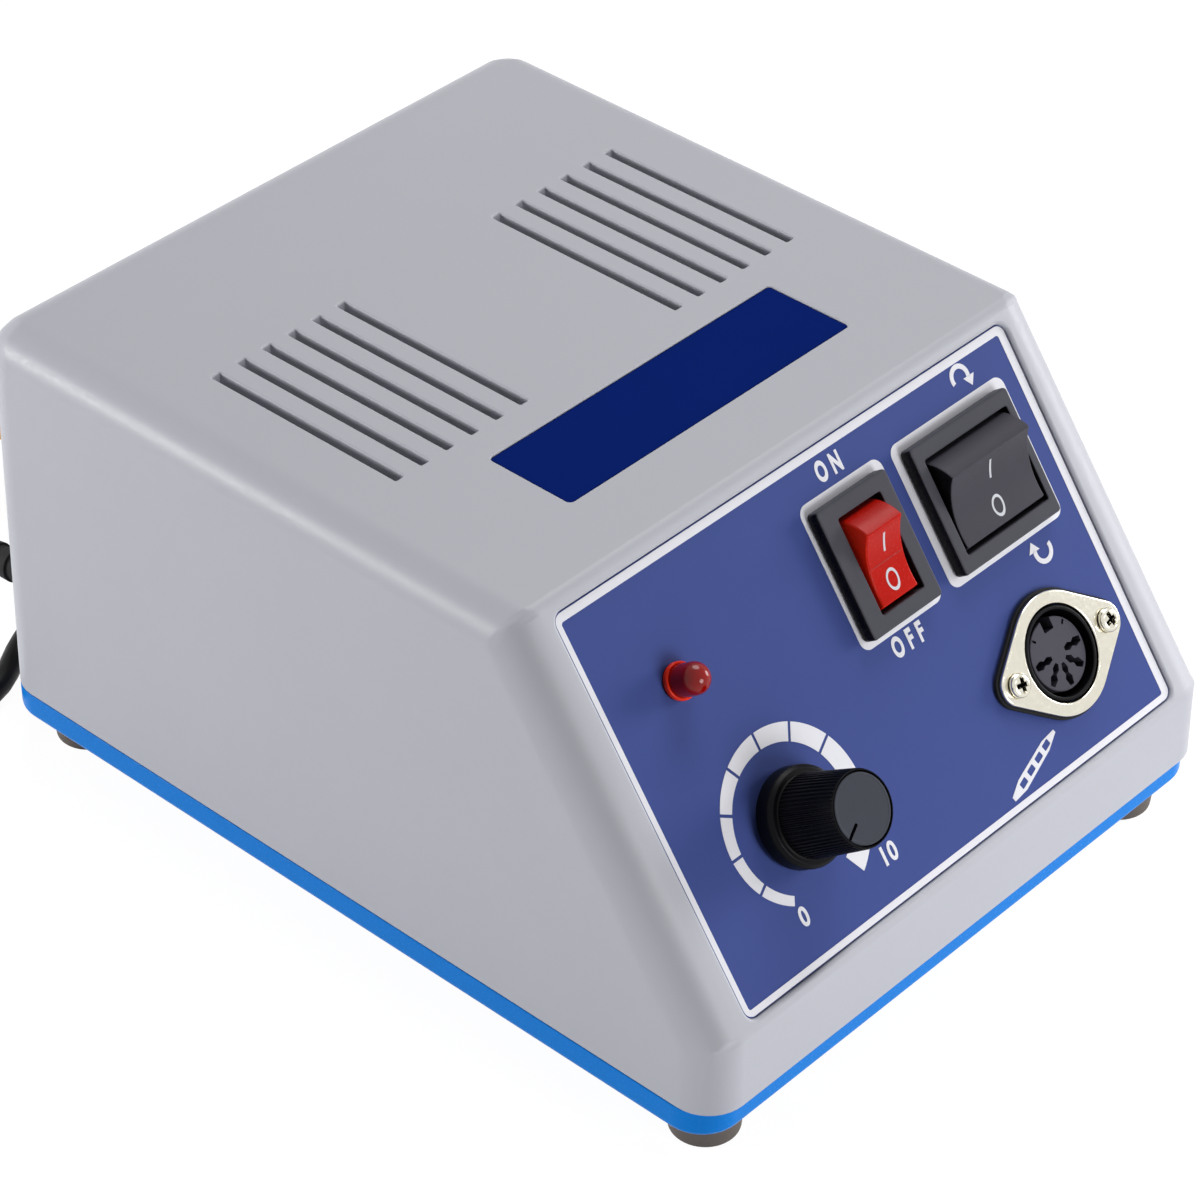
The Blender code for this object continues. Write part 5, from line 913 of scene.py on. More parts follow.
@dataclass
class PanelPrint:
    """Printed film on the panel and the small one on the top."""

    corner: float = 0.0016
    rim_inset: float = 0.00015
    blue_left: float = -0.0499
    blue_right: float = 0.0493
    blue_low: float = 0.0026
    blue_high: float = 0.0655
    switch_frames: tuple = ((0.0073, 0.0481, 0.0188, 0.0241), (0.03265, 0.0481, 0.0273, 0.0242))
    frame_round: float = 0.0018
    dial_segments: int = 10
    dial_start: float = radians(240.0)
    dial_step: float = radians(-30.0)
    dial_inner: float = 0.0113
    dial_outer_first: float = 0.0128
    dial_outer_last: float = 0.0152
    dial_gap: float = 0.0005
    words: tuple = (("ON", 0.007, 0.0628, 0.0031), ("OFF", 0.0067, 0.0338, 0.0031), ("0", -0.0336, 0.0089, 0.003),
                    ("10", -0.0144, 0.0088, 0.003))
    arrows: tuple = ((0.0385, 0.0632, 0.0), (0.0391, 0.0331, pi))
    arrow_radius: float = 0.0014
    arrow_half_width: float = 0.00032
    arrow_scale: float = 1.25
    sign_place: Point = (0.0123, 0.0036)
    sign_turn: float = radians(20.5)
    sign_half_widths: tuple = ((0, 0.0004), (0.003, 0.0011), (0.011, 0.001), (0.0141, 0.0003))
    sign_windows: int = 4

    def flat(self, outline: Outline) -> Mesh:
        """Return an ink layer on the film."""
        return slab(outline, LABEL_TOP - PRINT_THICKNESS / 2, LABEL_TOP + PRINT_THICKNESS)

    def through(self, outline: Outline) -> Mesh:
        """Return a cutter through film and ink."""
        return slab(outline, LABEL_TOP - OVERRUN, LABEL_TOP + OVERRUN)

    def segment(self, index: int) -> Mesh:
        """Return one step of the dial's growing band."""
        start = self.dial_start + self.dial_step * index
        steps = 8
        grow = (self.dial_outer_last - self.dial_outer_first) / self.dial_segments
        outer = []
        inner = []
        for i in range(steps + 1):
            share = i / steps
            for radius, side in ((self.dial_outer_first + grow * (index + share), outer), (self.dial_inner, inner)):
                gap = self.dial_gap / 2 / radius
                angle = start - gap + (self.dial_step + 2 * gap) * share
                side.append(polar(radius, angle, KNOB_AT))
        return self.flat(polygon(outer + inner[::-1]))

    def word(self, text: str, x: float, y: float, size: float) -> Mesh:
        """Return a word or number as an ink layer, its middle at x, y."""
        letters = text.isalpha()
        curve = bpy.data.curves.new("word", "FONT")
        curve.body = text
        curve.size = size * 1.38
        curve.align_x = "CENTER"
        curve.align_y = "CENTER"
        curve.extrude = PRINT_THICKNESS
        curve.offset = size * (0.06 if letters else 0.04)
        curve.space_character = 1.75 if letters else 1.1
        mesh = settled(placed("word", curve))
        mesh.transform(at(x, y, LABEL_TOP) @ Matrix.Diagonal((0.66 if letters else 0.85, 1, 1, 1)))
        return mesh

    def arrow(self, x: float, y: float, turn: float) -> Mesh:
        """Return a plain curved arrow for the direction of rotation."""
        radius = self.arrow_radius
        wide = self.arrow_half_width
        ends = (radians(200), radians(-20))
        band = self.flat(polygon(arc(radius + wide, *ends, 14) + arc(radius - wide, *ends[::-1], 14)))
        head = self.flat(polygon([(radius - 0.001, -0.0004), (radius + 0.001, -0.0004), (radius, -0.0017)]))
        both = merged([band, head])
        both.transform(at(x, y) @ rotated(turn, "Z") @ Matrix.Diagonal((self.arrow_scale, self.arrow_scale, 1, 1)))
        return both

    def handpiece(self) -> Mesh:
        """Return the outline sign of a handpiece: a slim tapered shaft with bands."""
        outer = [(x, -w) for x, w in self.sign_half_widths] + [(x, w) for x, w in reversed(self.sign_half_widths)]
        windows = [self.through(rectangle(0.0017, 0.0011, 0.0002, (0.0034 + i * 0.0026, 0)))
                   for i in range(self.sign_windows)]
        sign = cut(self.flat(polygon(outer)), windows)
        sign.transform(at(*self.sign_place) @ rotated(self.sign_turn, "Z"))
        return sign

    def build(self) -> None:
        """Make both films and the white ink on the panel's."""
        film = slab(rectangle(*PANEL_LABEL, self.corner, PANEL_LABEL_MIDDLE), LABEL_TOP - LABEL_THICKNESS, LABEL_TOP,
                    LABEL_ROUND)
        openings = panel_openings()
        film = cut(film, [self.through(outline) for outline in openings])
        add_piece("panel_film", film, PANEL_FILM, ["panel_label"], PANEL_FRAME)
        rim = self.flat(rectangle(*(size - 2 * self.rim_inset for size in PANEL_LABEL), self.corner,
                                  PANEL_LABEL_MIDDLE))
        blue = rectangle(self.blue_right - self.blue_left, self.blue_high - self.blue_low, 0.0005,
                         ((self.blue_right + self.blue_left) / 2, (self.blue_high + self.blue_low) / 2))
        ink = [cut(rim, [self.through(blue)]), self.handpiece()]
        for (x, y, width, length), outline in zip(self.switch_frames, openings):
            ink.append(cut(self.flat(rectangle(width, length, self.frame_round, (x, y))), [self.through(outline)]))
        ink += [self.segment(i) for i in range(self.dial_segments)]
        add_piece("panel_ink", merged(ink), WHITE_INK, (), PANEL_FRAME)
        words = [self.word(*word) for word in self.words] + [self.arrow(*arrow) for arrow in self.arrows]
        add_piece("panel_words", merged(words), WHITE_INK, (), PANEL_FRAME)
        low = COVER_TOP - TOP_RECESS + GAP
        small = slab(rectangle(*TOP_LABEL, 0.0005, TOP_LABEL_MIDDLE), low, low + LABEL_THICKNESS, LABEL_ROUND)
        add_piece("top_film", small, TOP_FILM, ["top_label"], CASE_FRAME)


@dataclass
class RockerSwitch:
    """Rocker switch: bezel and well, and the rocker tilted in it with its two marks."""

    name: str
    body: Body
    x: float
    bezel_width: float
    opening_width: float
    body_width: float
    rocker_width: float
    finish: Finish
    # Finish of the side walls: a painted shade or a painted glow
    flank: Finish
    slot: str
    bezel_grow: float
    split_line: bool = False
    length: float = 0.0213
    opening_length: float = 0.0161
    body_length: float = 0.0188
    body_depth: float = 0.017
    bezel_height: float = 0.0026
    bezel_round: float = 0.00045
    corner: float = 0.0007
    well_depth: float = 0.0052
    pivot_drop: float = 0.0005
    ridge_reach: float = 0.0059
    ridge_height: float = 0.005
    sag: float = 0.0014
    skirt_drop: float = 0.0014
    tilt: float = radians(17.0)
    edge_round: float = 0.0003
    crest: float = 0.00022
    mark_width: float = 0.00042
    ring_radius: float = 0.0015
    ring_y: float = -0.0032
    bar_y: float = 0.003
    bar_length: float = 0.0032

    @property
    def rocker_frame(self) -> Matrix:
        """Frame of the rocker: its pivot, tilted as it rests."""
        return PANEL_FRAME @ at(self.x, SWITCH_Y, LABEL_TOP - self.pivot_drop) @ rotated(self.tilt, "X")

    @property
    def face_radius(self) -> float:
        """Radius of the hollow face."""
        return (self.ridge_reach ** 2 + self.sag ** 2) / (2 * self.sag)

    def face_height(self, y: float) -> float:
        """Return the hollow face's height over the pivot at y."""
        return self.ridge_height - self.sag + self.face_radius - sqrt(self.face_radius ** 2 - y * y)

    def face(self, inset: float = 0.0) -> list[Point]:
        """Return the hollow face's points (y, z) from ridge to ridge, drawn in by inset."""
        reach = self.ridge_reach - inset * 0.8
        return [(y, self.face_height(y) - inset) for y in (reach - 2 * reach * i / 24 for i in range(25))]

    def side_outline(self, inset: float) -> list[Point]:
        """Return the rocker's side outline (y, z) drawn in by inset: face, round ends, skirt."""
        end = hypot(self.ridge_reach, self.ridge_height) - inset
        ridge = atan2(self.ridge_height, self.ridge_reach) - 0.03
        skirt = -asin(self.skirt_drop / (end + inset))
        face = self.face(inset)
        outline = arc(end, skirt, ridge, 12) + face + arc(end, pi - ridge, pi - skirt, 12)
        return softened([(y, z, self.crest if abs(abs(y) - face[0][0]) < WELD else 0.0) for y, z in outline])

    def rocker_mesh(self) -> Mesh:
        """Return the rocker, its side edges rounded."""
        steps = 4
        rings = []
        for a in (pi / 2 * i / steps for i in range(steps + 1)):
            x = -self.rocker_width / 2 + self.edge_round * (1 - cos(a))
            rings.append([(x, y, z) for y, z in self.side_outline(self.edge_round * (1 - sin(a)))])
        rings += [[(-x, y, z) for x, y, z in ring] for ring in reversed(rings)]
        return merged([new_mesh(loft(rings)), self.pin(0.0012, 0.0005)])

    def pin(self, radius: float, over: float, place: Matrix = Matrix()) -> Mesh:
        """Return a pin along the pivot that passes the opening by over at both ends."""
        reach = self.opening_width / 2 + over
        return slab(disc(radius, 24), -reach, reach, place=place @ rotated(pi / 2, "Y"))

    def on_face(self, outline: Sequence[Point], hole: Sequence[Point]) -> Mesh:
        """Return a thin mark between outline and hole that follows the hollow face."""
        rings = []
        for points, lift in ((outline, -1), (outline, 1), (hole, 1), (hole, -1)):
            rings.append([(x, y, self.face_height(y) + lift * PRINT_THICKNESS / 2) for x, y in points])
        return new_mesh(loft(rings, wrap=True))

    def bar(self, y: float, width: float, length: float) -> Mesh:
        """Return a bar mark across y on the hollow face, which it follows."""
        steps = 8
        rings = []
        for i in range(steps + 1):
            here = y - length / 2 + length * i / steps
            z = self.face_height(here)
            rings.append([(side * width / 2, here, z + lift * PRINT_THICKNESS / 2)
                          for side, lift in ((-1, -1), (1, -1), (1, 1), (-1, 1))])
        return new_mesh(loft(rings))

    def build_housing(self) -> None:
        """Make the bezel, its well and the body behind the panel."""
        base = LABEL_TOP + GAP
        top = LABEL_TOP + self.bezel_height
        place = at(self.x, SWITCH_Y)
        pivot = at(0, 0, LABEL_TOP - self.pivot_drop)
        outline = rectangle(self.bezel_width + self.bezel_grow, self.length, self.corner, (-self.bezel_grow / 2, 0))
        bezel = slab(outline, base, top, self.bezel_round, 0.0002, place)
        body = slab(rectangle(self.body_width, self.body_length, 0.0008), base - self.body_depth,
                    top - self.bezel_round * 2, 0, 0.0005, place)
        well = slab(rectangle(self.opening_width, self.opening_length, 0.0004),
                    LABEL_TOP - self.pivot_drop - self.well_depth, top, -0.00028, place=place)
        housing = cut(fused(bezel, [body]), [well])
        # The bezel's side walls take the painted shade
        add_piece(f"{self.name}_switch_bezel", cut(housing, [self.pin(0.0015, 0.0008, place @ pivot)]), SWITCH_NYLON,
                  [f"{self.name}_switch_housing"], PANEL_FRAME, flank=NYLON_PAINTED_SHADE)
        tabs = [box((0.0048, 0.0008, 0.006), (self.x, SWITCH_Y + offset, base - self.body_depth - 0.0028))
                for offset in (-0.0042, 0.0, 0.0042)]
        add_piece(f"{self.name}_switch_tabs", merged(tabs), BRASS, (), PANEL_FRAME)

    def build(self) -> None:
        """Make the housing, the rocker and its marks."""
        self.build_housing()
        frame_of_rocker = self.rocker_frame
        # The rocker's side walls take its flank finish: painted shade on the black rocker, painted glow on the red
        # one
        add_piece(f"{self.name}_rocker_lever", self.rocker_mesh(), self.finish,
                  [f"{self.name}_rocker"], frame_of_rocker, self.body, flank=self.flank)
        edges = [[(x * 0.86, y * 1.16 + self.ring_y) for x, y in arc(radius, 0, 2 * pi * 39 / 40, 39)]
                 for radius in (self.ring_radius, self.ring_radius - self.mark_width)]
        marks = [self.on_face(*edges), self.bar(self.bar_y, self.mark_width, self.bar_length)]
        add_piece(f"{self.name}_rocker_marks", merged(marks), MARK_INK, (), frame_of_rocker, self.body)
        if self.split_line:
            line = self.bar(-0.0001, self.rocker_width - 2 * self.edge_round, 0.0001)
            add_piece(f"{self.name}_rocker_seam", line, RED_DEEP, (), frame_of_rocker, self.body)


@dataclass
class PilotLamp:
    """Round red lamp standing in the panel, with the cup and posts that show through it."""

    radius: float = 0.0025
    rim: float = 0.0029
    rim_height: float = 0.0009
    dome_centre: float = 0.0039
    tail: float = 0.009
    cup: tuple = ((0, 0.001), (0.0006, 0.0011), (0.001, 0.0019), (0.0014, 0.0019), (0.0014, -0.003), (0, -0.003))
    holder_radius: float = 0.0044
    holder_depth: float = 0.005

    def build(self) -> None:
        """Make the lens, the parts inside it and the holder behind the panel."""
        place = on_panel(LAMP_AT)
        high = GAP + self.rim_height
        rim = turned([(self.radius, high, 0.0001), (self.rim, high, 0.0002), (self.rim, GAP, 0.00015),
                      (self.radius, GAP, 0.0001)], wrap=True)
        # The rim ring is painted bright orange red as a glow
        add_piece("lamp_rim_ring", rim, LAMP_RIM_PAINTED_GLOW, (), place)
        dome = [(self.radius * sin(a), self.dome_centre + self.radius * cos(a))
                for a in (pi / 2 * i / 12 for i in range(13))]
        foot = softened([(self.radius, -self.tail, 0.0002), (0, -self.tail, 0)])
        add_piece("lamp_lens", turned(dome + foot), LAMP_EPOXY, ["pilot_lamp"], place)
        cup = turned([(x, y, 0.0001) for x, y in self.cup], 24)
        post = box((0.0005, 0.0008, 0.0042), (0.0017, 0, -0.0005), 0.0001)
        add_piece("lamp_die_cup", merged([cup, post]), STEEL, (), place)
        top = -COVER_WALL - LABEL_TOP - GAP
        low = top - self.holder_depth
        inner = self.radius + FIT
        holder = turned([(self.holder_radius, top, 0.0003), (self.holder_radius, low, 0.0003), (inner, low, 0.0002),
                         (inner, top, 0.0001)], 40, wrap=True)
        add_piece("lamp_holder_ring", holder, SWITCH_NYLON, ["lamp_holder"], place)


@dataclass
class SpeedControl:
    """Ribbed knob with its cap and pointer, the shaft, and the potentiometer with its nut."""

    lift: float = 0.0008
    top: float = 0.0158
    skirt_radius: float = 0.0077
    shoulder_radius: float = 0.0071
    skirt_height: float = 0.0034
    grip_foot: float = 0.0064
    grip_top: float = 0.0059
    well_radius: float = 0.0062
    well_top: float = 0.0052
    ribs: int = 60
    rib_height: float = 0.00018
    cap_radius: float = 0.0053
    cap_thickness: float = 0.0012
    cap_dish: float = 0.00004
    pointer_width: float = 0.00055
    pointer_start: float = 0.0025
    pointer_end: float = 0.0053
    pointer_angle: float = radians(210.0)
    shaft_radius: float = 0.003
    shaft_top: float = 0.013
    bore: float = 0.00325
    pot_radius: float = 0.0082
    pot_depth: float = 0.009
    bushing_radius: float = 0.0039
    bushing_top: float = 0.0034
    thread_pitch: float = 0.0005
    lug_step: float = 0.005

    def knob_mesh(self) -> Mesh:
        """Return the knob's smooth body."""
        cap_floor = self.top - self.cap_thickness - STACK_GAP
        room = self.shaft_top + GAP
        skirt = self.lift + self.skirt_height
        seat = self.cap_radius + FIT
        lean = self.skirt_radius - self.shoulder_radius
        return turned([(0, cap_floor, 0), (seat, cap_floor, 0.0001), (seat, self.top, 0.0001),
                       (self.grip_top - self.rib_height, self.top, 0.00014),
                       (self.grip_foot - self.rib_height, skirt, 0.0003), (self.shoulder_radius, skirt, 0.0003),
                       (self.skirt_radius, skirt - lean, 0.0006), (self.skirt_radius, self.lift, 0.0003),
                       (self.well_radius, self.lift, 0.0002), (self.well_radius, self.well_top, 0.0003),
                       (self.bore, self.well_top, 0.0002), (self.bore, room, 0.0001), (0, room, 0)], 96)

    def rib_mesh(self) -> Mesh:
        """Return one rib that leans with the grip's taper."""
        low = self.lift + self.skirt_height + 0.0002
        high = self.top - 0.00015
        foot = self.grip_foot - self.rib_height
        taper = self.grip_top - self.grip_foot
        return rib(self.rib_height, [(low + (high - low) * share, foot + taper * share, scale)
                                     for share, scale in ((0.0, 0.3), (0.03, 1.0), (0.97, 1.0), (1.0, 0.5))], 5)

    def build(self, repeater: Repeater) -> None:
        """Make the turning pieces and the ones that stay with the panel."""
        place = on_panel(KNOB_AT) @ rotated(self.pointer_angle, "Z")
        knob = merged([self.knob_mesh(), repeater.ring(self.rib_mesh(), KNOB_BLACK, self.ribs)])
        add_piece("speed_knob_grip", knob, KNOB_BLACK, ["speed_knob"], place, Body.KNOB)
        low = self.top - self.cap_thickness
        radius = self.cap_radius
        cap = turned([(0, self.top - self.cap_dish, 0), (radius - 0.0005, self.top - self.cap_dish, 0.0002),
                      (radius - 0.00035, self.top, 0.0001), (radius, self.top, 0.00012), (radius, low, 0.0001),
                      (0, low, 0)], 96)
        length = self.pointer_end - self.pointer_start
        middle = (self.pointer_start + length / 2, 0)
        groove = slab(rectangle(length, self.pointer_width, 0.0002, middle), self.top - 0.0003, self.top + OVERRUN)
        add_piece("knob_cap_disc", cut(cap, [groove]), CAP_GREY, ["knob_cap"], place, Body.KNOB)
        line = slab(rectangle(length - 0.0001, self.pointer_width - 0.0001, 0.0002, middle), self.top - 0.00032,
                    self.top + 0.00002)
        add_piece("knob_pointer_line", line, LINE_FILL_AND_SHADE_BLACK, (), place, Body.KNOB)
        seat = -COVER_WALL - LABEL_TOP - GAP
        shaft_low = seat - self.pot_depth / 2
        shaft = turned([(0, self.shaft_top, 0), (self.shaft_radius, self.shaft_top, 0.0004),
                        (self.shaft_radius, shaft_low, 0.0002), (0, shaft_low, 0)])
        add_piece("speed_shaft", shaft, STEEL, ["potentiometer_shaft"], place, Body.KNOB)
        self.build_fixed(seat, shaft_low)

    def build_fixed(self, seat: float, shaft_low: float) -> None:
        """Make the potentiometer's can, threaded bushing, lugs and nut."""
        place = on_panel(KNOB_AT)
        floor = seat - self.pot_depth
        thread = []
        for i in range(int((self.bushing_top - seat) / self.thread_pitch)):
            z = self.bushing_top - i * self.thread_pitch
            thread += [(self.bushing_radius - 0.0002, z), (self.bushing_radius, z - self.thread_pitch / 2)]
        can = softened([(self.bushing_radius, seat, 0), (self.pot_radius, seat, 0.0006),
                        (self.pot_radius, floor, 0.0008), (0, floor, 0)])
        inner = [(0, shaft_low - GAP), (self.bore, shaft_low - GAP), (self.bore, self.bushing_top)]
        lugs = [box((0.0016, 0.006, 0.0006), (i * self.lug_step, -self.pot_radius - 0.002, seat - 0.0024), 0.0001)
                for i in (-1, 0, 1)]
        add_piece("speed_potentiometer", merged([turned(inner + thread + can, 64)] + lugs), ALUMINIUM,
                  ["potentiometer_body"], place)
        add_piece("potentiometer_hex_nut", hex_nut(0.005, self.bushing_radius + FIT, GAP, GAP + 0.0022), STEEL,
                  ["potentiometer_nut"], place)


@dataclass
class MotorSocket:
    """Round five-pole socket: gasket, nickel flange, shell, contact block and two screws."""

    flange_radius: float = 0.0099
    ear_radius: float = 0.0032
    ear_hole: float = 0.0013
    gasket_margin: float = 0.0004
    gasket_top: float = 0.0009
    flange_low: float = 0.0011
    flange_top: float = 0.0018
    shell_wall: float = 0.00065
    shell_depth: float = 0.012
    shell_floor: float = 0.0015
    block_radius: float = 0.0059
    block_sink: float = 0.001
    key_depth: float = 0.004
    poles: int = 5
    pole_step: float = radians(45.0)
    pole_radius: float = 0.0034
    pole_widths: tuple = ((0.0016, 0.0003), (0.0026, 0.00066), (0.0034, 0.00034), (0.0041, 0.00078),
                          (0.0054, 0.00044))
    nick_angles: tuple = (radians(133), radians(47))
    screw_turn: float = radians(12)

    @property
    def block_top(self) -> float:
        """Height of the contact block's face."""
        return self.flange_top - self.block_sink

    def outline(self, margin: float) -> Outline:
        """Return the two-eared outline grown by margin, as a function of the inset."""
        def drawn(inset: float) -> list[Point]:
            """Return arcs round the middle and each ear with straight flanks."""
            body = self.flange_radius + margin - inset
            ear = self.ear_radius + margin - inset
            reach = EAR_SPACING / 2
            lean = acos((body - ear) / reach)
            return (arc(ear, -lean, lean, 14, (reach, 0)) + arc(body, lean, pi - lean, 20)
                    + arc(ear, pi - lean, pi + lean, 14, (-reach, 0)) + arc(body, pi + lean, 2 * pi - lean, 20))
        return drawn

    def contact_slot(self) -> Mesh:
        """Return the cutter of one contact's opening: narrow ends and a waist, flared between."""
        points = [(r, -w) for r, w in self.pole_widths] + [(r, w) for r, w in reversed(self.pole_widths)]
        return slab(polygon(points), self.block_top - self.key_depth, self.block_top + OVERRUN)

    def build(self, repeater: Repeater) -> None:
        """Make every piece of the socket."""
        place = on_panel(SOCKET_AT)
        ears = [slab(disc(self.ear_hole, 32, (side * EAR_SPACING / 2, 0)), -OVERRUN, 2 * OVERRUN) for side in (-1, 1)]
        hole = slab(disc(SOCKET_BORE, 96), -OVERRUN, self.gasket_top + OVERRUN)
        gasket = cut(slab(self.outline(self.gasket_margin), GAP, self.gasket_top, 0.00015), [hole] + ears)
        add_piece("socket_gasket_sheet", gasket, FOOT_RUBBER, ["socket_gasket"], place)
        plate = slab(self.outline(0), self.flange_low, self.flange_top, 0.00035, 0.00005)
        rim_hole = slab(disc(SOCKET_BORE, 96), self.flange_low - OVERRUN, self.flange_top, -0.0003)
        add_piece("socket_flange_plate", cut(plate, [rim_hole] + ears), NICKEL, ["socket_flange"], place)
        outer = SOCKET_BORE - FIT
        inner = outer - self.shell_wall
        low = self.flange_top - self.shell_depth
        top = self.flange_top - STACK_GAP
        floor = low + self.shell_floor
        shell = turned([(0, low, 0), (outer, low, 0.0004), (outer, top, 0.0002), (inner, top, 0.0002),
                        (inner, floor, 0.0004), (0, floor, 0)], 96)
        add_piece("socket_shell_cup", shell, KNOB_BLACK, ["socket_shell"], place)
        self.build_block(repeater, place, floor + STACK_GAP)
        for side, sign in (("left", -1), ("right", 1)):
            seat = (place @ at(sign * EAR_SPACING / 2, 0, self.flange_top + STACK_GAP)
                    @ rotated(sign * self.screw_turn, "Z"))
            screw = cross_screw(0.001, 0.0065, 0.002, 0.001)
            add_piece(f"socket_pan_screw_{side}", screw, NICKEL, [f"socket_screw_{side}"], seat)
            # A flat black cross in each screw's recess: painted shade
            arms = [box((*size, 0.0001), (0, 0, 0.00062), 0.00002) for size in ((0.0022, 0.00048), (0.00048, 0.0022))]
            add_piece(f"socket_screw_recess_{side}", merged(arms), LINE_FILL_AND_SHADE_BLACK, (), seat)

    def build_block(self, repeater: Repeater, place: Matrix, low: float) -> None:
        """Make the contact block with its slots, key and nicks, and the spring in each slot."""
        top = self.block_top
        wide = self.block_radius
        block = turned([(0, top, 0), (wide, top, 0.0002), (wide, low, 0.0002), (0, low, 0)], 72)
        slots = repeater.ring(self.contact_slot(), KNOB_BLACK, self.poles, -self.pole_step)
        key = slab(rectangle(0.0022, 0.0042, 0.0002, (0.0003, wide)), top - self.key_depth, top + OVERRUN)
        nicks = [slab(rectangle(0.0009, 0.0004, 0.0001), top - 0.0006, top + OVERRUN,
                      place=rotated(angle, "Z") @ at(0.0052, 0)) for angle in self.nick_angles]
        add_piece("socket_insert", cut(block, [slots, key] + nicks), INSERT_GREY,
                  ["socket_contact_block"], place)
        spring = turned([(0.0003, 0), (0.00052, 0), (0.00052, -0.0022), (0.0003, -0.0022)], 16,
                        at(self.pole_radius, 0, top - 0.0026), wrap=True)
        springs = repeater.ring(spring, BRASS, self.poles, -self.pole_step)
        add_piece("socket_contacts", springs, BRASS, (), place)

@dataclass
class RearFittings:
    """Fuse holder with its turning cap, foot control jack and strain relief on the back wall."""

    fuse_x: float = 0.036
    fuse_rise: float = 0.0325
    fuse_radius: float = 0.006
    fuse_length: float = 0.028
    fuse_flange: float = 0.0078
    fuse_flange_thickness: float = 0.002
    fuse_bore: float = 0.0036
    cap_radius: float = 0.0062
    cap_height: float = 0.0065
    cap_top: float = 0.009
    cap_plug_radius: float = 0.0032
    cap_plug_length: float = 0.005
    cap_slot: float = 0.0014
    cap_ribs: int = 28
    cap_rib: float = 0.00018
    jack_x: float = 0.02725
    jack_rise: float = 0.0125
    jack_bushing: float = 0.0045
    jack_reach: float = 0.005
    jack_bore: float = 0.0033
    jack_bore_depth: float = 0.018
    jack_pitch: float = 0.0006
    jack_body: tuple = (0.016, 0.013, 0.02)
    relief_x: float = -0.042
    relief_rise: float = 0.0063
    relief_length: float = 0.022
    collar_radius: float = 0.0046
    collar_thickness: float = 0.002
    neck_radius: float = 0.0033
    root_radius: float = 0.004
    tip_radius: float = 0.0026
    inner_length: float = 0.003
    relief_ribs: int = 5
    rib_depth: float = 0.0005
    droop: float = radians(8.0)

    def relief_root(self) -> Matrix:
        """Return the boot's frame, its Z along the lead."""
        root = BACK_FRAME @ Vector((self.relief_x, -self.relief_rise, GAP + self.collar_thickness / 2))
        return at(*root) @ rotated(-pi / 2 - self.droop, "X")

    def relief_tip(self) -> tuple[Vector, Vector]:
        """Return the point and direction where the lead leaves the strain relief."""
        frame_of_boot = self.relief_root()
        return (frame_of_boot @ Vector((0, 0, self.relief_length + GAP)),
                frame_of_boot.to_3x3() @ Vector((0, 0, 1)))

    def build_fuse(self, repeater: Repeater) -> None:
        """Make the fuse holder and its nut."""
        place = on_back(self.fuse_x, self.fuse_rise)
        top = GAP + self.fuse_flange_thickness
        floor = -self.fuse_length
        bore_floor = floor + self.fuse_flange_thickness
        barrel = turned([(0, bore_floor, 0), (self.fuse_bore, bore_floor, 0.0002), (self.fuse_bore, top, 0.0003),
                         (self.fuse_flange, top, 0.0006), (self.fuse_flange, GAP, 0.0002),
                         (self.fuse_radius, GAP, 0.0001), (self.fuse_radius, floor, 0.0004), (0, floor, 0)], 64)
        add_piece("fuse_holder_barrel", barrel, KNOB_BLACK, ["fuse_holder"], place)
        nut_top = -COVER_WALL - GAP
        add_piece("fuse_holder_hex_nut", hex_nut(0.0084, self.fuse_radius + FIT, nut_top - 0.003, nut_top),
                  SWITCH_NYLON, ["fuse_holder_nut"], place)
        self.build_cap(repeater, place)

    def build_cap(self, repeater: Repeater, place: Matrix) -> None:
        """Make the knurled cap with its plug and its slot."""
        low = self.cap_top - self.cap_height
        crown = self.cap_radius * 0.94 - self.cap_rib
        foot = self.cap_radius - self.cap_rib
        plug_end = low - self.cap_plug_length
        cap = turned([(0, self.cap_top, 0), (crown, self.cap_top, 0.0006), (foot, low + 0.0012, 0.0001),
                      (self.cap_radius, low + 0.001, 0.0002), (self.cap_radius, low, 0.0002),
                      (self.cap_plug_radius, low, 0.0002), (self.cap_plug_radius, plug_end, 0.0003),
                      (0, plug_end, 0)], 72)
        slot = box((self.cap_radius * 3, self.cap_slot, 0.0012 + OVERRUN),
                   (0, 0, self.cap_top - 0.0012 + (0.0012 + OVERRUN) / 2), 0.0002)
        start = low + 0.0012
        reach = self.cap_top - 0.0008 - start
        one = rib(self.cap_rib, [(start + reach * share, foot + (crown - foot) * share, scale)
                                 for share, scale in ((0.0, 0.2), (0.05, 1.0), (0.95, 1.0), (1.0, 0.2))], 4)
        grip = merged([cut(cap, [slot]), repeater.ring(one, KNOB_BLACK, self.cap_ribs)])
        add_piece("fuse_cap_knurled", grip, KNOB_BLACK, ["fuse_cap"], place, Body.FUSE)

    def build_jack(self) -> None:
        """Make the jack with its threaded bushing, its nut and the bore."""
        place = on_back(self.jack_x, self.jack_rise)
        top = -COVER_WALL - GAP
        width, height, length = self.jack_body
        housing = slab(rectangle(width, height, 0.001), top - length, top, 0.0004, 0.0004)
        root = self.jack_bushing - 0.0002
        z = top - OVERRUN
        profile = [(0, z)]
        while z < self.jack_reach - 2 * self.jack_pitch:
            profile += [(root, z), (self.jack_bushing, z + self.jack_pitch / 2)]
            z += self.jack_pitch
        profile += softened([(root, z, 0), (root, self.jack_reach, 0.0003), (0, self.jack_reach, 0)])
        jack = fused(housing, [turned(profile)])
        bore = slab(disc(self.jack_bore), self.jack_reach - self.jack_bore_depth, self.jack_reach, -0.0004)
        add_piece("pedal_jack_body", cut(jack, [bore]), SWITCH_NYLON, ["pedal_jack"], place)
        add_piece("pedal_jack_hex_nut", hex_nut(0.0068, self.jack_bushing + FIT, GAP, GAP + 0.0025), NICKEL,
                  ["pedal_jack_nut"], place)

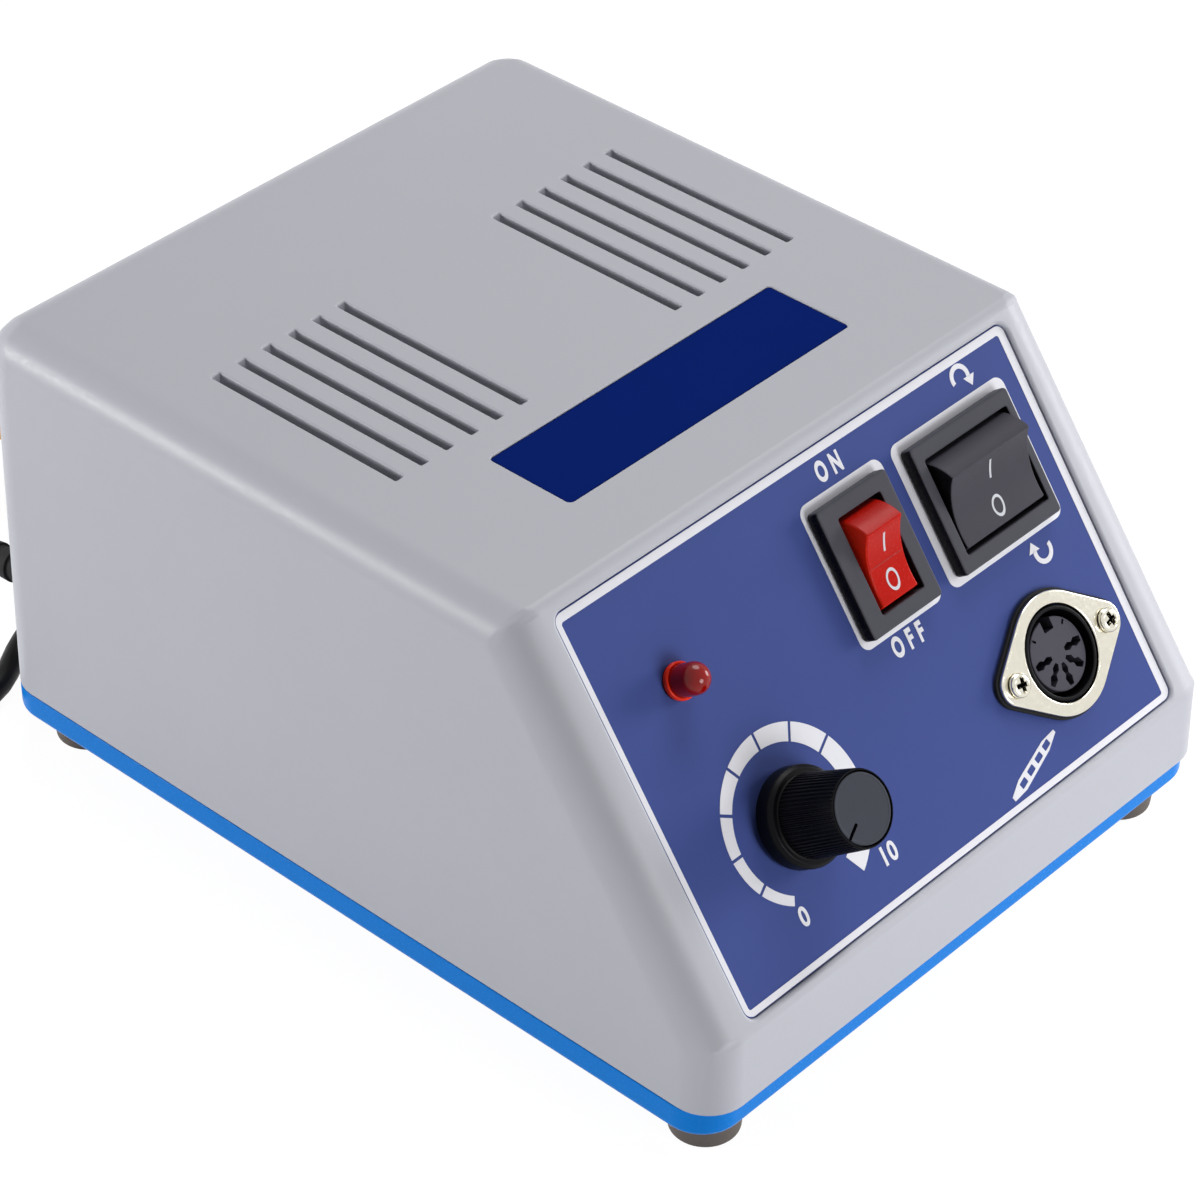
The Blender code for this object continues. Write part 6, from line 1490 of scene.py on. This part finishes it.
    def build_relief(self) -> None:
        """Make the collar with its neck, and the ribbed boot."""
        high = GAP + self.collar_thickness
        low = -COVER_WALL - self.inner_length
        collar = turned([(0, high, 0), (self.collar_radius, high, 0.0005), (self.collar_radius, GAP, 0.0002),
                         (self.neck_radius, GAP, 0.0001), (self.neck_radius, low, 0.0003), (0, low, 0)],
                        place=on_back(self.relief_x, self.relief_rise))
        step = self.relief_length / (2 * self.relief_ribs)
        corners = [(0, self.relief_length, 0)]
        for index in range(self.relief_ribs, 0, -1):
            for steps, sink in ((2 * index, 0), (2 * index - 1, 0), (2 * index - 1, 1), (2 * index - 2, 1)):
                height = steps * step
                radius = self.root_radius + (self.tip_radius - self.root_radius) * height / self.relief_length
                corners.append((radius - sink * self.rib_depth, height, 0.00018))
        boot = turned(softened(corners + [(0, 0, 0)], 3), place=self.relief_root())
        add_piece("strain_relief_boot", fused(collar, [boot]), FOOT_RUBBER, ["strain_relief"])

    def build(self, repeater: Repeater) -> None:
        """Make all three fittings."""
        self.build_fuse(repeater)
        self.build_jack()
        self.build_relief()


# Free stretch of the lead from the strain relief round to the coil, as the frame has it, case coordinates
CORD_ROUTE = (
    (-0.0424, 0.109, 0.0118), (-0.0436, 0.118, 0.0082), (-0.047, 0.127, 0.0045), (-0.054, 0.134, 0.0026),
    (-0.064, 0.1365, 0.0022), (-0.074, 0.1325, 0.0022), (-0.0805, 0.124, 0.0022), (-0.0825, 0.113, 0.0022),
    (-0.0805, 0.101, 0.0022), (-0.075, 0.0905, 0.0022), (-0.066, 0.0845, 0.0022), (-0.0555, 0.0848, 0.0022),
    (-0.0455, 0.0905, 0.0022), (-0.035, 0.096, 0.0023), (-0.0262, 0.1032, 0.0027),
)


@dataclass
class MainsLead:
    """Mains lead: one cord through its loose stretch, its coil and its tail, the tie and the plug."""

    diameter: float = 0.004
    spacing: float = 0.003
    centre: Point = (0.011, 0.111)
    middle_radius: float = 0.024
    layers: int = 4
    turns_per_layer: int = 2
    pitch: float = 0.00455
    entry_angle: float = radians(155.0)
    points_per_turn: int = 48
    base_z: float = 0.0035
    climb: tuple = ((0.12, 0.56), (0.2, 0.78), (0.28, 0.94), (0.36, 1.06))
    bend_turn: float = 0.4
    bend_diameters: int = 4
    bend_shares: tuple = (0.1, 0.4, 0.7, 1.0)
    plug_heading: float = radians(168.0)
    plug_length: float = 0.03
    plug_width: float = 0.024
    plug_rear_width: float = 0.012
    plug_thickness: float = 0.015
    plug_rear_share: float = 0.62
    blade_spacing: float = 0.0127
    blade_length: float = 0.016
    blade_height: float = 0.0063
    blade_thickness: float = 0.0015
    blade_root: float = 0.002
    tie_angle: float = radians(-52.0)
    tie_width: float = 0.0055
    tie_thickness: float = 0.0008
    tie_fit: float = 0.0006
    tie_round: float = 0.002

    @property
    def turns(self) -> int:
        """Turns of the coil in all."""
        return self.layers * self.turns_per_layer

    @property
    def top_z(self) -> float:
        """Height of the top layer's middle."""
        return self.base_z + (self.layers - 1) * self.pitch

    def coil_place(self, turn: float) -> Vector:
        """Return the coil's point after a number of turns, clockwise from above."""
        held = min(max(turn, 0), self.turns)
        layer, along = divmod(held, self.turns_per_layer)
        inward = along if layer % 2 == 0 else self.turns_per_layer - along
        if held == self.turns:
            inward = 0
        outermost = self.middle_radius + self.turns_per_layer * self.pitch / 2
        level = 0.0
        for change in range(1, self.layers):
            level += eased(min(max((held - change * self.turns_per_layer) / 0.5 + 0.5, 0), 1))
        angle = self.entry_angle - 2 * pi * turn
        return Vector((*polar(outermost - self.pitch * inward, angle, self.centre), self.base_z + level * self.pitch))

    def heading(self, turn: float) -> Vector:
        """Return the direction of travel along the coil's round."""
        angle = self.entry_angle - 2 * pi * turn
        return Vector((sin(angle), -cos(angle), 0))

    def smooth(self, points: Sequence[Sequence[float]]) -> list[Vector]:
        """Return evenly spaced points on a smooth curve, its first and last spans straight."""
        knots = [Vector(p) for p in points]
        dense = []
        parts = 12
        for p0, p1, p2, p3 in zip(knots, knots[1:], knots[2:], knots[3:]):
            for t in (index / parts for index in range(parts)):
                dense.append(0.5 * (2 * p1 + (p2 - p0) * t + (2 * p0 - 5 * p1 + 4 * p2 - p3) * t ** 2
                                    + (3 * p1 - p0 - 3 * p2 + p3) * t ** 3))
        dense.append(knots[-2])
        lengths = list(accumulate(((b - a).length for a, b in zip(dense, dense[1:])), initial=0.0))
        count = round(lengths[-1] / self.spacing)
        even = [knots[0]]
        index = 0
        for step in range(count + 1):
            target = lengths[-1] * step / count
            while index < len(dense) - 2 and lengths[index + 1] < target:
                index += 1
            share = (target - lengths[index]) / (lengths[index + 1] - lengths[index])
            even.append(dense[index].lerp(dense[index + 1], min(max(share, 0), 1)))
        return even + [knots[-1]]

    def tail(self) -> list[Vector]:
        """Return the guide points of the stretch from the coil's end to the plug's rear."""
        ahead = self.heading(self.turns)
        leave = self.coil_place(self.turns) + ahead * (self.diameter + GAP)
        plug_z = self.top_z + self.diameter / 2 + GAP + self.plug_thickness / 2
        points = [leave, leave + ahead * self.diameter]
        for turn_share, lift in self.climb:
            place = self.coil_place(self.turns + turn_share)
            points.append(Vector((place.x, place.y, self.top_z + self.pitch * lift)))
        bend = self.bend_diameters * self.diameter
        along = self.heading(self.turns + self.bend_turn)
        across = Vector((along.y, -along.x, 0))
        centre = self.coil_place(self.turns + self.bend_turn) + across * bend
        first = atan2(-across.y, -across.x)
        last = self.plug_heading + pi / 2 - 2 * pi
        low = self.top_z + self.pitch * self.climb[-1][1]
        for share in self.bend_shares:
            angle = first + (last - first) * share
            points.append(Vector((*polar(bend, angle, centre), low + (plug_z - low) * share)))
        return points + [points[-1] + self.plug_direction() * self.diameter]

    def plug_direction(self) -> Vector:
        """Return the way that the plug points."""
        return Vector((cos(self.plug_heading), sin(self.plug_heading), 0))

    def route(self, tip: Vector, heading: Vector) -> list[Vector]:
        """Return the whole cord's points in the world, from the strain relief to the plug."""
        shift = Vector((0, CASE_SHIFT, 0))
        start = tip - shift
        entry = self.coil_place(0) - self.heading(0) * (self.diameter + GAP)
        guides = [start, start + heading * self.diameter] + [Vector(p) for p in CORD_ROUTE]
        guides += [entry - self.heading(0) * self.diameter, entry]
        count = self.turns * self.points_per_turn
        coil = [self.coil_place(self.turns * i / count) for i in range(count + 1)]
        return [p + shift for p in self.smooth(guides) + coil + self.smooth(self.tail())]

    def build(self, repeater: Repeater, tip: Vector, heading: Vector) -> None:
        points = self.route(tip, heading)
        curve = bpy.data.curves.new("mains_cord", "CURVE")
        curve.dimensions = "3D"
        curve.bevel_depth = self.diameter / 2
        curve.bevel_resolution = 5
        curve.use_fill_caps = True
        spline = curve.splines.new("POLY")
        spline.points.add(len(points) - 1)
        for point, place in zip(spline.points, points):
            point.co = (*place, 1)
        curve.materials.append(PVC_BLACK.material())
        spline.use_smooth = True
        cord = placed("mains_cord", curve)
        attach(cord, Body.CASE.value)
        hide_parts("cord_run", "cord_coil", "cord_tail")
        extras = [self.build_tie()] + self.build_plug(repeater)

    def build_tie(self) -> Object:
        """Make the tie: a rounded band round the coil's bundle with a block for its buckle."""
        radial = self.turns_per_layer * self.pitch + self.diameter + 2 * self.tie_fit
        upright = (self.layers - 1) * self.pitch + self.diameter + 2 * self.tie_fit
        thick = self.tie_thickness
        outer = rectangle(radial + 2 * thick, upright + 2 * thick, self.tie_round + thick)
        inner = rectangle(radial, upright, self.tie_round)
        half = self.tie_width / 2
        edge = 0.0003
        section = ((outer, edge, -half), (outer, 0, -half + edge), (outer, 0, half - edge), (outer, edge, half),
                   (inner, -edge, half), (inner, 0, half - edge), (inner, 0, -half + edge), (inner, -edge, -half))
        rings = [[(x, y, z) for x, y in outline(inset)] for outline, inset, z in section]
        x, y = polar(self.middle_radius, self.tie_angle, self.centre)
        place = (at(x, y + CASE_SHIFT, (self.base_z + self.top_z) / 2) @ rotated(self.tie_angle, "Z")
                 @ rotated(pi / 2, "X"))
        buckle = box((0.005, 0.0018, self.tie_width + 0.0016), (0, upright / 2 + thick + 0.0007, 0), 0.0004)
        band = merged([new_mesh(loft(rings, wrap=True)), buckle])
        return add_piece("cord_tie_band", band, FOOT_RUBBER, ["cord_tie"], place)

    def plug_skin(self) -> Mesh:
        """Return the plug's body, which widens from its rear to its face."""
        half = self.plug_width / 2
        thick = self.plug_thickness / 2
        rear = self.plug_rear_width / 2
        neck = self.plug_rear_share
        sections = [(x, rear * share, thick * neck * share)
                    for x, share in ((0.0, 0.72), (0.0004, 0.86), (0.0012, 0.96), (0.003, 1.0))]
        for i in range(1, 13):
            blend = eased(i / 12)
            sections.append((0.003 + 0.013 * i / 12, rear + (half - rear) * blend,
                             thick * (neck + (1 - neck) * blend)))
        sections += [(self.plug_length - back, half * wide, thick * high)
                     for back, wide, high in ((0.0016, 1, 1), (0.0006, 0.985, 0.975), (0.0001, 0.95, 0.92),
                                              (0, 0.91, 0.86))]
        return new_mesh(loft([[(x, y, z) for y, z in rectangle(2 * wide, 2 * high, min(wide, high) * 0.55)(0)]
                              for x, wide, high in sections]))

    def build_plug(self, repeater: Repeater) -> list[Object]:
        """Make the plug's body with its grip ridges, and its two blades with their holes."""
        rear = self.tail()[-1] + self.plug_direction() * GAP + Vector((0, CASE_SHIFT, 0))
        place = Matrix.Translation(rear) @ rotated(self.plug_heading, "Z")
        holes = [box((2 * self.blade_root, self.blade_thickness + 2 * FIT, self.blade_height + 2 * FIT),
                     (self.plug_length, side * self.blade_spacing / 2, 0), 0.0001) for side in (-1, 1)]
        forms = [cut(self.plug_skin(), holes)]
        for side in (1, -1):
            ridges = repeater.rows(box((0.0009, 0.011, 0.0008), (0, 0, 0), 0.00025), FOOT_RUBBER, (6, 1),
                                   (0.002, 0.0))
            ridges.transform(at(0.0215, 0, side * (self.plug_thickness / 2 - 0.0002)))
            forms.append(ridges)
        pieces = [add_piece("plug_moulding", merged(forms), FOOT_RUBBER, ["plug_body"], place)]
        tip = self.plug_length + self.blade_length
        start = self.plug_length - self.blade_root + FIT
        high = self.blade_height / 2
        lower = [(start, -high, 0.0002), (tip - 0.0012, -high, 0.0012), (tip, -high * 0.55, 0.0006)]
        outline = polygon(softened(lower + [(x, -y, r) for x, y, r in reversed(lower)], closed=True))
        for name, side in (("left", 1), ("right", -1)):
            blade = slab(outline, -self.blade_thickness / 2, self.blade_thickness / 2, 0.0003, 0.0003)
            hole = slab(disc(0.0016, 32, (tip - 0.0042, 0)), -OVERRUN, OVERRUN)
            stand = at(0, side * self.blade_spacing / 2) @ rotated(pi / 2, "X")
            pieces.append(add_piece(f"plug_prong_{name}", cut(blade, [hole]), BRASS,
                                    [f"plug_blade_{name}"], place @ stand))
        return pieces


INNER_FINISHES = (
    (CORE_STEEL, ("transformer_core",)), (COPPER, ("transformer_winding",)),
    (STEEL, ("transformer_strap", "transformer_screw_left", "transformer_screw_right", "board_screw_1",
             "board_screw_2", "board_screw_3", "board_screw_4")),
    (BOARD_GREEN, ("circuit_board",)), (SLEEVE_BLUE, ("filter_capacitor",)),
    (KNOB_BLACK, ("bridge_rectifier", "power_transistor")), (ALUMINIUM, ("heat_sink",)),
    (TERMINAL_GREEN, ("terminal_block",)), (GLASS, ("fuse_link",)), (PVC_BLACK, ("mains_harness", "motor_harness")),
)


def dress_inner_nodes() -> None:
    """Give the frame's own inner pieces their finishes."""
    for finish, names in INNER_FINISHES:
        for name in names:
            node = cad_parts[name]
            node.data.materials.clear()
            node.data.materials.append(finish.material())
            LOG.info("%s: %s", name, finish.name)


@dataclass(frozen=True)
class Lamp:
    """A soft lamp: its place, power in watts, size, what it looks at, and its cone in radians, none for a softbox."""

    name: str
    place: tuple
    power: float
    size: float
    aim: tuple = (0.0, 0.0, 0.04)
    cone: float = 0.0


@dataclass
class Studio:
    """Camera, white floor, world and soft lamps."""

    camera_place: tuple = (-0.39511, -0.36047, 0.4429)
    camera_right: tuple = (0.67457, -0.73818, 0.00667)
    camera_up: tuple = (0.44599, 0.41473, 0.79315)
    camera_back: tuple = (-0.58826, -0.53206, 0.60899)
    lens: float = 127.0
    sensor: float = 36.0
    floor_size: float = 8.0
    ambient: float = 0.07
    paper: str = "#E8E8EA"
    paper_seen: str = "#646465"
    glow: float = 0.95
    spot_blend: float = 0.35
    lamps: tuple = (Lamp("overhead_softbox", (0.55, 0.25, 1.15), 9.5, 0.8),
                    Lamp("side_softbox", (-0.97, 0.9, 0.3), 14.0, 0.5),
                    Lamp("right_softbox", (1.06, -0.53, 0.26), 6.0, 0.5),
                    Lamp("front_softbox", (0.0, -1.15, 0.25), 6.6, 0.5),
                    Lamp("table_spot", (0.3, -1.00, 1.00), 48.0, 0.1, (0.14, -0.4, 0.0), 0.42))

    def build_camera(self) -> None:
        """Set the camera where the photograph was taken from."""
        data = bpy.data.cameras.new("camera")
        data.lens = self.lens
        data.sensor_width = self.sensor
        data.clip_start = 0.01
        camera = placed("camera", data)
        columns = (self.camera_right, self.camera_up, self.camera_back, self.camera_place)
        camera.matrix_world = Matrix([[c[row] for c in columns] for row in range(3)] + [[0, 0, 0, 1]])
        bpy.context.scene.camera = camera

    def mixed(self, tree: NodeTree, kind: str, unseen: Node, seen: Node) -> None:
        """End a tree with what camera, glossy and transmission rays see, and what all other rays meet."""
        path = add_node(tree, "ShaderNodeLightPath").outputs
        rays = path["Is Camera Ray"]
        for other in ("Is Glossy Ray", "Is Transmission Ray"):
            rays = add_node(tree, "ShaderNodeMath", {0: rays, 1: path[other]}, operation="MAXIMUM").outputs[0]
        mix = add_node(tree, "ShaderNodeMixShader", {0: rays, 1: unseen.outputs[0], 2: seen.outputs[0]})
        add_node(tree, kind, {"Surface": mix.outputs[0]})

    def build_world(self) -> None:
        """White to the eye and in gloss, a plain level of ambient light otherwise."""
        world = bpy.data.worlds.new("studio")
        bpy.context.scene.world = world
        world.use_nodes = True
        tree = world.node_tree
        tree.nodes.clear()
        soft, white = (add_node(tree, "ShaderNodeBackground", values={"Color": linear("#FFFFFF"), "Strength": power})
                       for power in (self.ambient, 1.0))
        self.mixed(tree, "ShaderNodeOutputWorld", soft, white)

    def build_floor(self) -> None:
        """White floor that keeps a soft shadow."""
        half = self.floor_size / 2
        bm = bmesh.new()
        bm.faces.new([bm.verts.new((sx * half, sy * half, 0)) for sx, sy in ((-1, -1), (1, -1), (1, 1), (-1, 1))])
        floor = placed("studio_floor", new_mesh(bm, at(0, 0, -0.0002)))
        made = bpy.data.materials.new("white_paper")
        made.use_nodes = True
        tree = made.node_tree
        tree.nodes.clear()
        paper, faint = (add_node(tree, "ShaderNodeBsdfDiffuse", values={"Color": linear(colour)})
                        for colour in (self.paper, self.paper_seen))
        glow = add_node(tree, "ShaderNodeEmission", values={"Color": linear("#FFFFFF"), "Strength": self.glow})
        both = add_node(tree, "ShaderNodeAddShader", {0: faint.outputs[0], 1: glow.outputs[0]})
        self.mixed(tree, "ShaderNodeOutputMaterial", paper, both)
        floor.data.materials.append(made)

    def build_lamps(self) -> None:
        """Hang the soft lamps, each turned to the case."""
        for lamp in self.lamps:
            data = bpy.data.lights.new(lamp.name, "SPOT" if lamp.cone else "AREA")
            data.energy = lamp.power
            if lamp.cone:
                data.spot_size = lamp.cone
                data.spot_blend = self.spot_blend
                data.shadow_soft_size = lamp.size
            else:
                data.shape = "DISK"
                data.size = lamp.size
            hung = placed(lamp.name, data)
            hung.location = lamp.place
            hung.rotation_mode = "QUATERNION"
            hung.rotation_quaternion = (Vector(lamp.aim) - Vector(lamp.place)).to_track_quat("-Z", "Y")

    def build(self) -> None:
        """Make the whole studio."""
        self.build_camera()
        self.build_world()
        self.build_floor()
        self.build_lamps()
        bpy.context.scene.view_settings.view_transform = "Standard"


def main() -> None:
    """Build the studio and every sub-assembly in order."""
    logging.basicConfig(level=logging.INFO, format="%(message)s")
    Studio().build()
    repeater = Repeater()
    rear = RearFittings()
    MainsLead().build(repeater, *rear.relief_tip())
    CoverShell().build(repeater)
    BaseTray().build(repeater)
    PanelPrint().build()
    RockerSwitch("power", Body.POWER, POWER_X, bezel_width=0.0155, opening_width=0.0097, body_width=0.0128,
                 rocker_width=0.008, finish=RED_CLEAR, flank=RED_PAINTED_GLOW, slot="red_plastic", bezel_grow=0.0007,
                 split_line=True).build()
    RockerSwitch("direction", Body.DIRECTION, DIRECTION_X, bezel_width=0.0231, opening_width=0.0198,
                 body_width=0.0221, rocker_width=0.0189, finish=ROCKER_NYLON, flank=NYLON_PAINTED_SHADE,
                 slot="switch_plastic", bezel_grow=0.0005).build()
    PilotLamp().build()
    SpeedControl().build(repeater)
    MotorSocket().build(repeater)
    rear.build(repeater)
    dress_inner_nodes()


if __name__ == "__main__":
    main()
